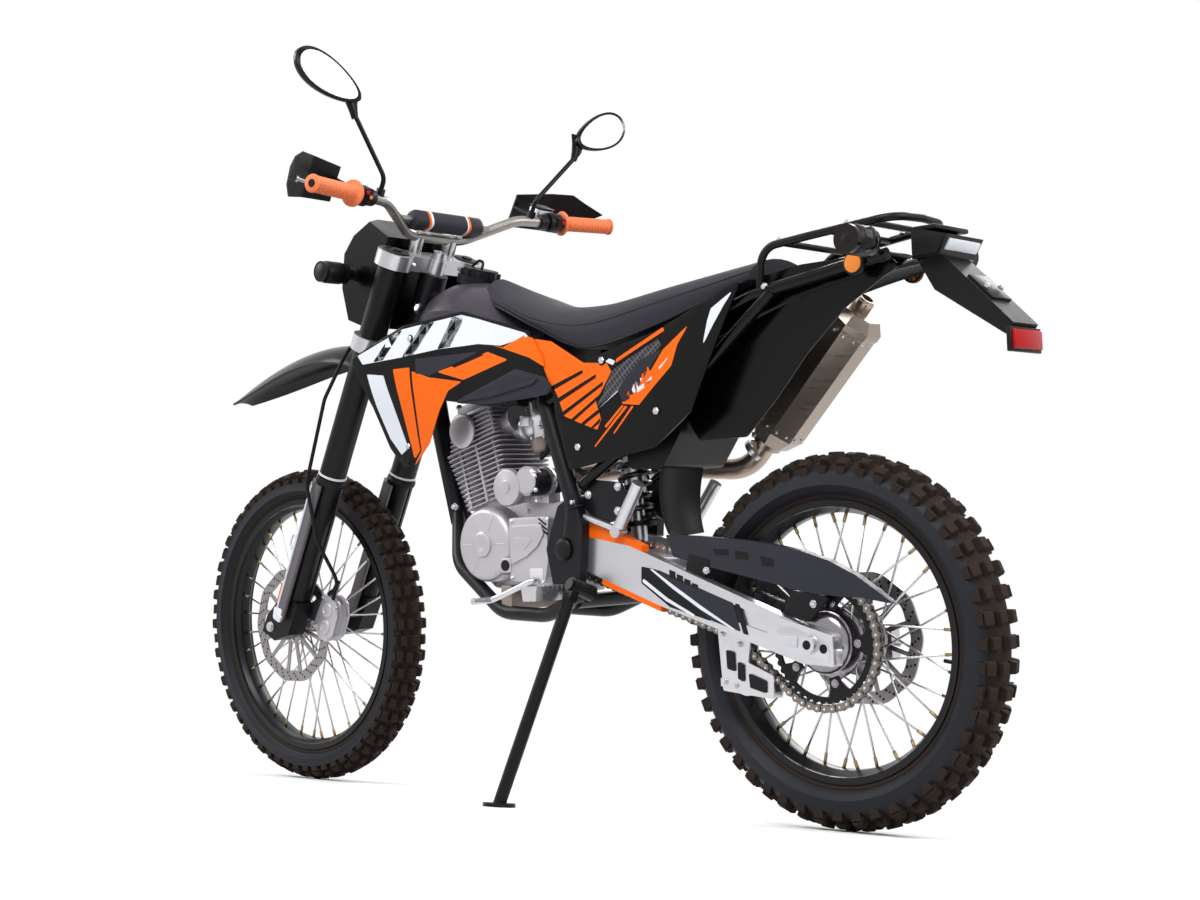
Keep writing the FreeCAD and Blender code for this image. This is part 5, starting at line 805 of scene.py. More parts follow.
def makeShrouds():
    values = shroudValues
    names = ["glossBlack", "orangePlastic", "whitePlastic", "slatePlastic", "silverAlloy"]
    bm = bmesh.new()
    for side in bothSides:
        addSkin(bm, values["outline"], values["stations"], side, radius=14, bevel=1.2)
        for name, outline in values["paint"]:
            addSkin(bm, outline, values["stations"], side, raised=0.5, thick=1.5, radius=2,
                    material=names.index(name))
        for outline in values["stripes"]:
            addSkin(bm, outline, values["stations"], side, raised=0.8, thick=1.5)
        addSkin(bm, values["wing"], values["stations"], side, raised=4, thick=6, radius=6, bevel=1.5,
                material=3)
        addSkin(bm, values["wingRidge"], values["stations"], side, raised=7, thick=8, radius=2, bevel=1.5,
                material=3)
        for place in values["bolts"]:
            addSkinBolt(bm, values["stations"], side, place, radius=6, sunk=40)
    finished(bm, "tank_shroud_skins", bikeFrame, "chassis", names, ["tank_shrouds"], smooth=32)


def makeSidePanels():
    values = panelValues
    names = ["glossBlack", "orangePlastic", "whitePlastic", "slatePlastic", "silverAlloy", "ventMesh"]
    bm = bmesh.new()
    for side in bothSides:
        outline = values["outline"] if side > 0 else values["rightOutline"]
        addSkin(bm, outline, values["stations"], side, radius=10, bevel=1.2)
        for name, shape in values["paint"]:
            if side < 0 and min(z for _, z in shape) < values["rightLowest"]:
                continue
            addSkin(bm, shape, values["stations"], side, raised=0.5, thick=1.5, radius=2,
                    material=names.index(name))
        if side > 0:
            addSkin(bm, values["vent"], values["stations"], side, raised=0.4, thick=1.5, radius=3,
                    material=5)
            for shape in values["stripes"]:
                addSkin(bm, shape, values["stations"], side, raised=0.9, thick=1.5)
        for place in values["bolts"][side]:
            addSkinBolt(bm, values["stations"], side, place, radius=7, sunk=22)
    finished(bm, "side_panel_skins", bikeFrame, "chassis", names, ["side_panels"], smooth=32)


# Sections of the seat: (x, half width, foot, shoulder, crown), rounded over the shoulders by soft
seatValues = {
    "stations": [(800, 55, 1000, 1020, 1050), (700, 95, 965, 985, 1005), (600, 112, 920, 945, 970),
                 (470, 118, 870, 930, 962), (300, 112, 895, 950, 978), (100, 92, 955, 975, 998)],
    "across": (0.985, 0.94, 0.86, 0.72, 0.5, 0.25), "parts": 6, "soft": 9, "edge": 3.2, "seam": 0.9,
}


def crownSection(x, half, foot, shoulder, crown):
    soft = min(seatValues["soft"], (shoulder - foot) * 0.4)
    points = [(half - soft * 0.3, foot), (half, foot + (shoulder - foot) * 0.4), (half, shoulder - soft)]
    for across in seatValues["across"]:
        rounding = soft * 0.9 * max(across - 0.80, 0) / 0.2 * across
        points.append((half * across, crown - (crown - shoulder) * across ** 2 - rounding))
    return [(x, y, z) for y, z in points] + [(x, 0, crown)] + [(x, -y, z) for y, z in points[::-1]]


def makeSeat():
    bm = bmesh.new()
    stations = smoothStations(seatValues["stations"], seatValues["parts"])
    addLoft(bm, [crownSection(*station) for station in stations])
    for side in bothSides:
        foot = [Vector((x, side * (half - 1), low + 2)) for x, half, low, shoulder, crown in stations[1:]]
        sweep(bm, foot, roundSection(seatValues["edge"], 8), material=1)
        seam = [Vector((x, side * (half + 0.1), shoulder - (shoulder - low) * 0.25))
                for x, half, low, shoulder, crown in stations[3:]]
        sweep(bm, seam, roundSection(seatValues["seam"], 6))
    seat = finished(bm, "vinyl_seat", bikeFrame, "chassis", ["seatCover", "satinBlack"], ["seat"], smooth=60)


tankRows = {
    "shroud bolt": ("bolts", "silverAlloy", [(944, 104, 1000)], (0.1, 1, 0.35), 8, 5, "satinBlack"),
    "front stud": ("rod", "silverAlloy", (905, 36, 1035), (905, 36, 1045.5), 4, 12),
    "rear stud": ("rod", "silverAlloy", (770, 36, 1005), (770, 36, 1015.5), 4, 12),
}
capRows = {
    "collar": ("turned", "satinBlack", [(0, 0), (44, 0), (46, 1.5), (46, 5), (43, 7), (0, 7)],
        (871, 0, 1047), (-0.3, 0, 1), 48),
    "vent hose": ("tube", "satinBlack", [(862, 0, 1076), (858, -4, 1092), (880, -12, 1100), (925, -20, 1085),
        (960, -24, 1040)], 3, 18, 10),
}
capStuds = {"x": 868, "reach": 36, "count": 8, "low": 1051, "high": 1060, "slope": 0.3, "lean": 2,
            "radius": 3}


def makeTankFittings():
    names = ["satinBlack"]
    bm = bmesh.new()
    addRows(bm, names, tankRows, bothSides)
    addRows(bm, names, capRows)
    middle, lean = capStuds["x"], capStuds["lean"]
    for place in ringPlaces((middle, 0, 0), capStuds["reach"],
                            (0, 360 / capStuds["count"], capStuds["count"]), (0, 0, 1)):
        rise = (place.x - middle) * capStuds["slope"]
        addRod(bm, (place.x, place.y, capStuds["low"] + rise),
               (place.x - lean, place.y, capStuds["high"] + rise), capStuds["radius"], steps=10,
               material=names.index("silverAlloy"))
    finished(bm, "tank_fittings", bikeFrame, "chassis", names)


# The deep inner flanks of the tail, one under the subframe and one on the silencer's side
flankValues = {
    "skirt": [(290, 905), (276, 722), (252, 684), (146, 684), (78, 746), (8, 820), (-72, 888), (-148, 930),
              (-185, 946), (-150, 972), (14, 972), (139, 957)],
    "skirtStations": [(-200, 56, 57, 58), (60, 60, 61, 62), (300, 63, 64, 65)],
    "crease": [(282, 840), (150, 905), (40, 925), (-120, 952), (-118, 942), (40, 912), (150, 890),
               (282, 822)],
    "stations": [(-120, 70, 76, 78), (150, 84, 87, 88), (420, 90, 94, 95)],
    "outline": [(400, 745), (380, 700), (298, 698), (232, 768), (160, 850), (78, 930), (-15, 956),
                (-95, 962), (-60, 978), (130, 985), (262, 930), (330, 860)],
    "ridge": [(-90, 968), (-60, 974), (130, 980), (250, 925), (240, 915), (125, 965), (-60, 962)],
}


def makeTailFlank():
    bm = bmesh.new()
    addSkin(bm, flankValues["outline"], flankValues["stations"], -1, thick=3, radius=16, bevel=1)
    addSkin(bm, flankValues["ridge"], flankValues["stations"], -1, raised=-3, thick=5, radius=6, bevel=1)
    addSkin(bm, flankValues["skirt"], flankValues["skirtStations"], 1, thick=3, radius=14, bevel=1)
    addSkin(bm, flankValues["crease"], flankValues["skirtStations"], 1, raised=2, thick=4, radius=5, bevel=1)
    finished(bm, "tail_inner_flank", bikeFrame, "chassis", "glossBlack", smooth=35)


makeShrouds()
makeSidePanels()
makeSeat()
makeTankFittings()
makeTailFlank()
print("bodywork made")


# Engine: the cylinder's rows run along its own tilted axis, the others in the bike's frame

cylinderRows = {
    "barrel": ("turned", "engineCast", [(0, 35), (52, 35), (52, 206), (0, 206)], (0, 0, 0), (0, 0, 1), 48),
    "head": ("box", "engineCast", (2, 0, 243), (104, 108, 74), 6),
    "rocker cover": ("box", "engineCast", (4, 0, 284), (92, 92, 36), 8),
    "cam cover": ("turned", "engineSmooth", [(0, 60), (27, 60), (27, 66), (34, 66), (35.5, 68), (35.5, 73),
        (33, 76), (30, 77), (24, 78.5), (0, 79)], (18, 0, 242), (0, 1, 0), 48),
    "exhaust port": ("turned", "engineCast", [(0, 0), (26, 0), (26, 72), (0, 72)], (20, -30, 210),
        (1, 0, 0.05), 32),
    "intake port": ("turned", "engineCast", [(0, 0), (28, 0), (28, 70), (31, 70), (31, 76), (0, 76)],
        (-20, 16, 224), (-1, 0.05, 0.08), 32),
    "rocker bolts": ("bolts", "silverAlloy", [(42, 42, 302), (-38, 42, 302), (42, -42, 302),
        (-38, -42, 302)], (0, 0, 1), 5, 4),
    "cam bolts": ("ring", "silverAlloy", (18, 74, 242), 31, (40, 120, 3), (0, 1, 0), 2.6, 3),
    "spark plug": ("rod", "silverAlloy", (52, -20, 262), (84, -34, 284), 9, 6),
    "plug cap": ("rod", "blackRubber", (78, -31, 280), (96, -40, 296), 11, 20),
}
# Fins as (at the lowest fin, change up to the highest) for half length, half width and height
finValues = {
    "barrel": {"count": 13, "length": (64, 18), "width": (66, 8), "height": (86, 116)},
    "head": {"count": 7, "length": (74, -12), "width": (70, -4), "height": (212, 56)},
    "thick": 2.4, "radius": 16, "bevel": 0.7,
}
# Fin struts as (x, y, low, high)
strutValues = {"places": [(44, 62, 86, 204), (-8, 66, 86, 204), (-52, 60, 86, 204), (30, 62, 212, 270),
                          (-56, 56, 212, 276), (-56, -56, 212, 276), (0, -66, 86, 204)],
               "size": (6, 8), "bevel": 1.5}


def addFins(bm, fins):
    turn = Matrix.Rotation(math.radians(90), 4, "X")
    for fin in range(fins["count"]):
        share = fin / (fins["count"] - 1)
        long, wide, height = (fins[key][0] + fins[key][1] * share for key in ("length", "width", "height"))
        outline = [(long, wide), (-long, wide), (-long, -wide), (long, -wide)]
        addPlate(bm, outline, height, height + finValues["thick"], finValues["radius"], finValues["bevel"],
                 turn)


def makeCylinder():
    names = ["engineCast"]
    bm = bmesh.new()
    addFins(bm, finValues["barrel"])
    addFins(bm, finValues["head"])
    for x, y, low, high in strutValues["places"]:
        addBox(bm, (x, y, (low + high) / 2), (*strutValues["size"], high - low), bevel=strutValues["bevel"])
    addRows(bm, names, cylinderRows)
    finished(bm, "finned_cylinder", engineFrame, "chassis", names, ["engine_cylinder"], smooth=35)


caseRows = {
    "case": ("plate", "engineSmooth", [(600, 585), (700, 592), (865, 575), (875, 520), (860, 470),
        (800, 425), (620, 412), (600, 470)], -75, 52, 14, 2.5),
    "flywheel cover": ("turned", "engineSmooth", [(0, 46), (74, 46), (76, 50), (76, 56), (74, 60), (74, 84),
        (72, 91), (67, 96.5), (62, 98), (30, 98), (26, 99), (24.5, 103), (22, 104.6), (12, 104.6), (9, 103),
        (0, 103)], bikeSizes["crank"], (0, 1, 0), 72),
    "window boss": ("box", "engineSmooth", (720, 92, 470), (30, 20, 30), 4),
    "oil window": ("turned", "satinBlack", [(0, 100), (11, 100), (11, 103.4), (9.5, 104.6), (0, 104.6)],
        (720, 0, 470), (0, 1, 0), 24),
    "sprocket cover": ("plate", "engineSmooth", [(599, 562), (709, 562), (710, 440), (618, 428), (606, 475),
        (606, 530)], 80, 100, 8, 3),
    "raised cover": ("plate", "engineSmooth", [(618, 548), (700, 548), (704, 470), (660, 486), (630, 505),
        (612, 528)], 92, 104.5, 6, 3.5),
    "arrow": ("plate", "engineSmooth", [(690, 525), (640, 520), (662, 500), (690, 505)], 103, 105.6, 2, 1),
    # The three slots are dark boxes on the cover, painted shade in its grooves
    "upper slot": ("box", "satinBlack", (617, 100.5, 552), (24, 3, 3), 0.8, -34),
    "middle slot": ("box", "satinBlack", (615.5, 100.5, 543), (24, 3, 3), 0.8, -34),
    "lower slot": ("box", "satinBlack", (614, 100.5, 534), (24, 3, 3), 0.8, -34),
    "blank label": ("plate", "labelWhite", [(655, 463), (620, 463), (620, 437), (655, 437)], 99, 100.8, 1,
        0.3),
    "cover wall": ("plate", "engineSmooth", [(648, 555), (700, 555), (700, 470), (648, 462)], 45, 90, 4, 1),
    "rear case": ("plate", "engineSmooth", [(680, 579), (600, 592), (585, 560), (600, 430), (692, 430)], 30,
        54, 6, 2),
    "clutch cover": ("turned", "engineSmooth", [(0, -116), (50, -116), (66, -112), (72, -104), (72, -72),
        (0, -72)], (700, 0, 505), (0, 1, 0), 64),
    "filter cover": ("turned", "engineSmooth", [(0, -120), (24, -120), (28, -116), (30, -106), (30, -70),
        (0, -70)], (765, 0, 455), (0, 1, 0), 40),
    "foot block": ("box", "bronzeCast", (730, 0, 407), (30, 186, 48), 3),
    "sump": ("plate", "bronzeCast", [(610, 430), (790, 440), (770, 404), (640, 398)], -60, 40, 10, 3),
    "clutch bolts": ("ring", "silverAlloy", (700, -113, 505), 66, (20, 51, 7), (0, -1, 0), 4, 4),
    "cover bolts": ("bolts", "silverAlloy", [(605, 100, 556), (702, 100, 556), (704, 100, 446),
        (622, 100, 436)], (0, 1, 0), 4, 3.6),
    "case bolts": ("bolts", "silverAlloy", [(702, 52, 575), (852, 52, 566), (866, 52, 520), (850, 52, 470),
        (796, 52, 432), (716, 52, 424), (640, 52, 420)], (0, 1, 0), 4, 4),
}
coverRibs = {"count": 6, "reach": 47, "face": 97, "size": (36, 3.4, 3), "bevel": 1}


def makeCrankcase():
    names = ["engineSmooth"]
    bm = bmesh.new()
    addRows(bm, names, caseRows)
    crankX, _, crankZ = bikeSizes["crank"]
    for rib in range(coverRibs["count"]):
        turn = Matrix.Rotation(-math.tau * rib / coverRibs["count"], 4, "Y")
        middle = (Vector((crankX, coverRibs["face"], crankZ))
                  + turn.to_3x3() @ Vector((coverRibs["reach"], 0, 0)))
        addBox(bm, middle, coverRibs["size"], turn=turn, bevel=coverRibs["bevel"])
    finished(bm, "cast_crankcase", bikeFrame, "chassis", names, ["engine_crankcase"], smooth=35)


starterRows = {
    "motor end": ("turned", "engineSmooth", [(0, 86), (36, 86), (37, 88), (37, 95), (35, 98.5), (30, 100),
        (15, 100), (12.5, 101), (12, 103), (0, 103.4)], (714, 0, 622), (0, 1, 0), 56),
    "motor body": ("turned", "satinBlack", [(0, 12), (22, 12), (27, 18), (27, 90), (24, 94), (0, 94)],
        (660, 0, 630), (0, 1, 0), 44),
    "motor band": ("turned", "silverAlloy", [(0, 40), (29.5, 40), (30, 41), (30, 52), (29.5, 53), (0, 53)],
        (660, 0, 630), (0, 1, 0), 44),
    "gear cover": ("turned", "engineSmooth", [(0, 74), (28.5, 74), (29, 76), (29, 92), (24, 97), (0, 98)],
        (664, 0, 632), (0, 1, 0), 44),
    "mount": ("box", "engineSmooth", (662, 34, 602), (34, 34, 44), 3),
    "cover bolts": ("bolts", "silverAlloy", [(680, 92, 646), (642, 92, 648), (640, 92, 614)], (0, 1, 0), 3.4,
        4),
}
carburettorRows = {
    "throat": ("turned", "silverAlloy", [(0, 0), (23, 0), (23, 26), (31, 27), (31, 36), (23, 37), (20, 60),
        (20, 100), (23, 104), (23, 140), (0, 140)], (745, 16, 735), (-145, 19, 15), 40),
    "slide tower": ("turned", "silverAlloy", [(0, 0), (20, 0), (22, 3), (22, 30), (24, 31), (24, 36),
        (21, 40), (21, 98), (0, 100)], (685, 25, 790), (-17, 5, -100), 40),
    "float bowl": ("turned", "bronzeCast", [(0, 0), (26, 0), (27, 2), (27, 18), (22, 30), (12, 36), (0, 36)],
        (673, 29, 716), (-0.2, 0.02, -1), 40),
    "bowl screws": ("ring", "silverAlloy", (673, 29, 718), 24, (45, 90, 4), (0, 0, 1), 3, 3),
    "air boot": ("tube", "blackRubber", [(610, 34, 748), (540, 52, 755), (425, 62, 755)], 25.5, 90, 24),
    "boot clamp": ("turned", "silverAlloy", [(22, 0), (27, 0), (27, 9), (22, 9)], (612, 33, 748),
        (-70, 18, 7), 36, "closed"),
    "choke": ("box", "silverAlloy", (702, 44, 752), (26, 20, 22), 3),
    "idle screw": ("rod", "silverAlloy", (655, 44, 738), (655, 62, 736), 4, 12),
    "drain hose": ("tube", "blackRubber", [(664, 40, 690), (650, 66, 672), (618, 74, 690), (612, 72, 740),
        (630, 62, 776), (668, 44, 784)], 4.5, 30, 10),
    "breather": ("tube", "blackRubber", [(690, 22, 786), (700, 24, 812), (690, 10, 850)], 5, 20, 10),
}


makeCylinder()
makeCrankcase()
makeFromRows("starter_housing", starterRows, bikeFrame, "chassis", ["starter_motor"])
makeFromRows("slide_carburettor", carburettorRows, bikeFrame, "chassis", ["carburettor"], smooth=40)
print("engine made")


# Fork, controls and lamps, in the fork's frame

barValues = {"end": (-111, 417, 1024.6), "bend": (-63, 185, 998.6)}


def barAxis(side):
    end, bend = mirrored(side, barValues["end"]), mirrored(side, barValues["bend"])
    return end, (bend - end).normalized()


legRows = {
    "dust seal": ("turned", "satinBlack", [(28, 0), (31.6, 1), (32.4, 4), (32.4, 10), (31, 13), (28, 14)],
        (-35, 100, 362), (0, 0, 1), 44, "closed"),
    "white ring": ("turned", "whitePlastic", [(28, 0), (31.6, 0.6), (31.6, 4.4), (28, 5)], (-35, 100, 380),
        (0, 0, 1), 44, "closed"),
    "leg cap": ("turned", "satinBlack", [(0, 0), (27, 0), (27, 3), (24, 4), (12, 4.4), (11, 8), (0, 8)],
        (-35, 100, 889), (0, 0, 1), 40),
    "guard bolt": ("bolts", "silverAlloy", [(-5, 110, 369)], (1, 0.4, 0), 3.5, 4),
    "clamp bolts": ("bolts", "silverAlloy", [(-61, 70, 874), (-61, 70, 686), (-61, 70, 678)], (-0.4, -1, 0),
        4.5, 5),
    "lug bolts": ("bolts", "silverAlloy", [(-27, 121, 38), (-27, 121, 58)], (0, 1, 0), 4.5, 5),
    "outer edge": ("tube", "whitePlastic", [(-42, 134, 45), (-18, 134, 45), (-17, 134, 352)], 2.6, 6, 10),
    "front edge": ("tube", "whitePlastic", [(-15, 133, 45), (2, 117, 52), (2, 117, 350)], 2.2, 10, 10),
    "guard clip": ("tube", "orangePlastic", [(-3, 123, 62), (-5, 125, 110)], 4, 0, 10),
    "guard foot": ("plate", "whitePlastic", [(-40, 30), (-14, 30), (-8, 56), (-36, 62)], 131, 136, 6, 1),
    "axle end": ("rod", "silverAlloy", (0, 78, 0), (0, 124, 0), 11, 32),
    "axle nut": ("rod", "silverAlloy", (0, 122, 0), (0, 128, 0), 9, 6),
    "riser bolts": ("bolts", "silverAlloy", [(-40, 33, 940), (-40, 57, 940), (-14, 33, 940), (-14, 57, 940)],
        (0, 0, 1), 4, 5),
}
stemRows = {
    "stem washer": ("turned", "silverAlloy", [(0, 0), (17, 0), (17, 5), (0, 5)], (-57, 0, 890), (0, 0, 1),
        32),
    "stem nut": ("rod", "silverAlloy", (-57, 0, 894), (-57, 0, 902), 13, 6),
}
# The white ring laid on each fork guard
guardOval = {"centre": (9, 119, 205), "half": (7, 17), "steps": 16, "radius": 2.6}


def makeForkTrim():
    names = []
    bm = bmesh.new()
    addRows(bm, names, legRows, bothSides)
    addRows(bm, names, stemRows)
    long, high = guardOval["half"]
    for side in bothSides:
        ring = [mirrored(side, guardOval["centre"])
                + Vector((long * math.cos(turn), 0, high * math.sin(turn)))
                for turn in (math.tau * step / guardOval["steps"] for step in range(guardOval["steps"] + 1))]
        sweep(bm, ring, roundSection(guardOval["radius"], 10), up=(0, 1, 0),
              material=names.index("whitePlastic"))
    finished(bm, "fork_trim", forkFrame, "steering", names, smooth=38)


# Stations of the bar pad as (along, share of its radius, slot)
padValues = {
    "finishes": ["seatCover", "orangePlastic", "whitePlastic"],
    "place": (-46.8, 966), "radius": 20.5, "swell": 0.05, "steps": 24,
    "stations": [(-95, 0.72, 0), (-93, 0.92, 0), (-88, 1.0, 0), (-62, 1.0, 0), (-56, 1.0, 1), (-50, 1.0, 2),
                 (-46, 1.0, 0), (46, 1.0, 0), (50, 1.0, 2), (56, 1.0, 1), (62, 1.0, 0), (88, 1.0, 0),
                 (93, 0.92, 0), (95, 0.72, 0)],
}


def makeBarPad():
    x, z = padValues["place"]
    steps = padValues["steps"]
    bm = bmesh.new()
    rings = []
    for along, share, _ in padValues["stations"]:
        ring = []
        for turn in (math.tau * step / steps for step in range(steps)):
            reach = padValues["radius"] * share * (1 + padValues["swell"] * math.cos(4 * turn))
            ring.append(bm.verts.new((x + reach * math.cos(turn), along, z + reach * math.sin(turn))))
        rings.append(ring)
    for (one, two), station in zip(zip(rings, rings[1:]), padValues["stations"]):
        for at in range(steps):
            face = bm.faces.new((one[at], one[(at + 1) % steps], two[(at + 1) % steps], two[at]))
            face.material_index = station[2]
    for ring in (rings[0], rings[-1]):
        bm.faces.new(ring)
    pad = finished(bm, "wrapped_bar_pad", forkFrame, "steering", padValues["finishes"], ["bar_pad"],
                   smooth=50)


gripValues = {
    "end": [(0, -5), (14, -5), (18, -3), (18, 0), (15, 1)],
    "rib": [(15, 4), (16.4, 5.2), (16.4, 9), (15, 10.2)], "ribs": 14, "step": 8,
    "flange": [(15, 117), (18, 119), (26, 121), (27, 122.5), (27, 125), (25, 127), (16, 128), (0, 128)],
    "plug": [(0, -6.5), (7, -6.5), (8, -5), (8, -2), (0, -2)],
}


def makeGrips():
    profile = list(gripValues["end"])
    for rib in range(gripValues["ribs"]):
        profile += [(radius, along + gripValues["step"] * rib) for radius, along in gripValues["rib"]]
    profile += gripValues["flange"]
    bm = bmesh.new()
    for side in bothSides:
        end, inward = barAxis(side)
        addLathe(bm, profile, end, inward, steps=36)
        addLathe(bm, gripValues["plug"], end, inward, steps=24, material=1)
    finished(bm, "ribbed_grips", forkFrame, "steering", ["gripRubber", "blackRubber"], ["grips"], smooth=40)


# Places on the handlebar as (inwards from its end, forward, up)
perchRows = {
    "lever bolt": ("bolts", "silverAlloy", [(150, 46, 5)], (0, 0, 1), 4, 4),
    "switch collar": ("turned", "satinBlack", [(11.5, 0), (20, 1), (21, 4), (21, 26), (20, 29), (11.5, 30)],
        (132, 0, 0), barAxis(1)[1], 32, "closed"),
    "perch collar": ("turned", "satinBlack", [(11.5, 0), (17, 1), (17, 18), (11.5, 19)], (166, 0, 0),
        barAxis(1)[1], 28, "closed"),
}
leftSwitchRows = {
    "switch box": ("box", "satinBlack", (148, -16, 8), (16, 26, 24), 3),
    "red button": ("rod", "redLens", (144, -23, 12), (144, -27, 13), 4.5, 14),
    "amber button": ("rod", "amberLens", (156, -23, 4), (156, -27, 5), 4, 14),
}
rightSwitchRows = {
    "reservoir": ("box", "silverAlloy", (166, 22, 14), (34, 44, 22), 4),
    "reservoir lid": ("box", "satinBlack", (166, 22, 27), (36, 46, 4), 1.2),
    "throttle box": ("box", "satinBlack", (144, -16, 6), (16, 22, 22), 3),
    "red button": ("rod", "redLens", (142, -23, 9), (142, -27, 10), 4.5, 14),
}
leverValues = {"places": [(163, 20, 0), (148, 54, -4), (100, 62, -8), (40, 60, -10), (12, 64, -9)],
               "bend": 40, "half": (6.4, 4.4), "steps": 14, "root": 1.15, "taper": 0.35, "ball": 6}


def onBar(side, place):
    inwards, forward, up = place
    end, inward = barAxis(side)
    return end + inward * inwards + Vector((forward, 0, up))


def makeControls():
    names = ["satinBlack", "silverAlloy"]
    steps = leverValues["steps"]
    wide, thick = leverValues["half"]
    bm = bmesh.new()
    section = [(math.cos(turn) * wide, math.sin(turn) * thick)
               for turn in (math.tau * step / steps for step in range(steps))]
    for side in bothSides:
        places = [onBar(side, place) for place in leverValues["places"]]
        path = bentPath(places, leverValues["bend"], 8)
        scales = [leverValues["root"] - leverValues["taper"] * at / (len(path) - 1)
                  for at in range(len(path))]
        sweep(bm, path, section, scales, material=1)
        addRod(bm, places[-1] + Vector((0, -2, 0)), places[-1] + Vector((0, 3 * side, 0)),
               leverValues["ball"], steps=16, material=1)
    addRows(bm, names, perchRows, bothSides, onBar)
    addRows(bm, names, leftSwitchRows, (1,), onBar)
    addRows(bm, names, rightSwitchRows, (-1,), onBar)
    finished(bm, "levers_and_switches", forkFrame, "steering", names, ["control_perches"], smooth=40)


# Shell and glass: (rearward, share of the oval); the neck: (share of its length, half width, half depth)
mirrorValues = {
    "centres": {1: (35, 338, 1204.6), -1: (-27, -385, 1211.6)}, "tilt": 22, "half": (86, 41), "steps": 40,
    "shell": [(-11, 0.42), (-9, 0.72), (-3, 0.93), (4, 1.0), (11, 1.0), (12, 0.985)],
    "glass": [(9, 0.87), (12.6, 0.87)], "foot": (208, 0, 11), "rise": 35, "stem": 5,
    "neck": [(0, 7, 7), (0.3, 10, 8), (0.65, 16, 9), (1, 26, 9)],
}


# The mirror's outline, fuller at its outer end, as (along, square)
def mirrorOval():
    long, high = mirrorValues["half"]
    oval = []
    for turn in (math.tau * step / mirrorValues["steps"] for step in range(mirrorValues["steps"])):
        reach = math.cos(turn)
        oval.append((long * reach, high * math.sin(turn) * (1 + 0.16 * reach) * (1 - 0.06 * (1 - reach))))
    return oval


def makeMirrors():
    bm = bmesh.new()
    rake, tilt = math.radians(bikeSizes["rake"]), math.radians(mirrorValues["tilt"])
    rearward = Vector((-math.cos(rake), 0, math.sin(rake)))
    upward = Vector((math.sin(rake), 0, math.cos(rake)))
    for side, place in mirrorValues["centres"].items():
        centre, across = Vector(place), Vector((0, side, 0))
        along = across * math.cos(tilt) + upward * math.sin(tilt)
        square = upward * math.cos(tilt) - across * math.sin(tilt)
        # The glass takes the plain white finish, a painted reflection
        for slot, kind in enumerate(("shell", "glass")):
            addLoft(bm, [[centre + rearward * reach + (along * x + square * z) * share
                          for x, z in mirrorOval()]
                         for reach, share in mirrorValues[kind]], material=slot)
        foot = onBar(side, mirrorValues["foot"])
        neck = centre - across * 62 - upward * 50
        addTube(bm, [foot, foot + Vector((0, 0, mirrorValues["rise"])), neck,
                     centre - across * 50 - upward * 15],
                mirrorValues["stem"], bend=30, steps=14)
        addRod(bm, foot - Vector((0, 0, 4)), foot + Vector((0, 0, 12)), 9, steps=6)
        low, high = neck + (foot - neck).normalized() * 24, centre - across * 60 - upward * 20
        face = (high - low).normalized().cross(rearward).normalized()
        addLoft(bm, [[low + (high - low) * share + face * x + rearward * z
                      for x, z in ((wide * math.cos(step * math.tau / 20),
                                    deep * math.sin(step * math.tau / 20))
                                   for step in range(20))]
                     for share, wide, deep in mirrorValues["neck"]])
    finished(bm, "oval_mirrors", forkFrame, "steering", ["glossBlack", "mirrorWhiteReflection"], ["mirrors"],
             smooth=40)


caliperHalf = [(-82, 48), (-88, 112), (-104, 128), (-134, 124), (-150, 98), (-152, 52), (-138, 30),
               (-112, 26)]
pistonCap = [(0, 0), (18, 0), (18, 3), (15, 5.5), (9, 6), (8, 4.5), (0, 4.5)]
caliperRows = {
    "outer half": ("plate", "engineSmooth", caliperHalf, 65, 79, 16, 3),
    "inner half": ("plate", "engineSmooth", caliperHalf, 42, 55, 16, 3),
    "bridge": ("plate", "engineSmooth", [(-128, 122), (-150, 96), (-152, 52), (-140, 32), (-132, 50),
        (-130, 100)], 44, 78, 8, 2),
    "upper piston": ("turned", "engineSmooth", pistonCap, (-112, 77, 96), (0, 1, 0), 36),
    "lower piston": ("turned", "engineSmooth", pistonCap, (-120, 77, 58), (0, 1, 0), 36),
    "bolts": ("bolts", "silverAlloy", [(-92, 78, 118), (-90, 78, 46), (-138, 78, 112), (-140, 78, 40)],
        (0, 1, 0), 4.5, 5),
    "bracket": ("plate", "darkAlloy", [(-40, 44), (-40, 70), (-84, 116), (-92, 100), (-84, 52)], 66, 76, 8,
        2),
    "bleed screw": ("rod", "silverAlloy", (-112, 70, 124), (-112, 70, 142), 5, 6),
    "hose end": ("tube", "blackRubber", [(-100, 74, 128), (-122, 82, 150), (-134, 90, 175)], 5, 14, 12),
}
maskRows = {
    "mask bolt": ("bolts", "silverAlloy", [(96, 92, 858)], (0.4, 1, 0), 5, 4, "satinBlack"),
    "signal body": ("turned", "satinBlack", [(0, 0), (17, 0), (23, 12), (23.4, 14), (23.4, 52), (21, 56),
        (0, 56)], (75, 127, 800), (0, 1, 0), 36),
    "signal cap": ("turned", "satinBlack", [(0, 0), (21.5, 0), (21, 5), (16, 9), (0, 10)], (75, 182, 800),
        (0, 1, 0), 36),
    "signal lens": ("turned", "amberLens", [(0, 0), (20, 0), (19, 16), (12, 22), (0, 23)], (80, 156, 800),
        (1, 0, 0), 36),
}
for rib in range(5):
    maskRows[f"stem ring {rib}"] = ("turned", "satinBlack", [(11, 0), (13, 1), (13, 4), (11, 5)],
                                    (75, 96 + 6 * rib, 800), (0, 1, 0), 20, "closed")

makeForkTrim()
makeBarPad()
makeGrips()
makeControls()
makeMirrors()
makeFromRows("two_piston_caliper", caliperRows, forkFrame, "steering", ["front_caliper"])
makeFromRows("mask_trim", maskRows, forkFrame, "steering", sides=bothSides, smooth=40)
print("front made")


# Swingarm, chain guide, hub dome, shock, silencer and frame fittings

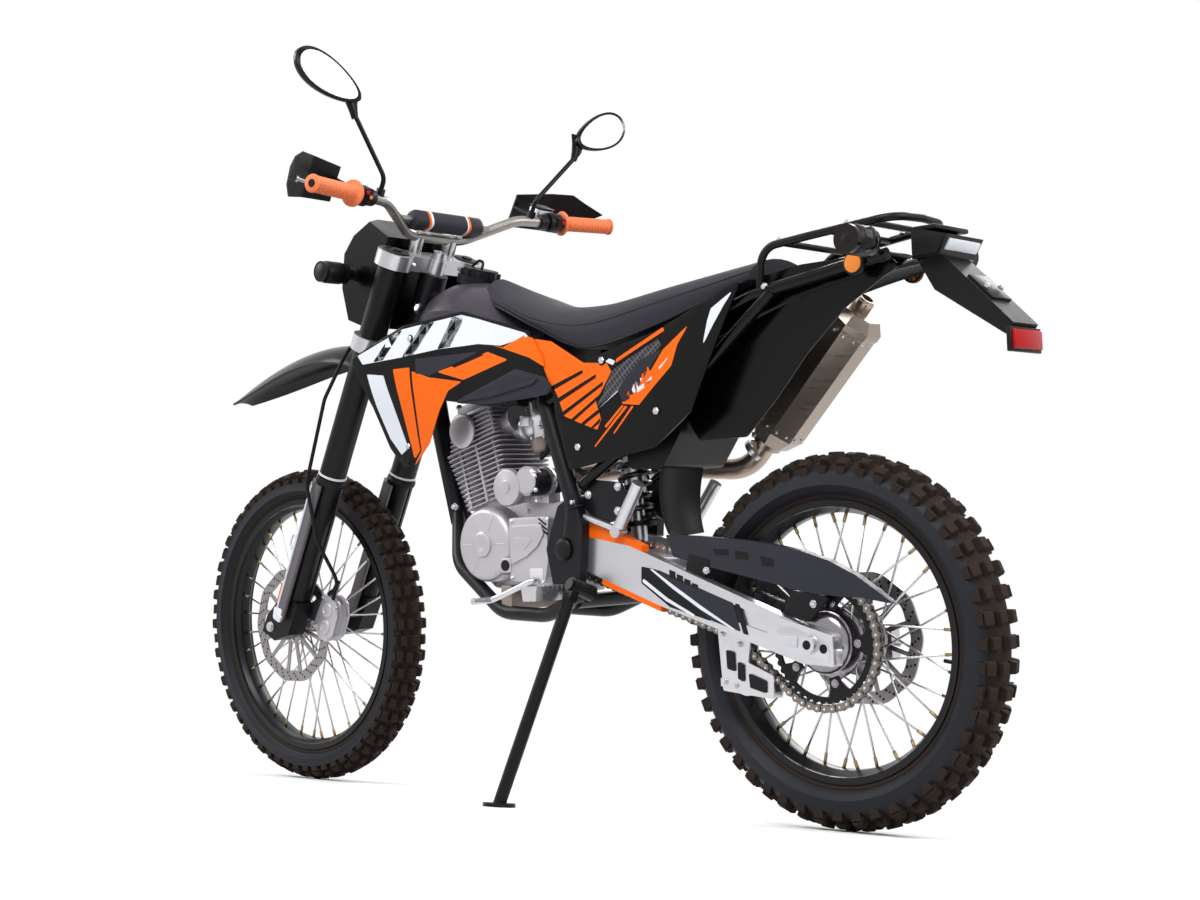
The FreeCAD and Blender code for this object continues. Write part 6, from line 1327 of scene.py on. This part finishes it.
armRows = {
    "slate field": ("plate", "slatePlastic", [(335, 456), (165, 395), (150, 345), (207, 362), (273, 384),
        (322, 404)], 96, 97.5, 2, 0),
    "black field": ("plate", "satinBlack", [(372, 462), (338, 456), (273, 404), (210, 362), (308, 388),
        (374, 432)], 96, 97.9, 2, 0),
    "upper stripe": ("plate", "whitePlastic", [(352, 457), (346, 457), (296, 426), (232, 388), (160, 348),
        (168, 349), (236, 383), (300, 421)], 96, 98.2, 2, 0),
    "black stripe": ("plate", "satinBlack", [(160, 395), (151, 392), (133, 339), (144, 342)], 96, 98.2, 2,
        0),
    "lower stripe": ("plate", "whitePlastic", [(368, 440), (312, 404), (250, 374), (254, 371), (316, 399),
        (371, 434)], 96, 98.3, 2, 0),
    "end cover": ("plate", "silverAlloy", [(70, 353), (42, 355), (-36, 329), (-38, 296), (48, 318),
        (66, 330)], 100, 101.8, 9, 0.5),
    "end window": ("plate", "clearGlass", [(56, 340), (26, 338), (26, 318), (56, 324)], 101, 104, 4, 1.2),
    "axle washer": ("rod", "silverAlloy", (0, 100, 325), (0, 103.5, 325), 17, 32),
    "axle nut": ("rod", "silverAlloy", (0, 102, 325), (0, 111, 325), 13, 6),
    "axle end": ("rod", "satinBlack", (0, 110, 325), (0, 114, 325), 8, 20),
    # A dark disc on the cover stands for the adjuster's hole, painted shade
    "adjuster hole": ("rod", "satinBlack", (-26, 101, 318), (-26, 102.4, 318), 8, 20),
    "adjuster plate": ("box", "silverAlloy", (-44, 88, 314), (3, 22, 44), 1),
    "adjuster bolt": ("rod", "silverAlloy", (-42, 88, 314), (-56, 88, 314), 4, 6),
}
# Black blocks on the swingarm, each lower than the one before
blockValues = {"start": (306, 442), "step": (-17, -5.95), "count": 4, "wide": 13, "high": 13, "lower": 2,
               "fall": 4}
for block in range(blockValues["count"]):
    x, z = (start + step * block for start, step in zip(blockValues["start"], blockValues["step"]))
    top = z + blockValues["high"] - blockValues["lower"] * block
    back, fall = x - blockValues["wide"], blockValues["fall"]
    armRows[f"block {block}"] = ("plate", "satinBlack",
                                 [(x, z), (back, z - fall), (back, top - fall), (x, top)], 96, 98.1, 0, 0)
guideRows = {
    "guide bolts": ("bolts", "silverAlloy", [(207, 80, 340), (169, 80, 322), (205, 80, 256), (182, 80, 250)],
        (0, 1, 0), 4, 4),
    "guard bolts": ("bolts", "silverAlloy", [(3, 84, 392), (232, 84, 452)], (0, 1, 0), 5, 5),
    "guard foot": ("plate", "satinBlack", [(47, 416), (-30, 404), (14, 362), (68, 376)], 76, 84, 5, 1.5),
}
# The guide's windows are dark plates on both faces, painted shade where its openings are
guideWindows = {"front": [(198, 312), (181, 308), (180, 274), (197, 279)],
                "middle": [(173, 292), (160, 286), (161, 256), (174, 262)],
                "rear": [(150, 272), (113, 259), (114, 238), (148, 247)]}
for label, window in guideWindows.items():
    guideRows[f"{label} window outside"] = ("plate", "satinBlack", window, 76, 80.6, 3, 0)
    guideRows[f"{label} window inside"] = ("plate", "satinBlack", window, 47.2, 52, 3, 0)


def makeSwingarmFittings():
    names = []
    bm = bmesh.new()
    addRows(bm, names, armRows, bothSides)
    addRows(bm, names, guideRows)
    finished(bm, "swingarm_fittings", bikeFrame, "chassis", names, smooth=35)


guardOutline = [(324, 518), (254, 514), (200, 509), (143, 503), (84, 494), (26, 482), (-30, 465), (-83, 440),
                (-125, 413), (-156, 392), (-139, 394), (-95, 402), (-51, 404), (0, 409), (50, 418),
                (103, 431), (150, 441), (195, 451), (268, 468), (308, 478)]
guardRows = {
    "blade": ("plate", "slatePlastic", guardOutline, 79, 83.5, 3, 1.4),
    # The windows are dark plates through the blade, painted shade of its openings
    "front window": ("plate", "satinBlack", [(216, 491), (182, 488), (180, 477), (211, 480)], 78, 84, 3, 0),
    "middle window": ("plate", "satinBlack", [(168, 486), (138, 482), (136, 469), (164, 471)], 78, 84, 3, 0),
    "rear window": ("plate", "satinBlack", [(112, 476), (82, 469), (83, 456), (107, 459)], 78, 84, 3, 0),
    "front foot": ("plate", "satinBlack", [(272, 482), (222, 470), (242, 420), (282, 436)], 79, 85, 4, 1),
}
# The guard's rim over the chain, narrowing to its tail
guardRim = {"y": 71, "drop": 2, "half": (10, 1.6), "scales": [1, 1, 1, 1, 1, 1, 0.9, 0.8, 0.6, 0.3]}


def makeChainGuard():
    names = []
    bm = bmesh.new()
    addRows(bm, names, guardRows)
    scales = guardRim["scales"]
    wide, thick = guardRim["half"]
    rim = [Vector((x, guardRim["y"], z - guardRim["drop"])) for x, z in guardOutline[:len(scales)]]
    sweep(bm, rim, [(-wide, -thick), (wide, -thick), (wide, thick), (-wide, thick)], scales)
    finished(bm, "bladed_chain_guard", bikeFrame, "chassis", names, ["chain_guard"], smooth=35)


castingRows = {
    "gusset": ("plate", "framePaint", [(505, 628), (415, 618), (398, 585), (408, 552), (470, 540),
        (512, 575)], 92, 97, 12, 1.5),
    "gusset bolts": ("bolts", "silverAlloy", [(423, 97, 610), (498, 97, 598), (425, 97, 565)], (0, 1, 0), 6,
        5),
    "pivot cap": ("turned", "satinBlack", [(0, 0), (20, 0), (21, 1.5), (21, 5), (18, 8.5), (12, 10),
        (0, 10.6)], (545, 118, 498), (0, 1, 0), 40),
    "engine bolt": ("bolts", "silverAlloy", [(948, 18, 592)], (0, 1, 0), 6, 6),
    "casting bolt": ("bolts", "silverAlloy", [(520, 118, 585)], (0, 1, 0), 5, 5),
    "tube collar": ("turned", "framePaint", [(17, 0), (18.6, 1), (18.6, 3), (17, 4)], (520, 108, 575),
        (-78, 8, -215), 32, "closed"),
}
hoseRows = {
    "brake cylinder": ("turned", "satinBlack", [(0, 0), (14, 0), (15, 2), (15, 70), (13, 74), (0, 74)],
        (640, -60, 560), (0, 0.2, 1), 28),
    "thick hose": ("tube", "blackRubber", [(590, 70, 700), (575, 66, 660), (540, 60, 640), (480, 58, 645)],
        6, 30, 12),
    "thin hose": ("tube", "blackRubber", [(600, 60, 720), (600, 58, 660), (560, 50, 600), (480, 44, 600)], 4,
        30, 10),
}


def makeFrameFittings():
    names = []
    bm = bmesh.new()
    addRows(bm, names, castingRows, bothSides)
    addRows(bm, names, hoseRows)
    finished(bm, "frame_fittings", bikeFrame, "chassis", names, smooth=40)


# The shock's turned parts start at its foot and run to its top
shockFoot, shockWay = (455, 0, 460), (20, 0, 340)
shockRows = {
    "body": ("turned", "silverAlloy", [(0, 0), (15, 0), (15, 130), (21, 132), (22, 140), (22, 338),
        (0, 340)], shockFoot, shockWay, 32),
    "lower seat": ("turned", "satinBlack", [(21, 76), (33, 76), (34, 78), (34, 84), (21, 86)], shockFoot,
        shockWay, 40, "closed"),
    "upper seat": ("turned", "satinBlack", [(21, 268), (34, 270), (34, 276), (21, 278)], shockFoot, shockWay,
        40, "closed"),
}
coilValues = {"turns": 8, "steps": 14, "low": 90, "high": 262, "reach": 28.5, "wire": 5.2}


def makeShock():
    names = []
    bm = bmesh.new()
    addRows(bm, names, shockRows)
    along, side, other = axesOf(shockWay)
    count = coilValues["turns"] * coilValues["steps"]
    coil = []
    for step in range(count + 1):
        turn = math.tau * step / coilValues["steps"]
        rise = coilValues["low"] + (coilValues["high"] - coilValues["low"]) * step / count
        out = side * math.cos(turn) + other * math.sin(turn)
        coil.append(Vector(shockFoot) + along * rise + out * coilValues["reach"])
    sweep(bm, coil, roundSection(coilValues["wire"], 10), up=along, material=slotOf(names, "coilPaint"))
    finished(bm, "coil_shock", bikeFrame, "chassis", names, ["rear_shock"], smooth=40)


# Wavy brake discs on slanting arms: (radius, place along the axle, hub radius)
# Their holes are dark plugs, painted shade in place of the openings: (depth below the rim, shift in radians,
# radius)
discValues = {"front": (128, 60, 40), "rear": (118, -60, 44), "band": 25, "wave": 1.8, "lobes": 10,
              "arms": 6, "half": 2, "steps": 180, "lean": 0.32, "plug": 0.25,
              "holes": [(7.5, 0.0, 2.6), (14, 0.05, 2.2), (20, 0.1, 2.6)]}


def addDiscBand(bm, radius, middle):
    wave, band, half = (discValues[key] for key in ("wave", "band", "half"))
    rings = []
    for turn in (math.tau * step / discValues["steps"] for step in range(discValues["steps"])):
        swing = wave * math.cos(discValues["lobes"] * turn)
        outer, inner = radius - wave + swing, radius - band + swing
        rings.append([bm.verts.new((reach * math.cos(turn), middle + side * half, reach * math.sin(turn)))
                      for reach, side in ((outer, -1), (outer, 1), (inner, 1), (inner, -1))])
    for at, ring in enumerate(rings):
        onward = rings[(at + 1) % len(rings)]
        for corner in range(4):
            bm.faces.new((ring[corner], ring[(corner + 1) % 4], onward[(corner + 1) % 4], onward[corner]))


def addDiscArms(bm, radius, middle, hub):
    addLathe(bm, [(hub - 14, -1.5), (hub, -1.5), (hub, 1.5), (hub - 14, 1.5)], (0, middle, 0), steps=60,
             closed=True)
    start, finish = hub - 6, radius - discValues["band"] + 3
    for arm in range(discValues["arms"]):
        turn = Matrix.Rotation(-math.tau * (arm + 0.5) / discValues["arms"], 4, "Y")
        for lean in (-discValues["lean"], discValues["lean"]):
            shape = [(start, -5 + lean * 30), (finish, -4 + lean * 70), (finish, 4 + lean * 70),
                     (start, 5 + lean * 30)]
            addPlate(bm, shape, middle - 1.8, middle + 1.8, bevel=0.4, matrix=turn)
        place = turn.to_3x3() @ Vector((hub - 7, 0, 0))
        for side in bothSides:
            addBolt(bm, (place.x, middle + side * 1.5, place.z), (0, side, 0), 3.6, 3, material=2)


def makeDisc(end, matrix):
    radius, middle, hub = discValues[end]
    bm = bmesh.new()
    addDiscBand(bm, radius, middle)
    addDiscArms(bm, radius, middle, hub)
    # The dark plugs fill the disc's holes as painted shade
    half = discValues["half"] + discValues["plug"]
    lobes = discValues["lobes"] * 3
    for depth, shift, size in discValues["holes"]:
        for place in ringPlaces((0, middle, 0), radius - depth, (math.degrees(shift), 360 / lobes, lobes),
                                (0, 1, 0)):
            addRod(bm, place - Vector((0, half, 0)), place + Vector((0, half, 0)), size, steps=10, soft=0.1,
                   material=1)
    finished(bm, f"{end}_slotted_disc", matrix, f"{end}_wheel", ["discSteel", "satinBlack", "silverAlloy"],
             [f"{end}_disc"], smooth=40)


domeRows = {
    "dome": ("turned", "hubAlloy", [(0, 56), (54, 56), (54.5, 58), (52, 66), (47, 71), (40, 74), (25, 75),
        (18, 75), (0, 75)], (0, 0, 0), (0, 1, 0), 64),
    "sprocket bolts": ("ring", "hubAlloy", (0, 66.5, 0), 71, (36, 72, 5), (0, 1, 0), 5.4, 2.6),
    "valve": ("rod", "blackRubber", (-214, 2, -34), (-196, 2, -31), 3.4, 14),
    "valve cap": ("rod", "silverAlloy", (-222, 2, -35), (-212, 2, -33.6), 5, 14),
}
# The silencer's axis, its corner rivets in two rings, and its fittings
silencerValues = {"foot": (262, -162, 692), "top": (40, -152, 912), "rings": (0.13, 0.865), "corners": 8,
                  "shift": 0.25, "reach": 50.5, "stand": 5, "rivet": 2.4}
silencerRows = {
    "outlet": ("turned", "pipeSteel", [(12, -2), (17, -2), (18, 1), (18, 20), (14, 22), (12, 22)],
        (40, -152, 912), (-222, 10, 220), 32, "closed"),
    "clamp": ("turned", "silverAlloy", [(21, 0), (24, 1), (24, 12), (21, 13)], (300, -156, 668),
        (-38, -6, 24), 32, "closed"),
    "hanger bolt": ("bolts", "silverAlloy", [(288, -146, 700)], (0, 0.4, 1), 4, 6),
}


def makeSilencerTrim():
    names = []
    bm = bmesh.new()
    addRows(bm, names, silencerRows)
    foot, top = Vector(silencerValues["foot"]), Vector(silencerValues["top"])
    _, side, other = axesOf(top - foot)
    shift, corners = silencerValues["shift"], silencerValues["corners"]
    for share in silencerValues["rings"]:
        for turn in (math.tau * (corner + way * shift) / corners for corner in range(corners)
                     for way in bothSides):
            out = side * math.cos(turn) + other * math.sin(turn)
            place = foot.lerp(top, share) + out * silencerValues["reach"]
            addRod(bm, place, place + out * silencerValues["stand"], silencerValues["rivet"], steps=10,
                   material=names.index("silverAlloy"))
    finished(bm, "silencer_trim", bikeFrame, "chassis", names, smooth=40)


tailSideRows = {
    "signal body": ("turned", "satinBlack", [(0, 0), (18, 0), (25, 12), (25.5, 14), (25.5, 50), (23, 54),
        (0, 54)], (-165, 122, 980), (0, 1, 0), 36),
    "signal cap": ("turned", "satinBlack", [(0, 0), (23.5, 0), (23, 6), (18, 10), (0, 12)], (-165, 174, 980),
        (0, 1, 0), 36),
    "signal lens": ("turned", "smokeLens", [(0, 0), (21, 0), (20, 18), (12, 24), (0, 25)], (-172, 148, 980),
        (-1, 0, 0), 36),
    "signal stem": ("tube", "satinBlack", [(-155, 72, 965), (-163, 124, 979)], 8.6, 0, 16),
    "stem bolt": ("bolts", "silverAlloy", [(-150, 80, 972)], (0, 1, 0.3), 4, 4),
    "rack bolts": ("bolts", "silverAlloy", [(40, 84, 1016), (-100, 84, 1026)], (0, 0, 1), 4, 4),
    "subframe bolt": ("bolts", "silverAlloy", [(70, 92, 938)], (0, 1, 0), 5, 5),
    "reflector cup": ("turned", "satinBlack", [(0, 0), (20, 0), (20, 7), (17, 8), (0, 8)], (-115, 86, 955),
        (0, 1, 0), 36),
    "side reflector": ("turned", "amberLens", [(0, 0), (16, 0), (16, 9.5), (13, 10), (0, 10)],
        (-115, 86, 955), (0, 1, 0), 36),
    "reflector stud": ("rod", "satinBlack", (-115, 74, 955), (-115, 88, 955), 7, 16),
}
tailRows = {
    "rack plate": ("box", "satinBlack", (-226, 0, 1002), (48, 104, 8), 2.5),
    "blank plate holder": ("box", "satinBlack", (-313, 0, 896), (6, 60, 60), 1, 45),
    "plate bolts": ("bolts", "silverAlloy", [(-322, -22, 898), (-322, 22, 898)], (-0.7, 0, 0.7), 4, 3),
    "reflector back": ("box", "satinBlack", (-370, 0, 806), (8, 98, 40), 1.5),
    "tail reflector": ("box", "redLens", (-375, 0, 806), (9, 88, 31), 2),
    "lamp shell": ("plate", "satinBlack", [(-205, 1000), (-268, 984), (-252, 957), (-205, 957)], -56.5, 56.5,
        4, 2),
    "lamp face": ("box", "whitePlastic", (-266, 0, 971), (8, 96, 20), 2, -32),
}


def makeTailTrim():
    names = []
    bm = bmesh.new()
    addRows(bm, names, tailSideRows, bothSides)
    addRows(bm, names, tailRows)
    finished(bm, "tail_trim", bikeFrame, "chassis", names, ["reflectors"], smooth=40)


makeSwingarmFittings()
makeChainGuard()
makeFrameFittings()
makeShock()
makeDisc("front", frontWheelFrame)
makeDisc("rear", rearWheelFrame)
makeFromRows("rear_hub_dome", domeRows, rearWheelFrame, "rear_wheel")
makeSilencerTrim()
makeTailTrim()
print("rear made")


# CAD nodes that stay in view get the finish of their real material
nodeFinish = {
    "rear_sprocket": "blackSteel", "main_frame": "framePaint", "rear_subframe": "glossBlack",
    "exhaust_pipe": "pipeSteel", "silencer": "brushedSteel", "fuel_tank": "tankPlastic",
    "fuel_cap": "satinBlack",
    "air_box": "satinBlack", "rear_fender": "glossBlack", "luggage_rack": "blackSteel",
    "tail_lamp": "smokeLens",
    "plate_bracket": "satinBlack", "rear_signals": "smokeLens", "swingarm": "silverAlloy",
    "rear_axle": "silverAlloy", "pivot_bolt": "blackSteel", "chain_guide": "silverAlloy",
    "chain_slider": "orangePlastic", "rear_caliper": "darkAlloy", "foot_pegs": "silverAlloy",
    "foot_controls": "silverAlloy", "front_axle": "silverAlloy", "fork_outer_tubes": "blackSteel",
    "fork_lower_legs": "satinBlack", "fork_guards": "guardGrey", "triple_clamps": "silverAlloy",
    "handlebar": "barTitanium", "hand_guards": "satinBlack", "front_fender": "glossBlack",
    "headlamp_mask": "glossBlack", "front_signals": "smokeLens", "front_brake_hose": "blackRubber",
    "side_stand": "blackSteel", "headlamp": "clearGlass",
}
for label, node in frame["nodes"].items():
    node.data.materials.clear()
    node.data.materials.append(finishes[nodeFinish.get(label, "satinBlack")])


# Floor, backdrop, lamps and camera

# The floor is paper near the bike and glows white from near to far; dark is the world's grey at its foot
stageValues = {"floor": 60, "near": 1.1, "far": 2.4, "world": 0.8, "dark": 0.26, "darkFrom": 0.1,
               "darkTo": 0.7, "bounce": 0.38, "paper": 0.93, "rough": 0.95}
# Lamps as (place, aim, size, power)
lampValues = {
    "key softbox": ((-1.2, 2.6, 3.2), (0, 0, 0.5), (2.6, 1.6), 105),
    "rear softbox": ((-3.0, -0.4, 2.2), (0, 0, 0.6), (1.8, 1.8), 50),
    "front softbox": ((2.6, 1.6, 2.4), (0, 0, 0.6), (1.6, 1.6), 50),
    "far softbox": ((0.6, -2.8, 2.6), (0, 0, 0.6), (2.2, 1.4), 66),
}


# The rays that see the room as plain white: the camera's, and those of metal and glass
def addWhiteRays(tree):
    path = addNode(tree, "ShaderNodeLightPath")
    either = addNode(tree, "ShaderNodeMath", {"operation": "MAXIMUM"},
                     {0: path.outputs["Is Camera Ray"], 1: path.outputs["Is Glossy Ray"]})
    return addNode(tree, "ShaderNodeMath", {"operation": "MAXIMUM"},
                   {0: either.outputs["Value"], 1: path.outputs["Is Transmission Ray"]})


def makeStage():
    bm = bmesh.new()
    bmesh.ops.create_grid(bm, x_segments=1, y_segments=1, size=stageValues["floor"])
    mesh = bpy.data.meshes.new("studio floor")
    bm.to_mesh(mesh)
    bm.free()
    floor = bpy.data.objects.new("studio floor", mesh)
    bpy.context.scene.collection.objects.link(floor)
    material, tree, shader = newMaterial("white studio paper")
    shader.inputs["Roughness"].default_value = stageValues["rough"]
    where = addNode(tree, "ShaderNodeTexCoord")
    reach = addNode(tree, "ShaderNodeVectorMath", {"operation": "LENGTH"}, {0: where.outputs["Object"]})
    away = addNode(tree, "ShaderNodeMapRange",
                   {"interpolation_type": "SMOOTHSTEP", "From Min": stageValues["near"],
                    "From Max": stageValues["far"]},
                   {"Value": reach.outputs["Value"]})
    seen = addWhiteRays(tree)
    shown = addNode(tree, "ShaderNodeMath", {"operation": "MULTIPLY"},
                    {0: away.outputs["Result"], 1: seen.outputs["Value"]})
    paper = addNode(tree, "ShaderNodeMapRange",
                    {"To Min": stageValues["bounce"], "To Max": stageValues["paper"]},
                    {"Value": seen.outputs["Value"]})
    tree.links.new(paper.outputs["Result"], shader.inputs["Base Color"])
    glow = addNode(tree, "ShaderNodeEmission", {"Color": (1, 1, 1, 1), "Strength": 1.0})
    mix = addNode(tree, "ShaderNodeMixShader", {}, {0: shown.outputs["Value"], 1: shader.outputs["BSDF"],
                                                    2: glow.outputs["Emission"]})
    tree.links.new(mix.outputs["Shader"], tree.nodes["Material Output"].inputs["Surface"])
    mesh.materials.append(material)
    world = bpy.data.worlds.new("studio")
    bpy.context.scene.world = world
    world.use_nodes = True
    tree = world.node_tree
    plain = tree.nodes["Background"]
    plain.inputs["Strength"].default_value = stageValues["world"]
    way = addNode(tree, "ShaderNodeTexCoord")
    parts = addNode(tree, "ShaderNodeSeparateXYZ", {}, {"Vector": way.outputs["Generated"]})
    height = addNode(tree, "ShaderNodeMapRange",
                     {"interpolation_type": "SMOOTHSTEP", "From Min": stageValues["darkFrom"],
                      "From Max": stageValues["darkTo"], "To Min": stageValues["dark"], "To Max": 1.0},
                     {"Value": parts.outputs["Z"]})
    tree.links.new(height.outputs["Result"], plain.inputs["Color"])
    white = addNode(tree, "ShaderNodeBackground", {"Color": (1, 1, 1, 1), "Strength": 1.0})
    seen = addWhiteRays(tree)
    mix = addNode(tree, "ShaderNodeMixShader", {}, {0: seen.outputs["Value"], 1: plain.outputs["Background"],
                                                    2: white.outputs["Background"]})
    tree.links.new(mix.outputs["Shader"], tree.nodes["World Output"].inputs["Surface"])


def addLamp(name, place, aim, size, power):
    data = bpy.data.lights.new(name, "AREA")
    data.shape = "RECTANGLE"
    data.size, data.size_y = size
    data.energy = power
    lamp = bpy.data.objects.new(name, data)
    bpy.context.scene.collection.objects.link(lamp)
    lamp.location = place
    lamp.rotation_euler = (Vector(aim) - Vector(place)).to_track_quat("-Z", "Y").to_euler()


# The photo's camera, measured in the upright bike's frame
cameraValues = {"place": (-1782.8, 2564.6, 525.8), "yaw": -47.690, "pitch": 2.647, "roll": -2.280,
                "lens": 53.84}


def makeCamera():
    yaw, pitch, roll = (math.radians(cameraValues[key]) for key in ("yaw", "pitch", "roll"))
    ahead = Vector((math.cos(pitch) * math.cos(yaw), math.cos(pitch) * math.sin(yaw), math.sin(pitch)))
    level = ahead.cross(Vector((0, 0, 1))).normalized()
    above = level.cross(ahead)
    right = level * math.cos(roll) + above * math.sin(roll)
    up = above * math.cos(roll) - level * math.sin(roll)
    turn = Matrix((right, up, -ahead)).transposed().to_4x4()
    data = bpy.data.cameras.new("photo camera")
    data.lens = cameraValues["lens"]
    data.sensor_width = 36
    data.clip_end = 100
    camera = bpy.data.objects.new("photo camera", data)
    bpy.context.scene.collection.objects.link(camera)
    camera.matrix_world = Matrix.Translation(bikeFrame @ Vector(cameraValues["place"])) @ leanTurn @ turn
    bpy.context.scene.camera = camera


makeStage()
for label, lampRow in lampValues.items():
    addLamp(label, *lampRow)
makeCamera()
scene = bpy.context.scene
scene.view_settings.view_transform = "Standard"
print("stage set")
